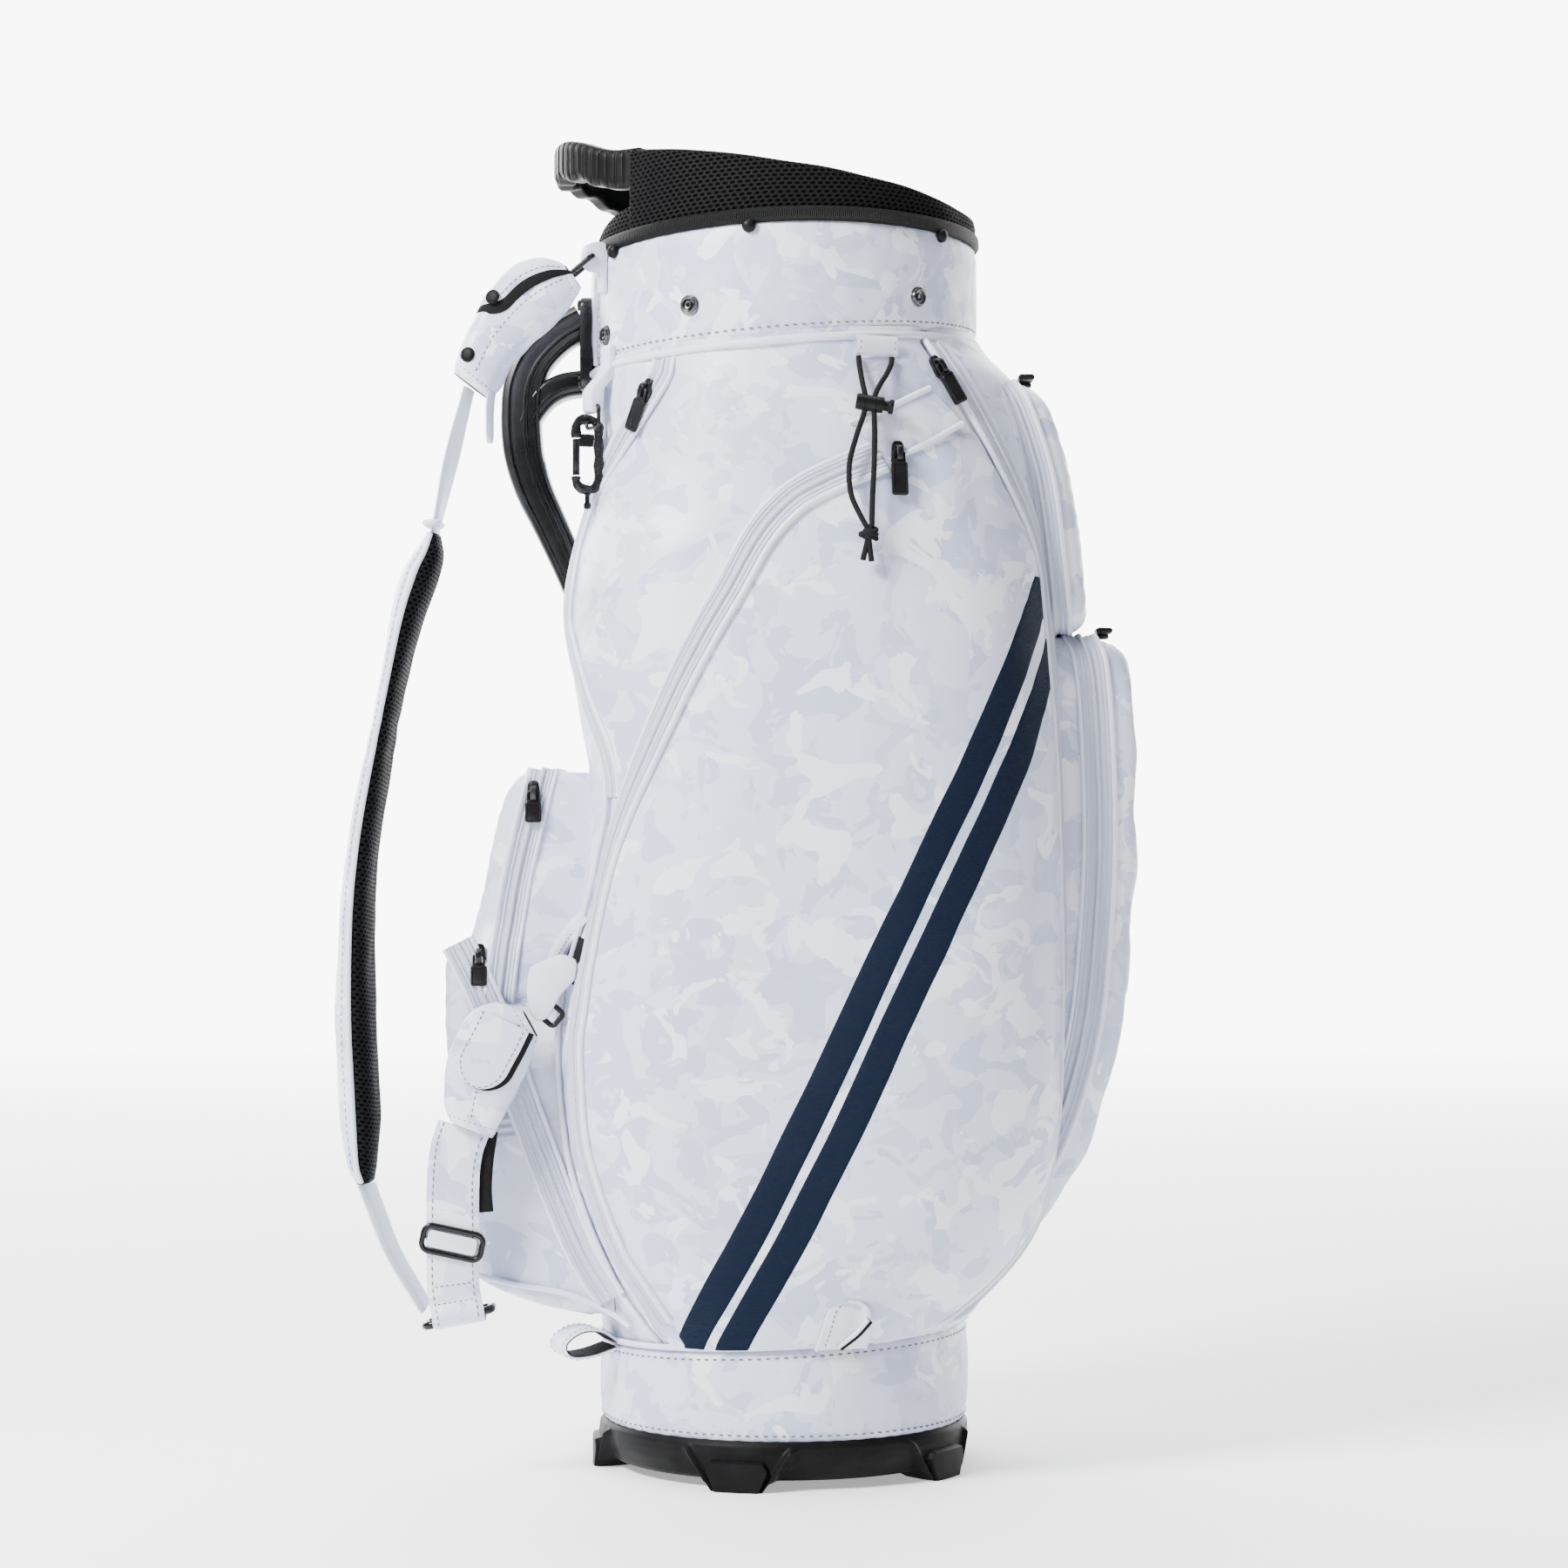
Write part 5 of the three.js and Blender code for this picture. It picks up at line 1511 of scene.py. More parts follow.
@dataclass
class SidePockets(Maker):
    """The long side pockets with their curved zips, the two navy stripes and the zips' end tabs."""

    rows: int = 230
    columns: int = 130
    band_width: float = 16.0
    bottom: float = 84.0
    top: float = 652.0
    skin: float = 1.6
    bulge: float = 11.6
    edge_sink: float = 3.8
    stripes: tuple[tuple[Profile, Profile], ...] = (
        (
            Profile((
                (80, -71), (93.5, -63.9), (125.3, -48.1), (157, -31.4), (188.9, -15.7), (220.7, -1.6), (252.5, 12.9),
                (284.3, 26.5), (316, 40.2), (347.9, 54.5), (379.6, 69.2), (411.5, 83.8), (443, 98.9), (475, 112.7),
                (540, 141.4), (580, 159.2),
            )),
            Profile((
                (80, -50), (93.5, -44.4), (125.3, -26.7), (157, -10), (188.9, 4.7), (220.7, 19.1), (252.5, 32.8),
                (284.3, 46.5), (316, 59.7), (347.9, 74), (379.6, 88.4), (411.5, 104.5), (443, 118.8), (475, 131.6),
                (540, 159.8), (580, 177.3),
            )),
        ),
        (
            Profile((
                (80, -44.3), (93.5, -38.5), (125.3, -21.8), (157, -5.1), (188.9, 9.8), (220.7, 24.6), (252.5, 37.9),
                (284.3, 51.2), (316, 65.3), (347.9, 80), (379.6, 94.8), (411.5, 110.7), (443, 124.7), (475, 138.2),
                (540, 166.7), (580, 184.3),
            )),
            Profile((
                (80, -24.1), (93.5, -17.9), (125.3, -0.9), (157, 15.4), (188.9, 29.8), (220.7, 44.2), (252.5, 57.7),
                (284.3, 70.8), (316, 85.2), (347.9, 99.6), (379.6, 114.8), (411.5, 129.7), (443, 143.4), (475, 155),
                (540, 183.2), (580, 200.5),
            )),
        ),
    )

    def build(self) -> None:
        """Makes both side pockets and what is sewn on them."""
        self.both("pocket_cover", self.cover(), Finish.CAMO, ["side_pocket"])
        self.zip_band()
        self.navy_stripes()
        self.zip_end()

    def lift(self, angle: Points, z: Points) -> Points:
        """How far the pocket's skin stands off the body.

        Args:
            angle: Angles round the bag.
            z: Heights.

        Returns:
            The distance at each place.
        """
        start = LEAF_FRONT(z) + 0.5 / FORM.side(z)
        finish = ZIP_LINE(z)
        across = np.clip((angle - start) / np.maximum(finish - start, 0.02), 0, 1)
        up = np.clip((z - self.bottom) / (self.top - self.bottom), 0, 1)
        crown = np.sqrt(np.maximum(np.sin(np.pi * across) * np.sin(np.pi * up), 0))
        skin = self.skin + self.bulge * crown
        spot = FORM.point(angle, z)
        soft = 1.1 * waves(spot, 120.0, 5) + 0.4 * waves(spot, 42.0, 6)
        gathers = 1.5 * smooth_step(z, 520.0, 640.0) * np.sin(spot[..., 0] / 6.5 + 1.5 * waves(spot, 70.0, 8))
        return skin + (soft + gathers * bump(z, 628.0, 48.0)) * crown

    def cover(self) -> MeshPart:
        """The pocket's skin from the front piping to the zip."""
        across = eased(self.columns, 0.75)[None, :]
        up = eased(self.rows, 0.6)[:, None]
        z = mix(88.0, self.top, up) + 0 * across
        for _ in range(5):
            angle = mix(LEAF_FRONT(z) + 1.2 / FORM.side(z), ZIP_LINE(z), across)
            z = mix(FORM.base_seam(angle) - 1.0, self.top + 0 * angle, up)
        lift = self.lift(angle, z)
        width = np.abs(ZIP_LINE(z) - LEAF_FRONT(z)) * FORM.radius(angle, z)
        edge = np.minimum(np.minimum(across, 1 - across) * width, (1 - up) * 560)
        gathers = np.sin(z / 3.1 + 2 * waves(FORM.point(angle, z), 50, 4))
        pucker = 0.5 * np.exp(-edge / 12.0) * smooth_step(edge, 1.5, 6.0) * gathers
        lift = lift + pucker - self.edge_sink * bump(edge, 0.0, 3.2)
        return from_axis(grid_part(FORM.point(angle, z, lift)))

    def zip_band(self) -> None:
        """The curved zip: a ridged band between a thin welt and a piping cord."""
        z = np.concatenate([np.linspace(97.0, 600.0, 210), np.linspace(602.0, 640.0, 50)])
        path = even_path(FORM.point(ZIP_LINE(z), z), 260)
        angle = np.arctan2(-path[:, 1], path[:, 0])
        height = path[:, 2]
        half = self.band_width / 2
        strip = band(angle, height, ZIP_OFFSETS * half / 8.0 + half, zip_relief(ZIP_OFFSETS) + 0.2, self.lift)
        self.both("pocket_zip_tape", strip, Finish.WHITE_TAPE)
        over = lambda extra: (lambda a, h: self.lift(a, h) + extra)
        self.both("pocket_zip_coil", tube(line_on(angle, height, half, over(1.4), 300), 1.5, 8), Finish.COIL)
        self.both("pocket_zip_welt", tube(line_on(angle, height, -0.4, over(0.6), 250), 1.7, 8), Finish.LEATHER)
        piping = line_on(angle, height, self.band_width + 1.2, over(1.2), 250)
        self.both("pocket_piping", tube(piping, 2.2, 10), Finish.LEATHER)

    def navy_stripes(self) -> None:
        """Two plain navy stripes that run slantwise over the pocket, clipped by its edges."""
        for number, (left, right) in enumerate(self.stripes, 1):
            z = np.linspace(86.0, 562.0, 260)[:, None]
            low = np.maximum(left(z), FORM.zip_line(z) + 13.0)
            high = np.minimum(right(z), FORM.leaf_front(z) - 2.5)
            share = np.linspace(0, 1, 13)[None, :]
            x = mix(low, np.maximum(high, low), share)
            z = z + 0 * x
            z = np.maximum(z, FORM.base_seam(FORM.angle_at(x, z)) - 0.5)
            angle = FORM.angle_at(x, z)
            height = self.lift(angle, z) + 0.45 - 0.5 * (np.abs(share * 2 - 1) ** 12)
            keep = (high - low)[:, 0] > 0.2
            part = grid_part(FORM.point(angle, z, height)[keep])
            self.both(f"navy_stripe_{number}", from_axis(part), Finish.STRIPE)

    def zip_end(self) -> None:
        """The quilted tab between the zip's upper end and the front piping, with two rolled edges."""
        corners = {
            "upper": ((38.0, 652.0), (60.0, 662.0), (86.0, 676.0)),
            "lower": ((62.0, 630.0), (84.0, 641.0), (106.0, 655.0)),
        }
        lines = {}
        for name, spots in corners.items():
            flat = smooth_path([(x, 0.0, z) for x, z in spots], 40)
            angle = FORM.angle_at(flat[:, 0], flat[:, 2])
            lines[name] = (angle, flat[:, 2])
            path = FORM.point(angle, flat[:, 2], 5.6)
            self.both(f"zip_end_{name}_roll", tube(path, 1.9, 8), Finish.LEATHER)
        share = np.linspace(0, 1, 24)[:, None]
        angle = mix(lines["lower"][0][None, :], lines["upper"][0][None, :], share)
        z = mix(lines["lower"][1][None, :], lines["upper"][1][None, :], share)
        quilt = 4.8 + 1.2 * np.sqrt(np.sin(np.pi * np.clip(share, 0.0, 1.0)))
        self.both("zip_end_tab", from_axis(grid_part(FORM.point(angle, z, quilt + 0 * z))), Finish.CAMO)


@dataclass
class BoxPocket(Maker):
    """A box pocket: a cushioned lid, a sewn-in zip round it and a plain gusset down to the body."""

    name: str = ""
    node: str = ""
    facing: int = 1
    reach: Profile = Profile(((0, 0), (1, 1)))
    width: Profile = Profile(((0, 60), (1, 60)))
    bottom: float = 0.0
    top: float = 1.0
    lid: float = 14.0
    corner: float = 18.0
    inner: float = 112.0
    zip_depth: float = 9.5
    seed: int = 1
    cut: Optional[Profile] = None
    zipped: bool = True

    def build(self) -> None:
        """Makes the pocket's pieces."""
        self.piece(self.name + "_lid", self.lid_part(), Finish.CAMO, [self.node])
        self.piece(self.name + "_gusset", self.wall_part(), Finish.CAMO)
        if self.zipped:
            self.piece(self.name + "_zip_tape", self.ribbed_part(), Finish.WHITE_TAPE)
        seams = (
            ("piping", -0.3, 1.9, Finish.LEATHER),
            ("zip_coil", self.zip_depth, 1.35, Finish.COIL),
            ("welt", 2 * self.zip_depth, 1.4, Finish.LEATHER),
        )
        for label, depth, radius, finish in seams if self.zipped else ():
            ring = self.loop(depth, 1.1 if finish is not Finish.COIL else 1.7)
            part = tube(even_loop(ring, 300), radius, 8, closed=True)
            self.piece(f"{self.name}_{label}", part, finish)

    def lid_depth(self, z: Points) -> Points:
        """How deep the lid is at a height: the same all round, or down to the drawn cut."""
        if self.cut is None:
            return np.full(np.shape(z), self.lid)
        return np.maximum(np.abs(self.reach(z)) - self.cut(z), 5.0)

    def outline(self, count: int = 260) -> tuple[Points, Points]:
        """The pocket's rounded outline seen from the front, and its outward directions.

        Args:
            count: Points round it.

        Returns:
            Points and directions, each with y and z.
        """
        height = self.top - self.bottom
        shape = rounded_outline(2 * self.width(self.top), height, self.corner, 9)
        closed = np.vstack([shape, shape[:1]])
        loop = even_path(closed, count + 1)[:-1]
        loop[:, 1] += (self.top + self.bottom) / 2
        loop[:, 0] *= self.width(loop[:, 1]) / self.width(self.top)
        way = tangents(np.column_stack([loop, np.zeros(count)]), closed=True)
        return loop, np.stack([way[:, 1], -way[:, 0]], axis=1)

    def place(self, loop: Points, depth: Points) -> Points:
        """Puts outline points, given as y and z, at a depth behind the pocket's reach."""
        far = np.abs(self.reach(loop[..., 1])) - depth
        return np.stack([self.facing * far, loop[..., 0], loop[..., 1]], axis=-1)

    def loop(self, depth: float, out: float) -> Points:
        """A ring round the pocket at a depth, a little outside its gusset."""
        loop, ways = self.outline()
        return self.place(loop + ways * out, self.lid_depth(loop[:, 1]) + depth)

    def lid_part(self) -> MeshPart:
        """The lid: its edge rolls over a quarter circle, then it crowns towards the middle."""
        loop, _ = self.outline()
        middle = np.array([0.0, (self.top + self.bottom) / 2])
        inset = np.concatenate([np.linspace(0, 0.34, 16), np.linspace(0.38, 0.985, 20)])
        rings = middle + (loop - middle)[None, :, :] * (1 - inset)[:, None, None]
        distance = np.linalg.norm(loop - middle, axis=1)[None, :] * inset[:, None]
        lid = self.lid_depth(loop[:, 1])[None, :]
        turn = np.clip(distance / np.minimum(lid * 1.25, 17.0), 0, 1)
        depth = lid * (1 - np.sqrt(np.maximum(1 - (1 - turn) ** 2, 0)))
        points = self.place(rings, depth)
        soft = 1.3 * waves(points, 75.0, self.seed) + 0.5 * waves(points, 32.0, self.seed + 1)
        edge = np.exp(-distance / 14.0) * smooth_step(distance, 2.0, 7.0)
        along = np.linspace(0, 2 * np.pi * 34, len(loop), endpoint=False)[None, :]
        puckers = 0.5 * edge * np.sin(along + 2 * waves(points, 40.0, self.seed + 2))
        points[..., 0] += self.facing * (soft * turn + puckers - 1.0 * (1 - turn) ** 6)
        part = grid_part(points, loop_columns=True)
        last = (len(inset) - 1) * len(loop)
        part.faces.append(tuple(range(last, last + len(loop))))
        return self.turned(part)

    def wall_part(self) -> MeshPart:
        """The plain gusset from the zip down into the body."""
        loop, ways = self.outline()
        reach = np.abs(self.reach(loop[:, 1]))
        depths = np.linspace(0, 1, 14)[:, None]
        start = self.lid_depth(loop[:, 1]) + (2 * self.zip_depth - 1 if self.zipped else -0.5)
        depth = start[None, :] + depths * np.maximum(reach - self.inner - start, 1.0)[None, :]
        points = self.place(np.repeat(loop[None], 14, axis=0), depth)
        soft = 0.7 * waves(points, 45.0, self.seed + 4)
        points[..., 1:] += ways[None] * soft[..., None]
        return self.turned(grid_part(points, loop_columns=True))

    def ribbed_part(self) -> MeshPart:
        """The zip's tape round the pocket, ridged like every sewn-in zip of the bag."""
        loop, ways = self.outline()
        depth = self.zip_depth + ZIP_OFFSETS * self.zip_depth / 8.0
        points = self.place(
            np.repeat(loop[None], len(depth), axis=0), depth[:, None] + self.lid_depth(loop[:, 1])[None, :]
        )
        rise = zip_relief(ZIP_OFFSETS)[:, None] - 0.2
        points[..., 1:] += ways[None] * rise[..., None]
        return self.turned(grid_part(np.swapaxes(points, 0, 1), loop_rows=True))

    def turned(self, part: MeshPart) -> MeshPart:
        """Turns the faces outward from the pocket's own middle."""
        return facing_away(part, np.array([self.facing * self.inner, 0.0, (self.top + self.bottom) / 2]))


def even_loop(ring: Points, count: int) -> Points:
    """Moves the points of a closed line to even distances."""
    return even_path(np.vstack([ring, ring[:1]]), count + 1)[:-1]


def box_pockets() -> list[BoxPocket]:
    """The four box pockets with their sizes."""
    return [
        BoxPocket(
            name="upper_front_pocket", node="front_upper_pocket", facing=1, bottom=529.0, top=687.0, lid=13.0,
            reach=Profile(((527, 193), (571, 189), (624, 182), (653, 174), (676, 165), (687, 158))),
            width=Profile(((0, 58), (700, 58))), inner=122.0, corner=16.0, zip_depth=9.0, seed=41,
        ),
        BoxPocket(
            name="lower_front_pocket", node="front_lower_pocket", facing=1, bottom=142.0, top=526.0, lid=15.0,
            reach=Profile(
                (
                    (150, 160), (162, 168), (190, 184), (218, 196), (246, 205), (288, 214), (344, 219.5),
                    (400, 222), (470, 220), (512, 216), (526, 211),
                )
            ),
            width=Profile(((150, 40), (246, 56), (300, 61), (526, 61))), inner=122.0, corner=22.0, seed=47,
        ),
        BoxPocket(
            name="upper_back_pocket", node="back_upper_pocket", facing=-1, bottom=296.0, top=441.0, lid=13.0,
            reach=Profile(((336, 196), (372, 189), (400, 183), (428, 172), (441, 165))),
            width=Profile(((296, 66.2), (326, 65.2), (340, 60.2), (350, 58.0), (441, 58))),
            inner=108.0, corner=8.0, zip_depth=8.4, seed=53,
            cut=Profile(((296, 187), (336, 182), (379, 175), (441, 160))),
        ),
        BoxPocket(
            name="lower_back_pocket", node="back_lower_pocket", facing=-1, bottom=100.0, top=336.0, lid=15.0,
            reach=Profile(
                (
                    (100, 136), (108, 160), (118, 182), (125, 192), (150, 200), (200, 208), (270, 212),
                    (320, 212), (336, 209),
                )
            ),
            width=Profile(((0, 64), (700, 64))), inner=106.0, corner=14.0, seed=59, zipped=False,
        ),
    ]


@dataclass
class BackDetails(Maker):
    """What is sewn on the near and far side of the back pockets: slanting zip, gathers, slip pocket."""

    gusset: float = 65.0
    slant: tuple[tuple[float, float], ...] = (
        (-204, 334), (-191, 308), (-178.5, 279), (-166.5, 243), (-153, 206), (-138, 168), (-124, 137), (-108, 112)
    )

    def side_y(self, x: Points, z: Points, lift: Points) -> Points:
        """How far the pockets' gussets and the body reach to the near side.

        Args:
            x: Places along the bag's depth.
            z: Heights.
            lift: Distance that is added.

        Returns:
            The y of each place.
        """
        inside = np.clip(x, -FORM.spine(z) + 0.5, None)
        angle = FORM.angle_at(inside, z)
        body = FORM.radius(angle, z) * np.sin(angle)
        body = np.where(x < -FORM.spine(z), 0.0, body)
        return -((self.gusset**10 + np.maximum(body, 0) ** 10) ** 0.1 + lift)

    def strip(self, path: Sequence[Sequence[float]], offsets: Points, relief: Points, count: int) -> MeshPart:
        """A strip drawn in x and z that lies on the gusset and the body.

        Args:
            path: Its middle line, pairs of x and z.
            offsets: Distances across.
            relief: Height at each offset.
            count: Points along it.

        Returns:
            The part.
        """
        line = smooth_path([(x, 0.0, z) for x, z in path], count)
        way = tangents(line)
        aside = np.stack([way[:, 2], -way[:, 0]], axis=1)
        x = line[:, None, 0] + aside[:, None, 0] * offsets
        z = line[:, None, 2] + aside[:, None, 1] * offsets
        return from_axis(grid_part(np.stack([x, self.side_y(x, z, relief + 0 * x), z], axis=-1)))

    def line(self, path: Sequence[Sequence[float]], offset: float, lift: float, count: int) -> Points:
        """Points of a line drawn in x and z, at an offset beside it and a height over what carries it."""
        return self.strip(path, np.array([offset, offset + 0.1]), np.array([lift, lift]), count).points[::2]

    def build(self) -> None:
        """Makes the details on both sides."""
        tape = self.strip(self.slant, ZIP_OFFSETS * 1.05, zip_relief(ZIP_OFFSETS) + 2.2, 120)
        self.both("slanting_zip_tape", tape, Finish.WHITE_TAPE)
        for name, offset, lift, radius, finish in (
            ("slanting_zip_coil", 0.0, 3.4, 1.4, Finish.COIL),
            ("slanting_zip_piping", 9.2, 1.2, 1.5, Finish.LEATHER),
            ("slanting_zip_welt", -9.2, 2.6, 1.7, Finish.LEATHER),
        ):
            self.both(name, tube(self.line(self.slant, offset, lift, 120), radius, 8), finish)
        crease = ((-192, 127), (-169, 121), (-136, 115), (-108, 103), (-96, 95))
        self.both("bottom_fold_piping", tube(self.line(crease, 0.0, 1.6, 60), 1.8, 8), Finish.LEATHER)
        flat = np.linspace(-8.0, 8.0, 33)
        gathers = 0.9 + 0.8 * np.cos(flat / 8.0 * np.pi * 3)
        self.both("gathers", self.strip(((-199, 216), (-184, 217), (-168, 219)), flat, gathers, 24), Finish.WHITE_TAPE)
        self.slip_pocket()

    def slip_pocket(self) -> None:
        """The small slip pocket's rolled hem with its stitches, and a dark strip of painted shade for the opening
        behind it.
        """
        hem = ((-146, 316), (-141, 330), (-133, 342), (-124, 352))
        roll = self.strip(hem, np.linspace(-4.2, 4.2, 15), 2.2 + 1.2 * np.cos(np.linspace(-1.4, 1.4, 15)), 40)
        self.both("slip_hem", roll, Finish.LEATHER)
        out = alike([-0.6, -0.8, 0.0], 40)
        self.both("slip_stitches", stitch_row(self.line(hem, 1.6, 3.3, 40), out, 3.4, 2.2, 0.6), Finish.THREAD)
        # Painted shade: dark strips stand in for the pocket's shaded inside, in the lining's black.
        dark = self.strip(((-135, 310), (-131, 324), (-126, 338)), np.linspace(-5, 5, 9), np.full(9, 1.2), 20)
        self.piece("near_slip_mouth", dark, Finish.LINING)
        small = self.strip(((-137, 318), (-134, 326), (-131, 334)), np.linspace(-2.2, 2.2, 9), np.full(9, 0.8), 20)
        self.piece("far_slip_mouth", mirrored(small), Finish.LINING)


# ------------------------------------------------------------------------------------ mouth and base


def rounded_block(width: float, height: float, thickness: float, corner: float, bevel: float) -> MeshPart:
    """A plate with rounded corners and bevelled edges, lying on z = 0 round the origin.

    Args:
        width: Size along X.
        height: Size along Y.
        thickness: Size along Z.
        corner: Corner radius.
        bevel: Width of the bevel.

    Returns:
        The part.
    """
    levels = [(0.0, bevel), (bevel * 0.3, bevel * 0.3), (bevel, 0.0)]
    levels += [(thickness - z, inset) for z, inset in reversed(levels)]
    rings = []
    for z, inset in levels:
        outline = rounded_outline(width - 2 * inset, height - 2 * inset, max(corner - inset, 0.25), 6)
        rings.append(np.column_stack([outline, np.full(len(outline), z)]))
    return filled(np.array(rings))


def hoop(angles: Points, radii: Points, heights: Points, upright: bool = False) -> MeshPart:
    """A sheet round the tube's axis: a profile of radius and height carried round it.

    Args:
        angles: Angles round the bag.
        radii: Radius at each angle and profile point.
        heights: Height at each angle and profile point.
        upright: True gives cloth coordinates whose first axis runs round the bag.

    Returns:
        The part. It closes on itself when the angles cover a full turn.
    """
    full = abs(abs(angles[-1] - angles[0]) - 2 * np.pi) < 1e-6
    turns = angles[:, None]
    points = np.stack([radii * np.cos(turns), -radii * np.sin(turns), heights + 0 * turns], axis=-1)
    if upright:
        points = np.swapaxes(points, 0, 1)
    part = from_axis(grid_part(points))
    if full:
        part = welded(part, points.shape[:2], 1 if upright else 0)
    return part


def welded(part: MeshPart, shape: tuple[int, int], axis: int) -> MeshPart:
    """Keeps a closed hoop's last line of points where its first one is.

    Args:
        part: A grid part whose first and last lines meet.
        shape: Rows and columns.
        axis: 0 where rows meet, 1 where columns meet.

    Returns:
        The part with both lines at exactly the same place.
    """
    points = part.points.reshape(*shape, 3)
    if axis == 0:
        points[-1] = points[0]
    else:
        points[:, -1] = points[:, 0]
    return part


def cuff_top(angle: Points) -> Points:
    """Height of the top cuff's upper edge."""
    forward = np.cos(angle)
    return 781.5 + 0.039 * TUBE_RADIUS * forward - 5.6 * forward * forward


def rim_high(angle: Points) -> Points:
    """Height of the mesh collar's high part."""
    forward = np.cos(angle)
    return 815.0 - 0.165 * TUBE_RADIUS * forward - 2 * np.maximum(forward, 0) ** 6


CUFF_STITCH = (5.6, 3.2, 0.95)
EDGE_STITCH = (3.6, 2.4, 0.6)
FULL_TURN = np.linspace(0, 2 * np.pi, TURN_STEPS)


def round_path(angles: Points, radius: float, heights: Points) -> Points:
    """A line round the tube's axis."""
    return np.stack([radius * np.cos(angles), -radius * np.sin(angles), heights + 0 * angles], axis=1)


def away(angles: Points) -> Points:
    """Directions away from the tube's axis."""
    return np.stack([np.cos(angles), -np.sin(angles), 0 * angles], axis=1)


@dataclass
class Cuffs(Maker):
    """The white cuffs at the top and the base, their seams, snaps and pegs."""

    top_radius: float = 122.6
    base_radius: float = 116.0
    stand: float = 124.0
    snaps: tuple[tuple[float, float], ...] = ((154.8, 716.0), (117.9, 727.0), (48.0, 734.5))
    pegs: tuple[float, ...] = (149.3, 100.0, 37.8)

    def build(self) -> None:
        """Makes both cuffs."""
        self.top_cuff()
        self.base_cuff()
        self.hardware()

    def cuff(self, low: Points, high: Points, radius: float, seed: int, puff: float) -> MeshPart:
        """A padded cuff between two edges, with low waves and puckers near its seams.

        Args:
            low: Height of its lower edge at each angle.
            high: Height of its upper edge.
            radius: Its radius at the edges.
            seed: Chooses the waves.
            puff: How far it bulges.

        Returns:
            The part.
        """
        share = eased(34, 0.7)[None, :]
        turns = FULL_TURN[:, None]
        z = mix(low[:, None], high[:, None], share)
        spot = np.stack([120 * np.cos(turns) + 0 * z, -120 * np.sin(turns) + 0 * z, z], axis=-1)
        rise = puff * (1 - (2 * share - 1) ** 4)
        soft = 0.8 * waves(spot, 70.0, seed) + 0.3 * waves(spot, 24.0, seed + 1)
        edge = np.minimum(share, 1 - share) * (high - low)[:, None]
        radii = radius + rise + soft * smooth_step(edge, 9.0, 20.0) - 3.0 * bump(edge, 0.0, 3.2)
        puckers = np.sin(turns * 62 + 2 * waves(spot, 50.0, seed + 2))
        radii = radii - 0.55 * bump(edge, 6.6, 1.5) + 0.35 * np.exp(-edge / 7.0) * puckers
        radii[-1] = radii[0]
        return hoop(FULL_TURN, radii, z)

    def top_cuff(self) -> None:
        """The top cuff with its lower seam and the upright piping beside the spine plate."""
        seam = FORM.cuff_seam(FULL_TURN)
        cuff = self.cuff(seam, cuff_top(FULL_TURN) - 2.0, self.top_radius, 71, 1.3)
        self.piece("top_cuff_leather", cuff, Finish.CAMO, ["top_cuff"])
        roll = tube(round_path(FULL_TURN[:-1], self.top_radius + 0.9, seam[:-1] - 1.6), 2.6, 12, closed=True)
        self.piece("top_cuff_piping", roll, Finish.LEATHER)
        rows = [stitch_row(round_path(FULL_TURN, self.top_radius + 0.95, seam + 6.8), away(FULL_TURN), 5.4, 3.0, 0.95)]
        posts = []
        for side in (-1, 1):
            turn = np.full(40, side * math.radians(163.5))
            z = np.linspace(float(FORM.cuff_seam(turn[0])) + 2.0, float(cuff_top(turn[0])) - 3.0, 40)
            posts.append(tube(round_path(turn, 1, z) * [self.stand, self.stand, 1.0], 2.0, 10))
            beside_post = round_path(turn - side * 0.05, 1, z) * [self.stand, self.stand, 1.0]
            rows.append(stitch_row(beside_post, away(turn), 4.6, 2.8, 0.7))
        self.piece("top_cuff_posts", join_parts(posts), Finish.LEATHER)
        self.piece("top_cuff_stitches", join_parts(rows), Finish.THREAD)

    def base_cuff(self) -> None:
        """The base cuff with a stitch row along each edge and a thin rolled upper edge."""
        seam = FORM.base_seam(FULL_TURN)
        cuff = self.cuff(np.full(len(seam), 28.6), seam, self.base_radius, 81, 1.0)
        self.piece("base_cuff_leather", cuff, Finish.CAMO, ["base_cuff"])
        roll = tube(round_path(FULL_TURN[:-1], self.base_radius + 0.6, seam[:-1] + 0.4), 1.9, 12, closed=True)
        self.piece("base_cuff_roll", roll, Finish.LEATHER)
        rows = [
            stitch_row(round_path(FULL_TURN, self.base_radius + 0.75, seam - 6.4), away(FULL_TURN), *CUFF_STITCH),
            stitch_row(round_path(FULL_TURN, self.base_radius + 0.65, 34.0), away(FULL_TURN), *CUFF_STITCH),
        ]
        self.piece("base_cuff_stitches", join_parts(rows), Finish.THREAD)

    def hardware(self) -> None:
        """Snap studs on the cuff and domed pegs under the binding, on both sides."""
        stud = [
            (0, 0.1), (1.3, 0.1), (1.5, 1.9), (2.3, 2.1), (2.6, 1.7), (2.7, 0.3), (3.7, 0.3), (3.9, 2.2), (4.6, 2.6),
            (5.3, 2.2), (5.7, 1.0), (6.3, 0.7), (6.6, -0.4), (0, -0.6),
        ]
        dome = [(0, 3.6), (1.6, 3.5), (3.0, 2.9), (4.0, 1.8), (4.3, 0.6), (4.3, -0.6), (0, -0.8)]
        studs, caps = [], []
        for side in (-1, 1):
            for degrees, z in self.snaps:
                studs.append(self.cap(stud, 24, side * math.radians(degrees), self.stand, z))
            for degrees in self.pegs:
                turn = side * math.radians(degrees)
                caps.append(self.cap(dome, 20, turn, self.stand + 0.2, float(cuff_top(turn)) - 6.5))
        self.piece("snap_studs", join_parts(studs), Finish.NICKEL, slot="black_metal")
        self.piece("hood_pegs", join_parts(caps), Finish.PLASTIC, slot="black_plastic")

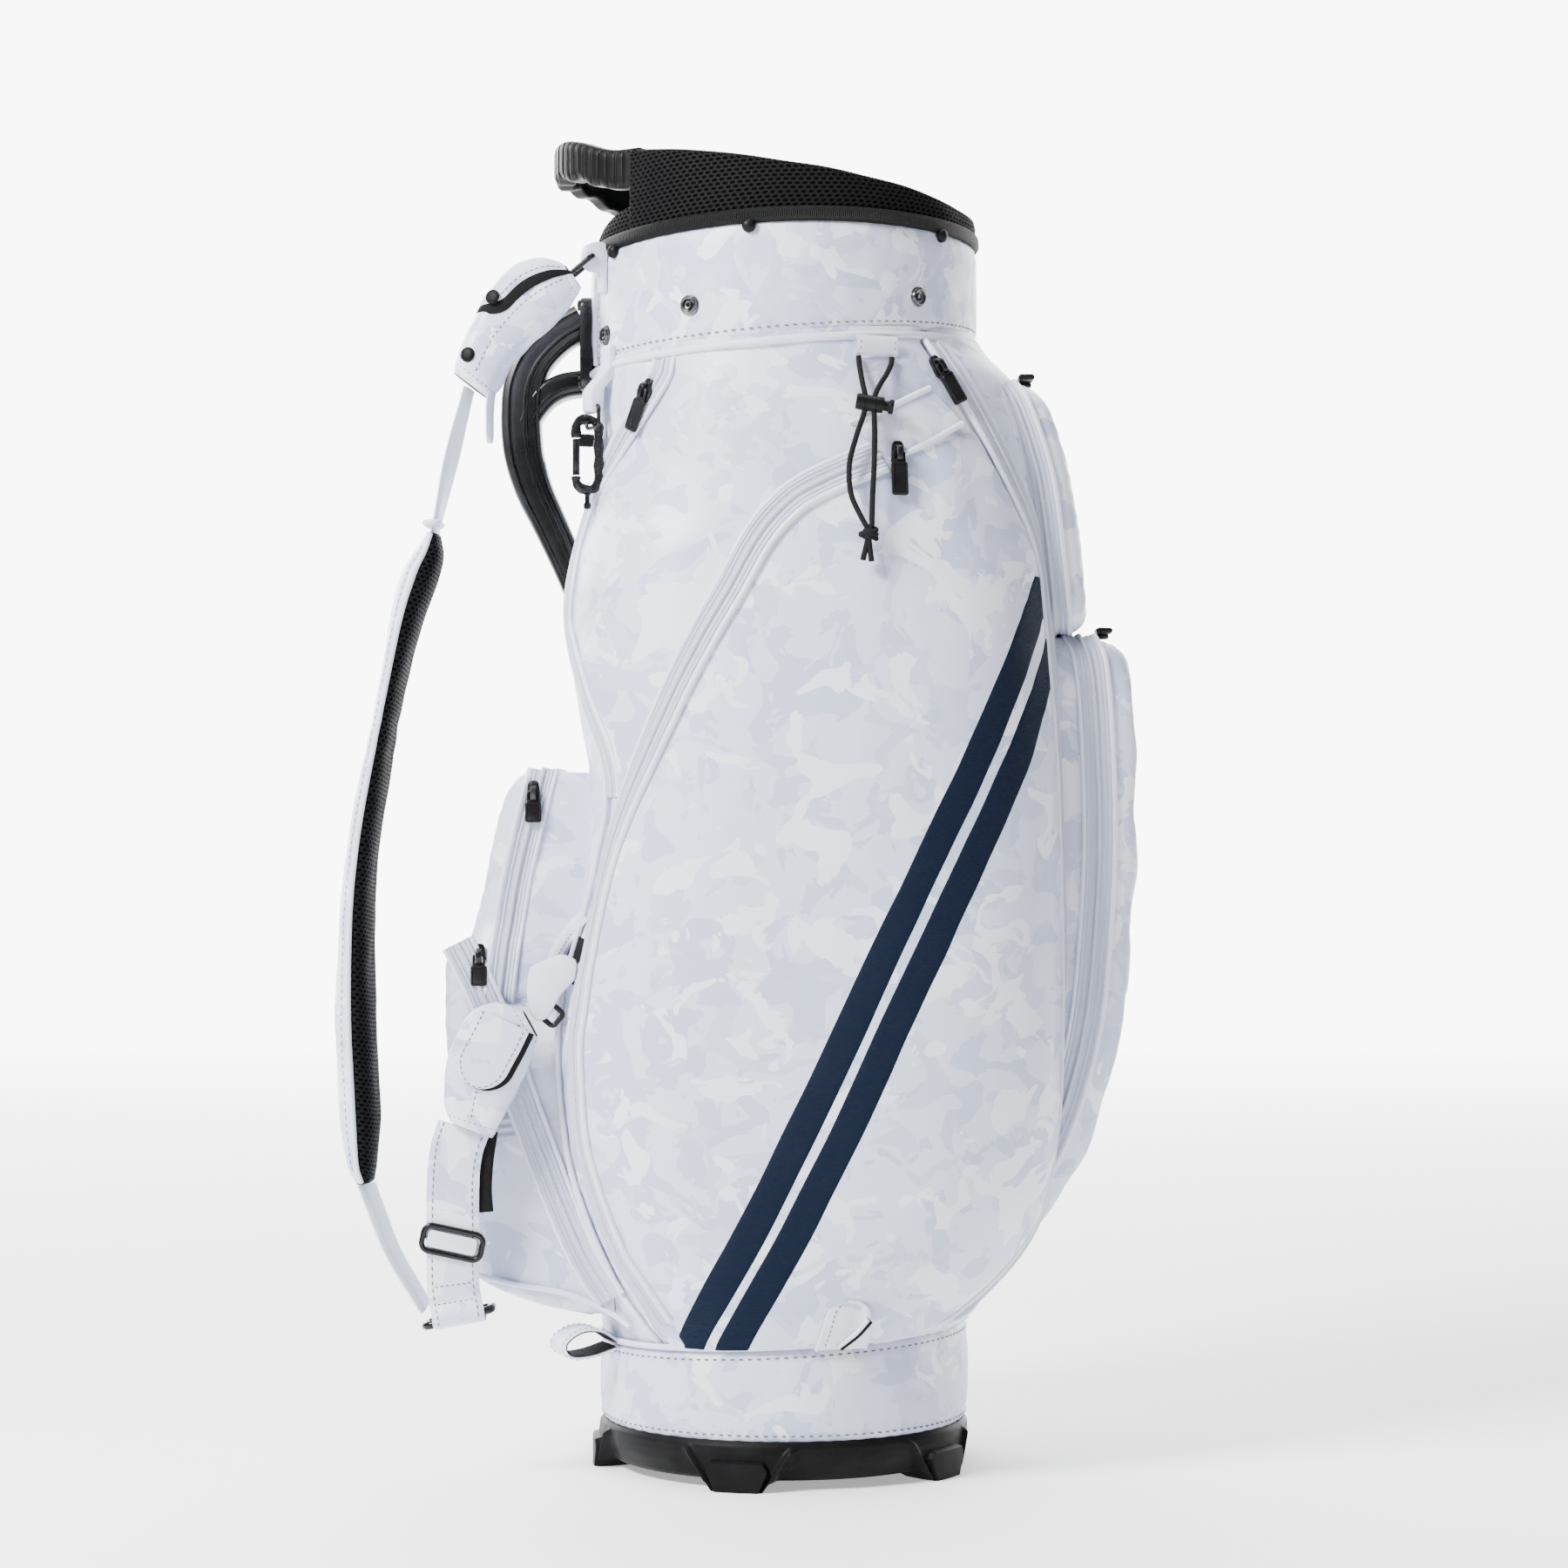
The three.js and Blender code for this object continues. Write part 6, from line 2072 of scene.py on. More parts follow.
    def cap(self, profile: Sequence[Sequence[float]], sides: int, turn: float, radius: float, z: float) -> MeshPart:
        """A turned cap that faces away from the cuff at an angle, a radius and a height."""
        out = (math.cos(turn), -math.sin(turn), 0)
        return placed(outward(lathe(profile, sides)), (radius * out[0], radius * out[1], z), (0, 0, 1), out)


@dataclass
class Mouth(Maker):
    """The club mouth: binding tape, mesh collar, frame wall, club grid and the grab handle."""

    slot: str = "black_plastic"
    high_end: float = 141.0
    handle_height: float = 26.0
    handle_bottom: float = 817.5
    handle_half: float = 7.5
    handle_sink: float = 10.5
    grid_height: float = 786.0
    wall_bottom: float = 735.0
    wall_low_top: float = 787.0
    high_roll: tuple[float, float] = (122.2, 110.6)
    low_roll: tuple[float, float] = (121.0, 111.8)
    crest: float = 3.4
    inside_depth: float = 26.0

    def build(self) -> None:
        """Makes the mouth's pieces."""
        self.binding()
        self.collar()
        self.frame()
        self.handle()

    def binding(self) -> None:
        """The ribbed tape over the cuff's upper edge."""
        profile = np.array(
            [
                [119.6, -4.6], [122.4, -4.7], [124.3, -4.0], [125.2, -2.4], [125.3, 0],
                [125.0, 2.3], [124.0, 3.9], [122.0, 4.5], [118.6, 4.4],
            ]
        )
        fine = smooth_path([(r, h, 0) for r, h in profile], 30)[:, :2]
        heights = cuff_top(FULL_TURN)[:, None] + fine[None, :, 1]
        part = hoop(FULL_TURN, np.repeat(fine[None, :, 0], TURN_STEPS, axis=0), heights)
        self.piece("binding_tape", part, Finish.BLACK_TAPE, ["collar_binding"], slot="black_mesh")

    def collar(self) -> None:
        """The padded mesh collar: high beside the mouth, low behind it, with a hem where it steps."""
        end = math.radians(self.high_end)
        high = np.linspace(-end, end, 301)
        front = self.roll(high, rim_high(high), *self.high_roll)
        self.piece("mesh_collar_high", front, Finish.MESH, ["mesh_collar"], slot="black_mesh")
        back = np.linspace(end - 0.06, 2 * np.pi - end + 0.06, 120)
        turn = np.degrees(np.minimum(back, 2 * np.pi - back))
        low_top = mix(795.0, 780.0, smooth_step(turn, 140.0, 176.0))
        self.piece("mesh_collar_low", self.roll(back, low_top, *self.low_roll), Finish.MESH, slot="black_mesh")
        hems = []
        for side in (-1, 1):
            angle = side * end
            low = float(cuff_top(np.array(angle))) + 2.0
            top = float(rim_high(np.array(angle)))
            rows = np.linspace(0, 1, 30)
            z = mix(low, top - 3.6, rows)
            outline = circle(1.0, 14) * [3.6, 2.4]
            path = np.stack([np.full(30, 120.2 * math.cos(angle)), np.full(30, -120.2 * math.sin(angle)), z], axis=1)
            normals = alike([math.cos(angle), -math.sin(angle), 0.0], 30)
            hems.append(filled(sweep(path, normals, outline)))
            arch_turn = np.linspace(0, np.pi, 16)
            radius = 116.4 + 4.6 * np.cos(arch_turn)
            arch = np.stack(
                [radius * math.cos(angle), -radius * math.sin(angle), top - 4.4 + 3.0 * np.sin(arch_turn)], axis=1
            )
            hems.append(outward(tube(arch, 2.6, 10)))
        self.piece("collar_hems", join_parts(hems), Finish.MESH, slot="black_mesh")

    def roll(self, angles: Points, top: Points, outer: float, inner: float) -> MeshPart:
        """A padded sheet that rises outside, rolls over its top and goes down inside.

        Args:
            angles: Angles that it covers.
            top: Its height at each angle.
            outer: Radius outside.
            inner: Radius inside.

        Returns:
            The part.
        """
        low = cuff_top(angles) + 4.0
        share = np.linspace(0, 1, 26)[None, :]
        middle, half = (outer + inner) / 2, (outer - inner) / 2
        rise = mix(low[:, None], top[:, None] - self.crest, share)
        puff = 0.8 * np.sin(np.pi * share) + 0 * rise
        over = np.linspace(0, np.pi, 16)[None, 1:]
        crest_r = middle + half * np.cos(over) + 0 * rise[:, :1]
        crest_z = top[:, None] - self.crest + 3.6 * np.sin(over) ** 0.8
        down = np.linspace(0, 1, 8)[None, 1:]
        inside_z = top[:, None] - self.crest - self.inside_depth * down
        radii = np.concatenate([outer + puff, crest_r, inner + 0.6 * down + 0 * inside_z], axis=1)
        heights = np.concatenate([rise, crest_z, inside_z], axis=1)
        spot = np.stack([radii * np.cos(angles)[:, None], radii * np.sin(angles)[:, None], heights], axis=-1)
        radii = radii + 0.7 * waves(spot, 46.0, 91)
        heights = heights + 0.5 * waves(spot, 60.0, 92)
        return hoop(angles, radii, heights, upright=True)

    def frame(self) -> None:
        """The frame's wall, the ring and bars of the club grid, with rounded upper edges."""
        turns = FULL_TURN
        step = smooth_step(np.degrees(np.minimum(turns, 2 * np.pi - turns)), 139.5, 142.5)
        rim = mix(rim_high(turns), self.wall_low_top, step) - 2.0
        profile = [(118.5, 0.0), (118.5, 0.98), (117.0, 1.0), (114.0, 1.0), (112.4, 0.98), (112.3, 0.0)]
        radii = alike([r for r, _ in profile], TURN_STEPS)
        heights = np.stack([mix(self.wall_bottom, rim, share) for _, share in profile], axis=1)
        wall = hoop(turns, radii, heights)
        high = self.grid_height - CLUB_GRID_SLOPE * TUBE_RADIUS * np.cos(turns)
        ring_r = alike([112.6, 105.2, 104.2, 104.0, 104.2, 105.6, 112.6], TURN_STEPS)
        ring_z = high[:, None] + np.array([0.3, 0.0, -1.0, -7.0, -13.0, -14.0, -14.0])[None, :]
        seat = hoop(turns, ring_r, ring_z)
        flipped(seat)
        bars = []
        for start, finish in (((-108, 0), (108, 0)), ((36, -101), (36, 101)), ((-36, -101), (-36, 101))):
            line = np.linspace(start, finish, 24)
            path = np.column_stack([line, self.grid_height - 7.0 - CLUB_GRID_SLOPE * line[:, 0]])
            outline = rounded_outline(7.0, 14.0, 2.6, 5)
            bars.append(filled(sweep(path, alike([0.0, 0.0, 1.0], 24), outline)))
        self.piece("frame_wall", wall, Finish.PLASTIC, ["mouth_frame"])
        self.piece("club_grid", join_parts([seat, *bars]), Finish.PLASTIC)

    def handle_path(self, count: int) -> Points:
        """The grab handle's middle line, seen from above, made of two mirrored Bezier curves.

        Args:
            count: Points along it.

        Returns:
            The line, which sinks towards its ends.
        """
        t = np.linspace(0, 1, 90)[:, None]
        knots = np.array([(-88.5, 65.8), (-115.5, 48.0), (-140.5, 30.0), (-140.5, 0.0)])
        rest = 1 - t
        half = rest**3 * knots[0] + 3 * rest**2 * t * knots[1] + 3 * rest * t**2 * knots[2] + t**3 * knots[3]
        both = np.vstack([half, half[-2::-1] * [1, -1]])
        line = even_path(
            np.column_stack([both, np.full(len(both), self.handle_bottom + self.handle_height / 2)]), count
        )
        line[:, 2] -= self.handle_sink * smooth_step(np.abs(np.linspace(-1, 1, count)), 0.22, 0.85)
        return line

    def handle(self) -> None:
        """The grab handle: flutes outside, finger grooves beneath, edges rounded."""
        count = 420
        path = self.handle_path(count)
        along = np.linspace(0, path_length(path), count)
        way = tangents(path)
        out = unit(np.stack([-way[:, 1], way[:, 0], 0 * along], axis=1))
        out *= np.sign(np.sum(out * (path * [1, 1, 0]), axis=1).mean())
        outline = even_path(np.vstack([rounded_outline(2, 2, 0.5, 7), rounded_outline(2, 2, 0.5, 7)[:1]]), 57)[:-1]
        a, b = outline[None, :, 0], outline[None, :, 1]
        middle = along[-1] / 2
        flutes = np.abs(np.cos(np.pi * (along - middle) / 6.6)) ** 14
        grooves = 0.5 + 0.5 * np.cos(2 * np.pi * (along - middle) / 21.0)
        reach = 1 - smooth_step(np.abs(along - middle), 52.0, 66.0)
        depth = 0.95 * flutes[:, None] * smooth_step(a, 0.55, 0.95) * smooth_step(np.abs(b), 1.05, 0.8)
        lift = 2.6 * (grooves * reach)[:, None] * smooth_step(-b, 0.3, 0.9)
        drop = 1.4 * smooth_step(np.abs(along - middle), 40.0, 75.0)[:, None] * smooth_step(b, 0.2, 0.9)
        outward_part = a * self.handle_half - depth
        upward = b * self.handle_height / 2 + lift - drop
        sideways = path[:, None, :] + out[:, None, :] * outward_part[..., None]
        points = sideways + np.array([0, 0, 1.0]) * upward[..., None]
        self.piece("grab_handle", filled(points), Finish.PLASTIC)


@dataclass
class BaseMoulding(Maker):
    """The black base: a ring with five feet, each a six-sided pad between two flared ribs."""

    first_angle: float = 104.0
    feet: int = 5
    columns: int = 1440
    top: float = 30.2
    foot_radius: float = 119.0
    foot_body: float = 118.2
    pad_radius: float = 122.6
    rib_radius: float = 121.4
    floor_radius: float = 84.0
    floor_height: float = 5.0
    ring: Profile = Profile(
        ((5.0, 108.5), (8.0, 111.5), (14.0, 114.2), (21.0, 117.0), (24.5, 117.4), (27.5, 117.2), (30.2, 115.2))
    )

    def build(self) -> None:
        """Makes the base as one surface over angle and height, closed underneath."""
        angle = np.linspace(0, 2 * np.pi, self.columns + 1)
        pitch = 2 * np.pi / self.feet
        offset = (angle - math.radians(self.first_angle) + pitch / 2) % pitch - pitch / 2
        across = offset * self.foot_radius
        foot = 1 - smooth_step(np.abs(across), 15.0, 21.0)
        low = mix(6.0, 0.0, foot)
        share = np.linspace(0, 1, 44)[None, :]
        z = low[:, None] + (self.top - low[:, None]) * share
        ring = self.ring(z)
        reach = np.abs(across)[:, None]
        half = np.interp(z, [0.0, 12.0, 13.5, 18.5], [14.0, 19.4, 19.4, 16.5])
        pad = (1 - smooth_step(reach - half, -0.8, 0.8)) * (1 - smooth_step(z, 17.6, 19.0))
        rib_at = mix(16.5, 35.0, np.clip(z / 27.0, 0, 1))
        rib = bump(reach, rib_at, 2.6) * (1 - smooth_step(z, 23.5, 28.0))
        body = (1 - smooth_step(reach, rib_at - 1.0, rib_at + 1.0)) * (1 - smooth_step(z, 22.0, 27.0))
        under = np.maximum(ring, self.foot_body * body + ring * (1 - body))
        radius = under + pad * (self.pad_radius - under) + (1 - pad) * rib * np.maximum(self.rib_radius - under, 0)
        radius = radius + 0.9 * (smooth_step(reach, 38.0, 50.0) * bump(z, 16.0, 5.0))
        radius[-1] = radius[0]
        wall = hoop(angle, radius, z)
        steps = np.array([0.0, 0.25, 0.6, 1.0])[None, :]
        ground = mix(radius[:, :1], self.floor_radius, steps)
        floor_z = low[:, None] + np.array([0.0, 0.0, 0.6, self.floor_height])[None, :] * (0.4 + 0.6 * foot[:, None])
        bottom = hoop(angle, ground, floor_z)
        few = angle[::8]
        inward = mix(self.floor_radius, 0.6, np.linspace(0, 1, 10))
        inner = hoop(few, alike(inward, len(few)), np.full((len(few), 10), self.floor_height))
        for sheet in (bottom, inner):
            flipped(sheet, face_ways(sheet)[1][:, 2].sum() > 0)
        lip_r = np.stack([radius[:, -1], np.full(len(angle), 113.0), np.full(len(angle), 109.0)], axis=1)
        lip = hoop(angle, lip_r, alike([self.top, 30.6, 30.6], len(angle)))
        rest = outward(lathe([(0, 0.0), (29.0, 0.0), (30.0, 1.0), (30.0, 7.0), (0, 7.0)], 48))
        cup = hoop(few, alike([106.6, 106.2, 0.5], len(few)), alike([60.0, 12.0, 12.0], len(few)))
        flipped(cup)
        whole = join_parts([wall, bottom, inner, lip, rest, cup])
        self.piece("base_feet_ring", whole, Finish.RUBBER, ["base_moulding"], slot="black_plastic", smooth=28)


@dataclass
class SpineHandle(Maker):
    """The moulded spine handle: a channelled outer branch, a lower arm, grip blocks and its plate."""

    slot: str = "black_plastic"
    main: tuple[tuple[float, float, float], ...] = (
        (-129, 731.5, 11.2), (-146, 721, 11.8), (-160, 706.5, 12.4), (-167.2, 690, 13.0), (-168.8, 672, 13.2),
        (-168.2, 655, 13.2), (-166.0, 640, 12.8), (-160.3, 622, 12.2), (-152.4, 605, 11.4), (-144.6, 588, 10.8),
        (-137, 571, 10.4), (-129.5, 554, 10.4), (-123, 540, 9.6),
    )
    arm: tuple[tuple[float, float, float], ...] = (
        (-129, 691.4, 8.4), (-141, 689.4, 8.4), (-151, 684.5, 8.4), (-159, 676, 8.2), (-165, 664, 7.0),
    )
    half_width: float = 15.0

    def build(self) -> None:
        """Makes the handle and its plate."""
        parts = [self.branch(self.main, 180, 1.0), self.branch(self.arm, 90, 0.9)]
        self.piece("spine_handle_frame", join_parts(parts), Finish.SATIN, ["spine_handle"], smooth=35)
        self.piece("spine_handle_grips", self.grips(), Finish.RUBBER)
        self.plate()

    def branch(self, knots: Sequence[tuple[float, float, float]], count: int, width: float) -> MeshPart:
        """One branch: a rounded section with a wide and a narrow channel in both of its faces.

        Args:
            knots: Middle line as x and z, with the half height of the section.
            count: Points along it.
            width: Share of the handle's full width.

        Returns:
            The part.
        """
        line = smooth_path(knots, count)
        path = np.column_stack([line[:, 0], np.zeros(count), line[:, 1]])
        flat, steps = 0.86, 41
        a = np.concatenate([np.linspace(-flat, flat, steps), np.linspace(flat, -flat, steps)])
        side = np.repeat([1.0, -1.0], steps)
        crown = 1 - 0.16 * np.abs(a / flat) ** 3
        wide = 0.17 * (smooth_step(a, -0.58, -0.50) - smooth_step(a, 0.16, 0.24))
        narrow = 0.12 * (smooth_step(a, 0.34, 0.40) - smooth_step(a, 0.70, 0.76))
        b = side * (crown - wide - narrow)
        turn = np.linspace(np.pi / 2, -np.pi / 2, 9)[1:-1]
        right = np.stack([flat + 0.14 * np.cos(turn), 0.84 * np.sin(turn)], axis=1)
        faces = np.stack([a, b], axis=1)
        outline = np.vstack([faces[:steps], right, faces[steps:], -right])
        normals = alike([0.0, 1.0, 0.0], count)
        aside = np.cross(tangents(path), normals)
        sizes = np.stack([line[:, 2], np.full(count, self.half_width * width)], axis=1)
        spread = outline[None, :, :] * sizes[:, None, :]
        points = path[:, None, :] + aside[:, None, :] * spread[..., :1] + normals[:, None, :] * spread[..., 1:]
        return filled(points)

    def grips(self) -> MeshPart:
        """Small raised blocks along the inner edge of the grip."""
        inner = smooth_path([(-154.6, 640), (-151.5, 628), (-147.0, 616), (-141.8, 604), (-138.2, 596)], 60)
        way = unit(np.gradient(inner, axis=0))
        blocks = []
        for spot in np.linspace(2, 57, 9).astype(int):
            at = np.array([inner[spot, 0], 0, inner[spot, 1]])
            along = np.array([way[spot, 0], 0, way[spot, 1]])
            out = np.array([-along[2], 0, along[0]])
            out = out if out[0] > 0 else -out
            blocks.append(placed(rounded_block(5.0, 22.0, 2.4, 1.4, 0.6), at - out * 1.2, along, out))
        return join_parts(blocks)

    def plate(self) -> None:
        """The curved plate that holds the handle on the cuff, with four screws."""
        plate = placed(rounded_block(44.0, 60.0, 8.2, 7.0, 1.6), (-122.2, 0, 715), (0, -1, 0), (-1, 0, 0))
        self.piece("spine_plate_cover", plate, Finish.SATIN, ["spine_plate"])
        head = [(0, 1.0), (1.1, 1.0), (1.3, 1.7), (2.6, 1.6), (3.4, 0.9), (3.5, -0.5), (0, -0.5)]
        screws = [
            placed(outward(lathe(head, 20)), (-130.4, y, z), (0, 0, 1), (-1, 0, 0))
            for y in (-18.4, 18.4)
            for z in (690.5, 739.5)
        ]
        self.piece("spine_plate_screws", join_parts(screws), Finish.METAL, slot="black_metal")
        block = placed(rounded_block(8.0, 7.0, 9.0, 1.6, 0.8), (-122.0, -26.0, 652.0), (0, 0, 1), (-0.8, -0.6, 0))
        self.piece("spine_bracket", block, Finish.PLASTIC)


# ---------------------------------------------------------------------------------- zips and fittings


@dataclass
class ZipPulls(Maker):
    """Seven sliders, each with an arch and a moulded pull on a small link."""

    frames: dict[str, tuple[Point3, Point3, Point3]] = field(
        default_factory=lambda: {
            "a": ((-83.4, -94.46, 676), (0.596, -0.726, -0.342), (-0.74, -0.663, 0.118)),
            "b": ((94, -96.92, 690), (0.699, 0.592, 0.402), (0.518, -0.806, 0.287)),
            "c": ((68.84, -126.45, 634), (0.973, 0.231, 0), (0.229, -0.966, 0.123)),
            "d": ((153.9, -10, 687), (1, 0, 0), (0, 0, 1)),
            "e": ((203, -12, 526), (1, 0, 0), (0, 0, 1)),
            "f": ((-157, -58, 428), (1, 0, 0), (0, -1, 0)),
            "g": ((-190.5, -64, 326), (1, 0, 0), (0, -1, 0)),
        }
    )

    def build(self) -> None:
        """Makes every slider and pull."""
        for letter, (at, across, up) in self.frames.items():
            slider = placed(self.slider(), at, across, up)
            self.moving(f"slider_{letter}", slider, Finish.METAL, f"zip_slider_{letter}", "black_metal")
            pull = placed(self.pull(0.62 if letter in "fg" else 1.0), at, across, up)
            self.moving(f"pull_{letter}", pull, Finish.PULL, f"zip_pull_{letter}", "pull_plastic")

    def slider(self) -> MeshPart:
        """The slider: a shield-shaped body, a raised middle and the arch that holds the link."""
        body = rounded_block(9.0, 15.0, 2.9, 3.2, 0.7)
        body.points[:, 0] *= 1 - 0.22 * smooth_step(body.points[:, 1], -7.5, 7.5)
        body.points[:, 2] += 0.4
        top = rounded_block(5.4, 12.0, 1.0, 2.2, 0.4)
        top.points[:, 2] += 3.0
        arch = smooth_path(
            [(0, -4.8, 3.0), (0, -4.4, 6.2), (0, -2.6, 7.3), (0, 0.6, 7.4), (0, 3.0, 6.6), (0, 4.4, 3.6)], 26
        )
        bridge = capped_grid(sweep(arch, steady_normals(arch, (0, -1, 0.2)), rounded_outline(3.6, 1.3, 0.5, 4)))
        return join_parts([body, top, outward(bridge)])

    def pull(self, share: float) -> MeshPart:
        """The pull: a wire link through the arch and a flat moulded grip with a raised rim.

        Args:
            share: Length of the grip as a share of the long pulls'.

        Returns:
            The part.
        """
        length = 20.6 * share
        middle = -6.1 - length / 2
        loop = rounded_outline(6.6, 9.4, 2.6, 7)
        link = np.column_stack([loop[:, 0], loop[:, 1] - 3.6, np.full(len(loop), 4.8)])
        hanger = wire(even_loop(link, 44), 0.85, 8)
        grip = rounded_block(10.2, length, 2.6, 1.6, 0.55)
        grip.points += [0, middle, 3.5]
        neck = rounded_block(6.4, 4.2, 2.2, 1.4, 0.5)
        neck.points += [0, -6.6, 3.7]
        rims = []
        for z in (3.42, 6.18):
            ring = rounded_outline(8.2, length - 2.2, 1.2, 5)
            rim = even_loop(np.column_stack([ring[:, 0], ring[:, 1] + middle, np.full(len(ring), z)]), 60)
            rims.append(wire(rim, 0.42, 6))
        return join_parts([hanger, grip, neck, *rims])


def wire_link(width: float, height: float, thickness: float, corner: float, count: int = 64) -> Points:
    """The middle line, in X and Z, of a rounded rectangle of wire with the given outer sizes."""
    flat = rounded_outline(width - thickness, height - thickness, max(corner - thickness / 2, 0.6), 9)
    return even_loop(np.column_stack([flat[:, 0], np.zeros(len(flat)), flat[:, 1]]), count)


@dataclass
class SideGroup:
    """A local frame on the bag's side: X away from the axis, Y along it, Z up."""

    degrees: float

    def carry(self, part: MeshPart) -> MeshPart:
        """Turns a part from the local frame into the bag's."""
        turn = math.radians(self.degrees)
        return placed(part, (0, 0, 0), (math.cos(turn), -math.sin(turn), 0), (0, 0, 1))


def plate_part(
    drawing: Sequence[tuple[float, float]], width: float, rounding: float = 1.2, count: int = 90
) -> MeshPart:
    """A leather plate drawn in X and Z, with softened edges, centred on Y = 0.

    Args:
        drawing: Corners of the closed drawing.
        width: Size along Y.
        rounding: How far its corners are smoothed inwards.
        count: Points round it.

    Returns:
        The part.
    """
    loop = even_loop(np.array([(x, 0.0, z) for x, z in drawing], float), count)
    kernel = np.array([1, 3, 4, 3, 1], float)
    kernel /= kernel.sum()
    for _ in range(2):
        loop = sum(np.roll(loop, k - 2, axis=0) * weight for k, weight in enumerate(kernel))
    way = tangents(loop, closed=True)
    inward = np.stack([way[:, 2], 0 * way[:, 0], -way[:, 0]], axis=1)
    area = np.sum(loop[:, 0] * np.roll(loop[:, 2], -1) - np.roll(loop[:, 0], -1) * loop[:, 2])
    inward *= -np.sign(area)
    rings = []
    half = width / 2
    for y, inset in (
        (-half, rounding),
        (-half + rounding * 0.3, rounding * 0.3),
        (-half + rounding, 0),
        (half - rounding, 0),
        (half - rounding * 0.3, rounding * 0.3),
        (half, rounding),
    ):
        rings.append(loop + inward * inset + [0, y, 0])
    return filled(np.array(rings))


def leather_band(
    path: Points, across: Points, width: float, thickness: float, columns: int = 13, round_ends: float = 0.0
) -> MeshPart:
    """A flat band of leather with rounded edges along a path.

    Args:
        path: Its middle line.
        across: Direction of its width at each point.
        width: Its width.
        thickness: Its thickness.
        columns: Points across each face.
        round_ends: Length over which the far end narrows to a half round.

    Returns:
        The part.
    """
    way = tangents(path)
    wide = unit(across - way * np.sum(across * way, axis=1, keepdims=True))
    up = np.cross(way, wide)
    share = np.linspace(-1, 1, columns)
    profile = (1 - np.abs(share) ** 6) ** 0.5
    outline = np.vstack(
        [np.stack([share, profile], axis=1), np.stack([share[::-1][1:-1], -profile[::-1][1:-1]], axis=1)]
    )
    sizes = np.full(len(path), 1.0)
    if round_ends:
        left = path_length(path) - np.concatenate([[0], np.cumsum(np.linalg.norm(np.diff(path, axis=0), axis=1))])
        near = np.clip(1 - left / round_ends, 0, 1)
        sizes = np.sqrt(np.maximum(1 - near**2, 0.0025))
    flat = outline[None, :, :] * np.array([width / 2, thickness / 2])
    points = path[:, None, :] + wide[:, None, :] * flat[..., :1] * sizes[:, None, None] + up[:, None, :] * flat[..., 1:]
    return filled(points)


@dataclass
class Accessory(Maker):
    """The leather tab beside the spine handle, its ring, the snap hook and the gate."""

    degrees: float = 151.8

    def build(self) -> None:
        """Makes the four pieces."""
        group = SideGroup(self.degrees)
        tab = [
            (122.6, 709), (122.6, 690), (131, 681), (131.4, 666.6), (134, 665), (138.4, 665), (140.4, 667),
            (140.4, 680), (133, 688), (127.8, 695), (127.8, 709),
        ]
        leather = group.carry(plate_part(tab, 14.0, 1.4))
        self.piece("accessory_tab_leather", leather, Finish.LEATHER, ["accessory_tab"], slot="white_leather")
        ring = wire_link(20, 16, 2.5, 4.0)
        loop = wire(ring[:, [1, 0, 2]] + [136, 0, 663.2], 1.25, 10)
        self.moving("accessory_wire_ring", group.carry(loop), Finish.METAL, "accessory_ring", "black_metal")
        self.hook(group)

    def hook(self, group: SideGroup) -> None:
        """The faceted snap hook with its swivel peg, and the gate on its outer side.

        Args:
            group: Its place on the bag.
        """
        loop = wire_link(20, 48, 4.4, 8.0, 90) + [139.7, 0, 639.5]
        keep = ~((loop[:, 0] > 146) & (np.abs(loop[:, 2] - 637.5) < 11.2))
        first = int(np.argmax(~keep))
        order = np.roll(np.arange(90), -first)
        line = loop[order][keep[order]]
        facets = 1 + 0.16 * np.sin(np.linspace(0, 2 * np.pi * 7, len(line))) ** 3
        body = capped_grid(sweep(line, steady_normals(line, (0, 1, 0)), circle(3.1, 10), scale=facets))
        peg = lathe(
            [(0, 3.0), (1.6, 2.6), (2.3, 1.0), (1.5, 0.2), (1.5, -4.0), (2.4, -5.0), (2.2, -8.0), (0, -8.6)], 16
        )
        peg = placed(outward(peg), (139.7, 0, 613.5), (1, 0, 0), (0, 0, 1))
        whole = group.carry(join_parts([outward(body), peg]))
        self.moving("snap_hook_body", whole, Finish.GLOSS, "snap_hook", "black_plastic", smooth=25)
        bar = np.column_stack([np.full(12, 147.4), np.zeros(12), np.linspace(626.2, 648.8, 12)])
        gate = capped_grid(sweep(bar, alike([0.0, 1.0, 0.0], 12), circle(2.3, 10)))
        self.moving("snap_hook_spring_gate", group.carry(outward(gate)), Finish.METAL, "snap_hook_gate", "black_metal")


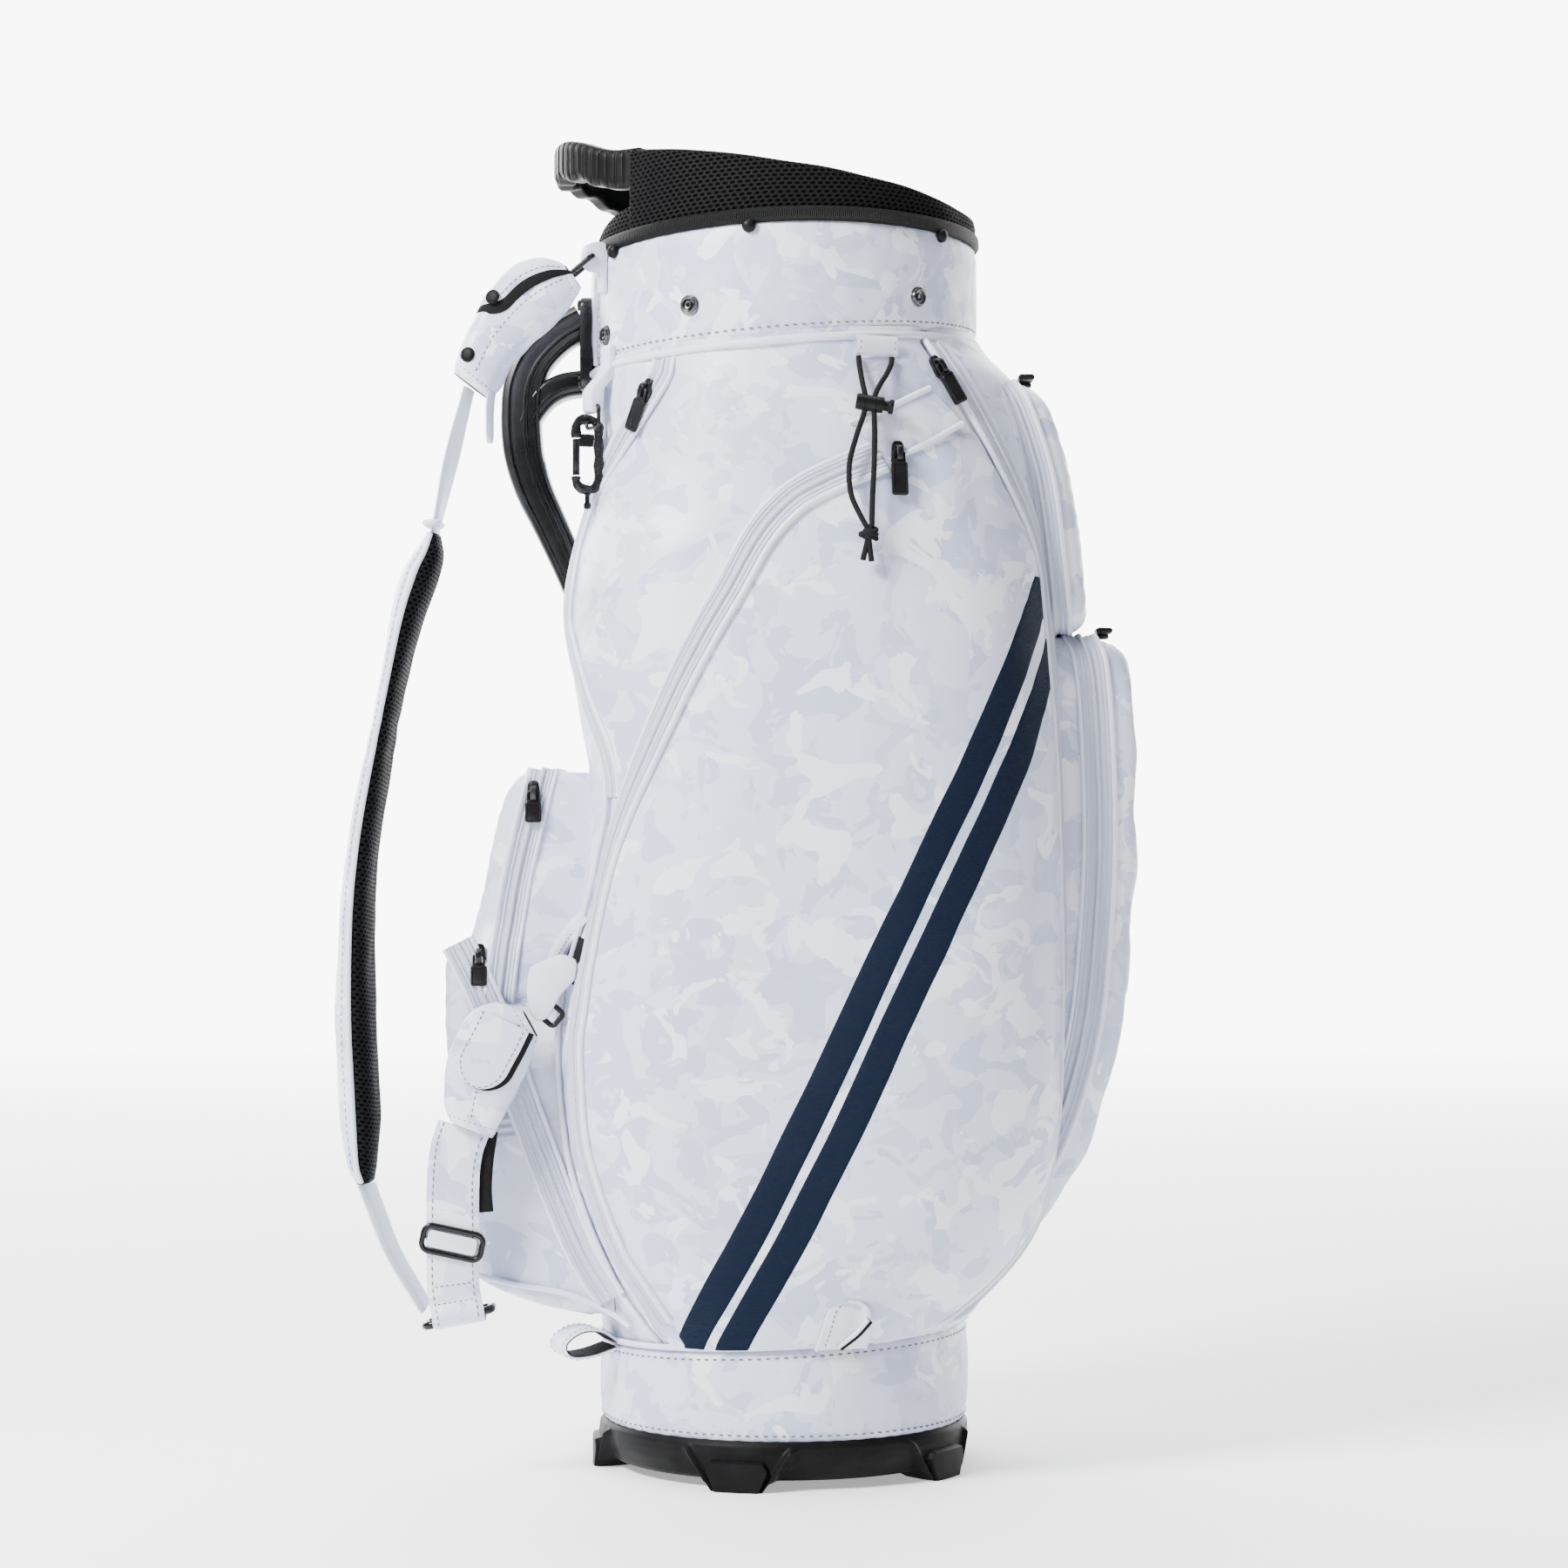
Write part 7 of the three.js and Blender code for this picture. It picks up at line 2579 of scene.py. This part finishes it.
@dataclass
class LoopTabs(Maker):
    """Two leather loops over the base cuff, each with a stitched face and a dark inside."""

    slot: str = "white_leather"

    def build(self) -> None:
        """Makes both loops."""
        self.front()
        self.rear()

    def front(self) -> None:
        """The front loop: a rounded leather tongue that stands off the pocket and curls at one side."""
        group = SideGroup(73.0)
        turn = math.radians(73.0)
        across = np.linspace(-1, 1, 31)[None, :]
        up = np.linspace(0, 1, 34)[:, None]
        z = 87.0 + 31.0 * up + 0 * across
        half = 15.6 * (1 - 0.10 * up) * np.sqrt(np.maximum(1 - np.clip((up - 0.62) / 0.38, 0, 1) ** 2.4, 0.0)) + 0.05
        y = half * across + 4.0 * up
        rest = FORM.radius(turn, z) + 3.4
        curl = smooth_step(across, 0.10, 1.0) * smooth_step(up, 0.05, 0.55)
        out = rest + 5.4 * np.sin(np.pi * np.clip(up, 0, 1)) ** 0.7 * (1 - 0.35 * across**2) + 5.0 * curl
        y = y - 3.4 * curl**2
        front = np.stack([out, y, z], axis=-1)
        back = front - np.array([2.2, 0, 0])
        skin = grid_part(front)
        self.piece("front_loop_leather", self.toward(group.carry(skin), turn, 1), Finish.LEATHER, ["front_loop_tab"])
        inside = grid_part(back)
        self.piece("front_loop_lining", self.toward(group.carry(inside), turn, -1), Finish.LINING)
        edge = np.vstack([front[:, 0], front[-1, 1:-1], front[::-1, -1]]) - np.array([1.1, 0, 0])
        self.piece("front_loop_edge", group.carry(tube(even_path(edge, 90), 1.15, 8)), Finish.LEATHER)
        seam = front[2:32, 4] + [0.25, 0, 0]
        rows = stitch_row(seam, alike([1.0, 0.0, 0.0], 30), 3.4, 2.2, 0.75)
        self.piece("front_loop_stitches", group.carry(rows), Finish.THREAD)
        spots = [(1, 14, 1.0), (6, 18, 1.6), (11, 22, 2.2), (16, 26, 2.4), (20, 30, 1.8)]
        crease = smooth_path([(*(front[row, column] + [1.0, 0, 0]), size) for row, column, size in spots], 40)
        # Painted shade: a dark tube along the crease under the curled lip, in the lining's black.
        dark = tube(crease[:, :3], 1.7, 10)
        self.piece("front_loop_curl", group.carry(dark), Finish.LINING)
        lip = tube(crease[:, :3] + [0.9, -1.9, 0.9], 1.5, 10)
        self.piece("front_loop_lip", group.carry(lip), Finish.LEATHER)

    def toward(self, part: MeshPart, turn: float, side: int) -> MeshPart:
        """Turns a sheet's faces away from the tube's axis, or towards it where side is -1."""
        out = np.array([math.cos(turn), -math.sin(turn), 0.0])
        return flipped(part, side * (face_ways(part)[1] @ out).sum() < 0)

    def rear(self) -> None:
        """The rear loop, low behind the base cuff's seam, with a dark lining and stitches along both edges."""
        group, width = SideGroup(158.0), 30.0
        knots = [
            (117.5, 84), (128, 90.5), (140, 91.5), (150, 86.5), (152.5, 80.5), (147, 75.0), (133, 75.5), (118.5, 79.5)
        ]
        path = smooth_path([(x, 0.0, z) for x, z in knots], 70)
        across = alike([0.0, 1.0, 0.0], 70)
        leather = group.carry(leather_band(path, across, width, 2.4))
        self.piece("rear_loop_leather", leather, Finish.LEATHER, ["rear_loop_tab"])
        up = np.cross(tangents(path), across)
        inward = up * np.sign(np.sum((path.mean(axis=0) - path) * up, axis=1).sum())
        lining = leather_band(path + inward * 1.35, across, width - 2.5, 0.5)
        self.piece("rear_loop_lining", group.carry(lining), Finish.LINING)
        lines = [path - inward * 1.15 + [0, side * (width / 2 - 3.2), 0] for side in (-1, 1)]
        rows = [stitch_row(line, -inward, *EDGE_STITCH) for line in lines]
        self.piece("rear_loop_stitches", group.carry(join_parts(rows)), Finish.THREAD)


# ------------------------------------------------------------------------------------ shoulder strap


def oval_rows(rows: Sequence[Sequence[float]], power: float, count: int, sides: int = 56) -> Points:
    """Rings between two edge lines seen from the side, each a soft rectangle.

    Args:
        rows: For each ring: left x, left z, right x, right z, middle y and half depth.
        power: Squareness of the rings.
        count: Rings to return.
        sides: Points round each ring.

    Returns:
        Array of count x sides x 3.
    """
    fine = smooth_path(rows, count)
    turn = np.arange(sides) / sides * 2 * np.pi
    a = np.sign(np.cos(turn)) * np.abs(np.cos(turn)) ** (2 / power)
    b = np.sign(np.sin(turn)) * np.abs(np.sin(turn)) ** (2 / power)
    left, right = fine[:, 0:2], fine[:, 2:4]
    middle, half = (left + right) / 2, (right - left) / 2
    x = middle[:, :1] + half[:, :1] * a[None, :]
    z = middle[:, 1:] + half[:, 1:] * a[None, :]
    y = fine[:, 4:5] + fine[:, 5:6] * b[None, :]
    return np.stack([x, y, z], axis=-1)


@dataclass
class Strap(Maker):
    """The shoulder strap from its top anchor down to its bottom anchor, with covers, pad and fittings."""

    body: str = "strap"
    slot: str = "webbing"
    pad_rows: tuple[tuple[float, ...], ...] = (
        (-223.5, 589, -215, 587.5, -64, 18), (-230, 578, -213.5, 576, -65, 24), (-238.3, 564, -216.5, 562, -66, 28),
        (-244.8, 537, -225.8, 535, -68, 31), (-251.4, 496, -236.7, 495, -68, 32), (-260, 455, -244.3, 454, -68, 32),
        (-268.2, 414, -250.8, 413, -68, 32), (-274.2, 373.4, -255.2, 373, -68, 32),
        (-277.5, 332.6, -256.3, 332.6, -68, 32), (-278.6, 291.8, -255.7, 291.8, -68, 32),
        (-277.5, 251, -253.5, 251, -68, 31), (-275.9, 223.8, -252.5, 224.2, -69, 29),
        (-271.5, 196.6, -254.1, 198, -70, 24), (-266, 185.5, -255.5, 187.5, -71, 18),
    )
    top_rows: tuple[tuple[float, ...], ...] = (
        (-136.5, 757.7, -127.5, 745.7, -57, 10), (-152, 761, -136, 731, -58, 14), (-168, 756, -148, 719, -58, 16),
        (-181, 743, -160, 708, -58, 17), (-194, 725, -170, 697, -59, 17), (-204, 704, -178, 682, -60, 16),
        (-207, 691, -186, 675, -60, 13),
    )
    bottom_rows: tuple[tuple[float, ...], ...] = (
        (-161.2, 292.7, -152.4, 276.8, -92, 8), (-180, 298, -155, 268, -92, 10.5), (-198, 287, -158, 257, -92, 11.5),
        (-208, 262, -165, 243, -92, 11.5), (-210, 238, -173, 228, -92, 10.5), (-206, 225, -180, 214.5, -92, 8),
    )

    def build(self) -> None:
        """Makes the strap's pieces from the top down."""
        self.top_anchor()
        self.sleeve("strap_top_sleeve", self.top_rows, 3.0, "strap_top_cover")
        self.top_flap()
        self.webbings()
        self.pad()
        self.strap_ring()
        self.adjuster()
        self.sleeve("strap_bottom_sleeve", self.bottom_rows, 3.2, "strap_bottom_cover")
        self.bottom_flap()
        self.bottom_anchor()

    def top_anchor(self) -> None:
        """The leather loop on the cuff and the wire ring in it."""
        group = SideGroup(155.5)
        drawing = [
            (123.6, 742), (123.6, 774), (133, 774.4), (138.6, 771), (139.4, 765), (138.6, 759), (134, 755.6),
            (128.4, 755.8), (127.6, 742),
        ]
        leather = group.carry(plate_part(drawing, 9.0, 1.6))
        node = "strap_top_anchor"
        self.piece(node + "_leather", leather, Finish.LEATHER, [node], body="bag", slot="white_leather")
        link = wire_link(20, 24, 3.4, 5.0) + [0, 0, 24 / 2 - 1.7]
        tilt = math.radians(50)
        turned = np.stack([link[:, 0], -link[:, 2] * math.sin(tilt), link[:, 2] * math.cos(tilt)], axis=1)
        ring = wire(np.stack([turned[:, 1], turned[:, 0], -turned[:, 2]], axis=1), 1.7, 12)
        ring.points += [-120.1, -54.7, 765.0]
        self.piece("strap_top_wire_ring", ring, Finish.GLOSS, ["strap_top_ring"], slot="black_metal")

    def sleeve(self, name: str, rows: Sequence[Sequence[float]], power: float, node: str) -> None:
        """A folded leather sleeve with a stitched edge, a hem near each end and a dark inside.

        Args:
            name: Its name.
            rows: Its rings.
            power: Squareness of the rings.
            node: CAD node that it replaces.
        """
        rings = oval_rows(rows, power, 70, 72)
        middle = rings.mean(axis=1, keepdims=True)
        out = unit(rings - middle)
        soft = 0.7 * waves(rings, 30.0, 101) + 0.3 * waves(rings, 13.0, 102)
        along = np.linspace(0, 1, 70)[:, None]
        hems = bump(along, 0.035, 0.02) + bump(along, 0.965, 0.02)
        rings = rings + out * (soft * np.sin(np.pi * along) + 0.5 * hems)[..., None]
        shell = filled(rings)
        shell.faces = shell.faces[:-2]
        self.piece(name, shell, Finish.CAMO, [node], slot="white_leather")
        inner = middle + (rings - middle) * 0.93
        lining = filled(inner)
        self.piece(name + "_lining", lining, Finish.LINING)
        rows_of = []
        for spot in (4, 65):
            loop = even_loop(rings[spot], 90)
            ways = unit(loop - loop.mean(axis=0))
            rows_of.append(stitch_row(np.vstack([loop, loop[:1]]), np.vstack([ways, ways[:1]]), 3.4, 2.3, 0.6))
        for column in (54, 18):
            ways = out[6:64, column]
            rows_of.append(stitch_row(rings[6:64, column] + ways * 0.25, ways, *EDGE_STITCH))
        self.piece(name + "_stitches", join_parts(rows_of), Finish.THREAD)

    def wrapped(self, ends: tuple[int, int], edges: tuple[float, float], lift: float, tail: float) -> Points:
        """A sheet that lies over the top sleeve, with a half-round far end.

        Args:
            ends: First and last ring of the sleeve that it covers.
            edges: Where its edges lie round the sleeve, as shares of a turn.
            lift: How far its middle stands off the sleeve.
            tail: Share of its length that the round end takes.

        Returns:
            Array of rows along the sleeve x columns round it.
        """
        rings = oval_rows(self.top_rows, 3.0, 70, 288)
        closed = np.concatenate([rings, rings[:, :1]], axis=1)
        steps = np.linalg.norm(np.diff(closed, axis=1), axis=2)
        share = np.concatenate([np.zeros((70, 1)), np.cumsum(steps, axis=1)], axis=1)
        share = (share / share[:, -1:]).mean(axis=0)
        along = np.linspace(0, 1, 56)
        across = np.linspace(-1, 1, 41)
        near = np.clip((along - (1 - tail)) / tail, 0, 1)
        narrow = np.sqrt(np.maximum(1 - near**2, 0.0009))[:, None]
        middle, half = sum(edges) / 2, (edges[1] - edges[0]) / 2
        column = np.interp(middle + half * narrow * across[None, :], share, np.arange(289))
        row = np.repeat((ends[0] + (ends[1] - ends[0]) * along)[:, None], 41, axis=1)
        low_row, low_column = np.floor(row).astype(int), np.floor(column).astype(int)
        part_row, part_column = (row - low_row)[..., None], (column - low_column)[..., None]
        high_row, high_column = np.minimum(low_row + 1, 69), np.minimum(low_column + 1, 288)
        spot = mix(
            mix(closed[low_row, low_column], closed[low_row, high_column], part_column),
            mix(closed[high_row, low_column], closed[high_row, high_column], part_column),
            part_row,
        )
        center = closed[:, :-1].mean(axis=1)
        out = unit(spot - mix(center[low_row], center[high_row], part_row))
        edge = (1 - np.abs(across) ** 8)[None, :] * np.sqrt(np.maximum(1 - near**6, 0))[:, None]
        return spot + out * (0.5 + lift * edge)[..., None]

    def top_flap(self) -> None:
        """The top sleeve's flap: it lies over the sleeve's outer side, with a dark lining edge and two snaps."""
        body, slot = "strap_top_flap", "white_leather"
        face = self.wrapped((1, 44), (0.28, 0.685), 2.6, 0.30)
        middle = face.mean(axis=(0, 1))
        self.moving(body + "_leather", facing_away(grid_part(face), middle), Finish.CAMO, body, slot)
        lining = self.wrapped((0, 46), (0.272, 0.722), 1.1, 0.30)
        self.piece(body + "_lining", facing_away(grid_part(lining), middle), Finish.LINING, body=body, slot=slot)
        out = unit(face - middle)
        ways = np.vstack([out[3:50, 37], out[50, 36:4:-1]])
        border = np.vstack([face[3:50, 37], face[50, 36:4:-1]]) + ways * 0.2
        self.piece(body + "_stitches", stitch_row(border, ways, 3.6, 2.4, 0.7), Finish.THREAD, body=body, slot=slot)
        self.snap("strap_top_flap_snap", (-182.0, -76.0, 737.0), (-0.40, -0.90, 0.20), body)
        self.snap("strap_top_sleeve_snap", (-197.5, -75.6, 701.0), (-0.34, -0.93, 0.12), self.body)
        tail = smooth_path([(-181, -59, 694), (-184.5, -59, 672), (-184.8, -59, 647)], 40)
        strip = leather_band(tail, alike([0.06, 1.0, 0.0], 40), 26, 3.0, 13, 9.0)
        self.piece("strap_top_tail", strip, Finish.LEATHER, slot="white_leather")

    def snap(self, name: str, at: Point3, out: Point3, body: str) -> None:
        """A domed snap cap.

        Args:
            name: Its name.
            at: Its middle.
            out: The way it faces.
            body: CAD body that it rides on.
        """
        stud = [(0, 1.1), (2.0, 1.05), (3.8, 0.8), (4.6, 0.2), (4.8, -0.8), (0, -1.4)]
        cap = placed(outward(lathe(stud, 28)), at, (0, 0, 1), out)
        self.piece(name, cap, Finish.RUBBER, body=body, slot="black_metal")

    def bottom_flap(self) -> None:
        """The bottom sleeve's rounded flap with stitches all round and a dark lining along one side."""
        body, slot = "strap_bottom_flap", "white_leather"
        count, width = 60, 34.0
        path = smooth_path(
            [(-172, -104.6, 287.6), (-177, -105.8, 277), (-185, -106.0, 262), (-192, -105.6, 247)], count
        )
        across = np.tile(unit(np.array([0.88, 0.0, -0.47])), (count, 1))
        up = unit(np.cross(tangents(path), across))
        up *= np.sign(np.sum(up.mean(axis=0) * np.array([-12.0, -105.8, 17.0])))
        leather = leather_band(path, across, width, 1.9, 17, width / 2)
        self.moving(body + "_leather", leather, Finish.CAMO, body, slot)
        lining = leather_band(path - up * 1.5 + across * 2.6, across, width + 1.6, 1.9, 17, width / 2 + 0.7)
        self.piece(body + "_lining", lining, Finish.LINING, body=body, slot=slot)
        length = path_length(path)
        left = np.clip(1 - (length - np.linspace(0, length, count)) / (width / 2), 0, 1)
        half = (width / 2) * np.sqrt(np.maximum(1 - left**2, 0)) - 3.2
        keep = half > 1.0
        sides = [path[keep] + across[keep] * (half[keep] * side)[:, None] + up[keep] * 1.1 for side in (1, -1)]
        border = even_path(np.vstack([sides[0], sides[1][::-1]]), 120)
        normals = np.vstack([up[keep], up[keep][::-1]])
        normals = normals[np.linspace(0, len(normals) - 1, 120).astype(int)]
        self.piece(body + "_stitches", stitch_row(border, normals, 3.6, 2.4, 0.65), Finish.THREAD, body=body, slot=slot)

    def webbings(self) -> None:
        """The webbing above and below the pad, the upper one through a flat cinch."""
        upper = smooth_path([(-197.9, -60, 681.4), (-205, -62, 652), (-211, -63, 626), (-219, -64, 589.6)], 70)
        twist = 0.08 + 0.10 * np.sin(np.linspace(0, np.pi, 70)) ** 2
        across = np.stack([twist, np.ones(70), np.zeros(70)], axis=1)
        wide = mix(34.0, 22.0, np.linspace(0, 1, 70) ** 2)
        upper_part = leather_band(upper, across, 1.0, 3.6)
        points = upper_part.points.reshape(70, -1, 3)
        sideways = unit(across)
        reach = np.einsum("ijk,ik->ij", points - upper[:, None, :], sideways) * (wide[:, None] - 1.0)
        upper_part.points = (points + sideways[:, None, :] * reach[..., None]).reshape(-1, 3)
        self.piece("upper_webbing_band", upper_part, Finish.LEATHER, ["strap_upper_webbing"])
        frame = np.array([(-219.4 + a, -64 + b, 596.0) for a, b in rounded_outline(8.0, 30.0, 3.2, 8)])
        cinch = tube(even_loop(frame, 60), 2.0, 10, closed=True)
        self.piece("upper_webbing_cinch", outward(cinch), Finish.LEATHER)
        lower = smooth_path(
            [(-260.2, -71, 183.8), (-254, -73, 168), (-243, -80, 143), (-229, -80, 119), (-222.6, -79, 108.5)], 80
        )
        share = np.linspace(0, 1, 80)[:, None]
        turning = unit(mix(np.array([[0.20, 0.98, 0.0]]), np.array([[0.12, 0.99, 0.0]]), share))
        self.piece("lower_webbing_band", leather_band(lower, turning, 32, 4.4), Finish.LEATHER, ["strap_lower_webbing"])

    def pad(self) -> None:
        """The shoulder pad: a cushioned white shell outside and black air mesh towards the shoulder."""
        rings = oval_rows(self.pad_rows, 2.6, 200, 96)
        middle = rings.mean(axis=1, keepdims=True)
        out = unit(rings - middle)
        along = np.linspace(0, 1, 200)[:, None]
        soft = 0.8 * waves(rings, 60.0, 111) + 0.3 * waves(rings, 22.0, 112)
        kinks = -1.6 * bump(along, 0.30, 0.012) - 1.1 * bump(along, 0.345, 0.010)
        rings = rings + out * ((soft + kinks) * np.sin(np.pi * along) ** 0.3)[..., None]
        shell_columns = np.arange(23, 74)
        mesh_columns = np.concatenate([np.arange(72, 96), np.arange(0, 25)])
        shell = rings[:, shell_columns] + out[:, shell_columns] * 0.5
        shell[:, [0, -1]] = rings[:, shell_columns[[0, -1]]] - out[:, shell_columns[[0, -1]]] * 1.2
        self.piece("pad_shell", self.away_from(grid_part(shell), middle[:, 0]), Finish.CAMO, ["shoulder_pad"])
        mesh = grid_part(rings[:, mesh_columns])
        self.piece("pad_mesh", self.away_from(mesh, middle[:, 0]), Finish.MESH)
        for name, column in (("near", 71), ("far", 25)):
            line = rings[:, column] + out[:, column] * 0.35
            self.piece(f"pad_{name}_piping", tube(line, 1.6, 8), Finish.LEATHER)
        rows = [stitch_row(rings[4:196, c] + out[4:196, c] * 0.6, out[4:196, c], 4.6, 3.0, 0.7) for c in (66, 30)]
        self.piece("pad_stitches", join_parts(rows), Finish.THREAD)
        caps = []
        for ring, inner in ((rings[0], rings[2]), (rings[-1], rings[-3])):
            center = ring.mean(axis=0)
            way = unit(center - inner.mean(axis=0))
            steps = [(1.0, 0.0), (0.97, 0.8), (0.9, 1.4), (0.5, 1.6), (0.08, 1.6)]
            stack = np.array([center + (ring - center) * size + way * rise for size, rise in steps])
            caps.append(filled(stack))
        self.piece("pad_ends", join_parts(caps), Finish.BLACK_TAPE)

    def away_from(self, part: MeshPart, middle: Points) -> MeshPart:
        """Turns faces away from the pad's middle line.

        Args:
            part: A sheet of the pad.
            middle: Points of the middle line.

        Returns:
            The sheet.
        """
        center, ways = face_ways(part)
        rising = middle[::-1] if middle[0, 2] > middle[-1, 2] else middle
        core = np.stack([np.interp(center[:, 2], rising[:, 2], rising[:, axis]) for axis in range(2)], axis=1)
        return flipped(part, dots(ways[:, :2], center[:, :2] - core).sum() < 0)

    def strap_ring(self) -> None:
        """The wide wire ring at the strap's lowest point."""
        flat = rounded_outline(45 - 3.4, 20 - 3.4, 4.3, 9)
        angle = -0.26
        points = np.stack([flat[:, 0] * math.cos(angle), flat[:, 1], -flat[:, 0] * math.sin(angle)], axis=1)
        points = even_loop(points + [-201, -86, 103.6], 90)
        ring = wire(points, 2.6, 14)
        self.piece("strap_ring_wire", ring, Finish.GLOSS, ["strap_ring"], slot="black_metal")

    def adjuster(self) -> None:
        """The strap's front layer with two stitch rows and a boxed end, and the slide adjuster on it."""
        path = smooth_path(
            [
                (-200.2, -90.6, 109), (-200.0, -91.4, 103.4), (-200.0, -94.4, 100.0), (-200.4, -98.0, 103.2),
                (-201.2, -96.8, 108), (-202.8, -93.2, 114), (-203.8, -92.1, 119), (-204.6, -92, 128),
                (-204.6, -92, 144), (-204.6, -92, 164), (-204.6, -92, 182), (-203.9, -92, 196),
                (-201.8, -92, 209), (-197.8, -92, 220.4),
            ],
            130,
        )
        back = smooth_path([(-187.6, -89.0, 168), (-188.6, -88.6, 182), (-187.6, -88.6, 200), (-184.8, -89.0, 219)], 50)
        dark = leather_band(back, alike([0.96, 0.0, -0.1], 50), 16.0, 2.2)
        self.piece("adjuster_back_layer", dark, Finish.LINING)
        share = np.linspace(0, 1, 130)[:, None]
        across = unit(mix(np.array([[1.0, 0.0, 0.2]]), np.array([[0.93, 0.0, -0.37]]), smooth_step(share, 0.1, 0.9)))
        front = leather_band(path, across, 32.5, 2.4)
        self.piece("adjuster_leather", front, Finish.CAMO, ["adjuster_strap"])
        facing = alike([0.0, -1.0, 0.0], 130)
        rows = [stitch_row(path + across * side - [0, 1.5, 0], facing, 4.4, 2.9, 0.7) for side in (-12.6, 12.6)]
        for height in (28.0, 38.5):
            spot = int(height / path_length(path) * 129)
            line = path[spot] + across[spot] * np.linspace(-12, 12, 12)[:, None] - [0, 1.5, 0]
            rows.append(stitch_row(line, facing[:12], 3.2, 2.2, 0.65))
        self.piece("adjuster_stitches", join_parts(rows), Finish.THREAD)
        self.slide()

    def slide(self) -> None:
        """The slide adjuster: a rounded wire frame before the strap, a bar behind it and a keeper."""
        center = np.array([-204.6, -92.0, 150.0])
        flat = rounded_outline(37.2, 16.0, 5.0, 8)
        front = even_loop(np.stack([flat[:, 0], np.full(len(flat), -3.1), flat[:, 1]], axis=1), 90) + center
        bar = np.stack([np.linspace(-18.6, 18.6, 20), np.full(20, 3.1), np.zeros(20)], axis=1) + center
        links = [
            np.array([(side * 18.6, y, 0.0) for y in np.linspace(-3.1, 3.1, 6)]) + center for side in (-1, 1)
        ]
        parts = [wire(front, 1.8, 12), outward(tube(bar, 1.6, 10))]
        parts += [outward(tube(link, 1.6, 8)) for link in links]
        frame = join_parts(parts)
        tilt = math.radians(12.0)
        spun = np.array([[math.cos(tilt), 0, -math.sin(tilt)], [0, 1, 0], [math.sin(tilt), 0, math.cos(tilt)]])
        frame.points = (frame.points - center) @ spun + center
        self.moving("slide_adjuster_wire", frame, Finish.GLOSS, "slide_adjuster", "black_metal")
        keeper = placed(rounded_block(31.0, 10.5, 3.6, 2.4, 1.2), (0, 0, 0), (1, 0, 0), (0, -1, 0))
        keeper.points = keeper.points @ spun + center + [0, -2.0, 0]
        self.piece("slide_adjuster_keeper", keeper, Finish.LEATHER, body="slide_adjuster", slot="white_leather")

    def bottom_anchor(self) -> None:
        """The anchor's leather tab on the body, and the ring between tab and sleeve."""
        drawing = [
            (-128, 324), (-138, 328), (-157.5, 320), (-159.5, 306), (-157.5, 291.5), (-152.5, 286), (-146.5, 287.5),
            (-138.0, 303), (-129, 312),
        ]
        tab = plate_part(drawing, 9.0, 1.4)
        tab.points += [0, -86.5, 0]
        node = "strap_bottom_anchor"
        self.piece(node + "_leather", tab, Finish.LEATHER, [node], body="bag", slot="white_leather")
        link = wire_link(20, 14, 3.4, 4.0)
        turn = 0.72
        x = link[:, 0] * math.cos(turn) + link[:, 2] * math.sin(turn)
        z = -link[:, 0] * math.sin(turn) + link[:, 2] * math.cos(turn)
        ring = wire(np.stack([x - 146, np.full(len(x), -86.5), z + 292], axis=1), 1.7, 12)
        self.piece("strap_bottom_wire_ring", ring, Finish.GLOSS, ["strap_bottom_ring"], slot="black_metal")


# ------------------------------------------------------------------------------------------ the whole


def dress_inside() -> None:
    """Gives the liner tube and the club dividers, which stay as solids, their cloths."""
    for name, finish in (("liner_tube", Finish.LINING), ("club_dividers", Finish.DIVIDER)):
        for thing in bpy.data.objects:
            if thing.name == name and thing.type == "MESH":
                thing.data.materials.clear()
                thing.data.materials.append(finish.material())


def box_lists(box: object) -> object:
    """A bounding box as plain lists."""
    return json.loads(json.dumps(box, default=list))


def main() -> None:
    """Builds the bag piece by piece."""
    logging.basicConfig(level=logging.INFO, format="%(message)s")
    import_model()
    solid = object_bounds()
    makers = [
        Studio(), ElasticCord(), PaddedBody(), SidePockets(), *box_pockets(), BackDetails(), Cuffs(), Mouth(),
        BaseMoulding(), SpineHandle(), ZipPulls(), Accessory(), LoopTabs(), Strap(),
    ]
    for maker in makers:
        maker.build()
        label = getattr(maker, "name", "") or type(maker).__name__
    dress_inside()
    {"cad": box_lists(solid), "visual": box_lists(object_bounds())}


if __name__ == "__main__":
    main()
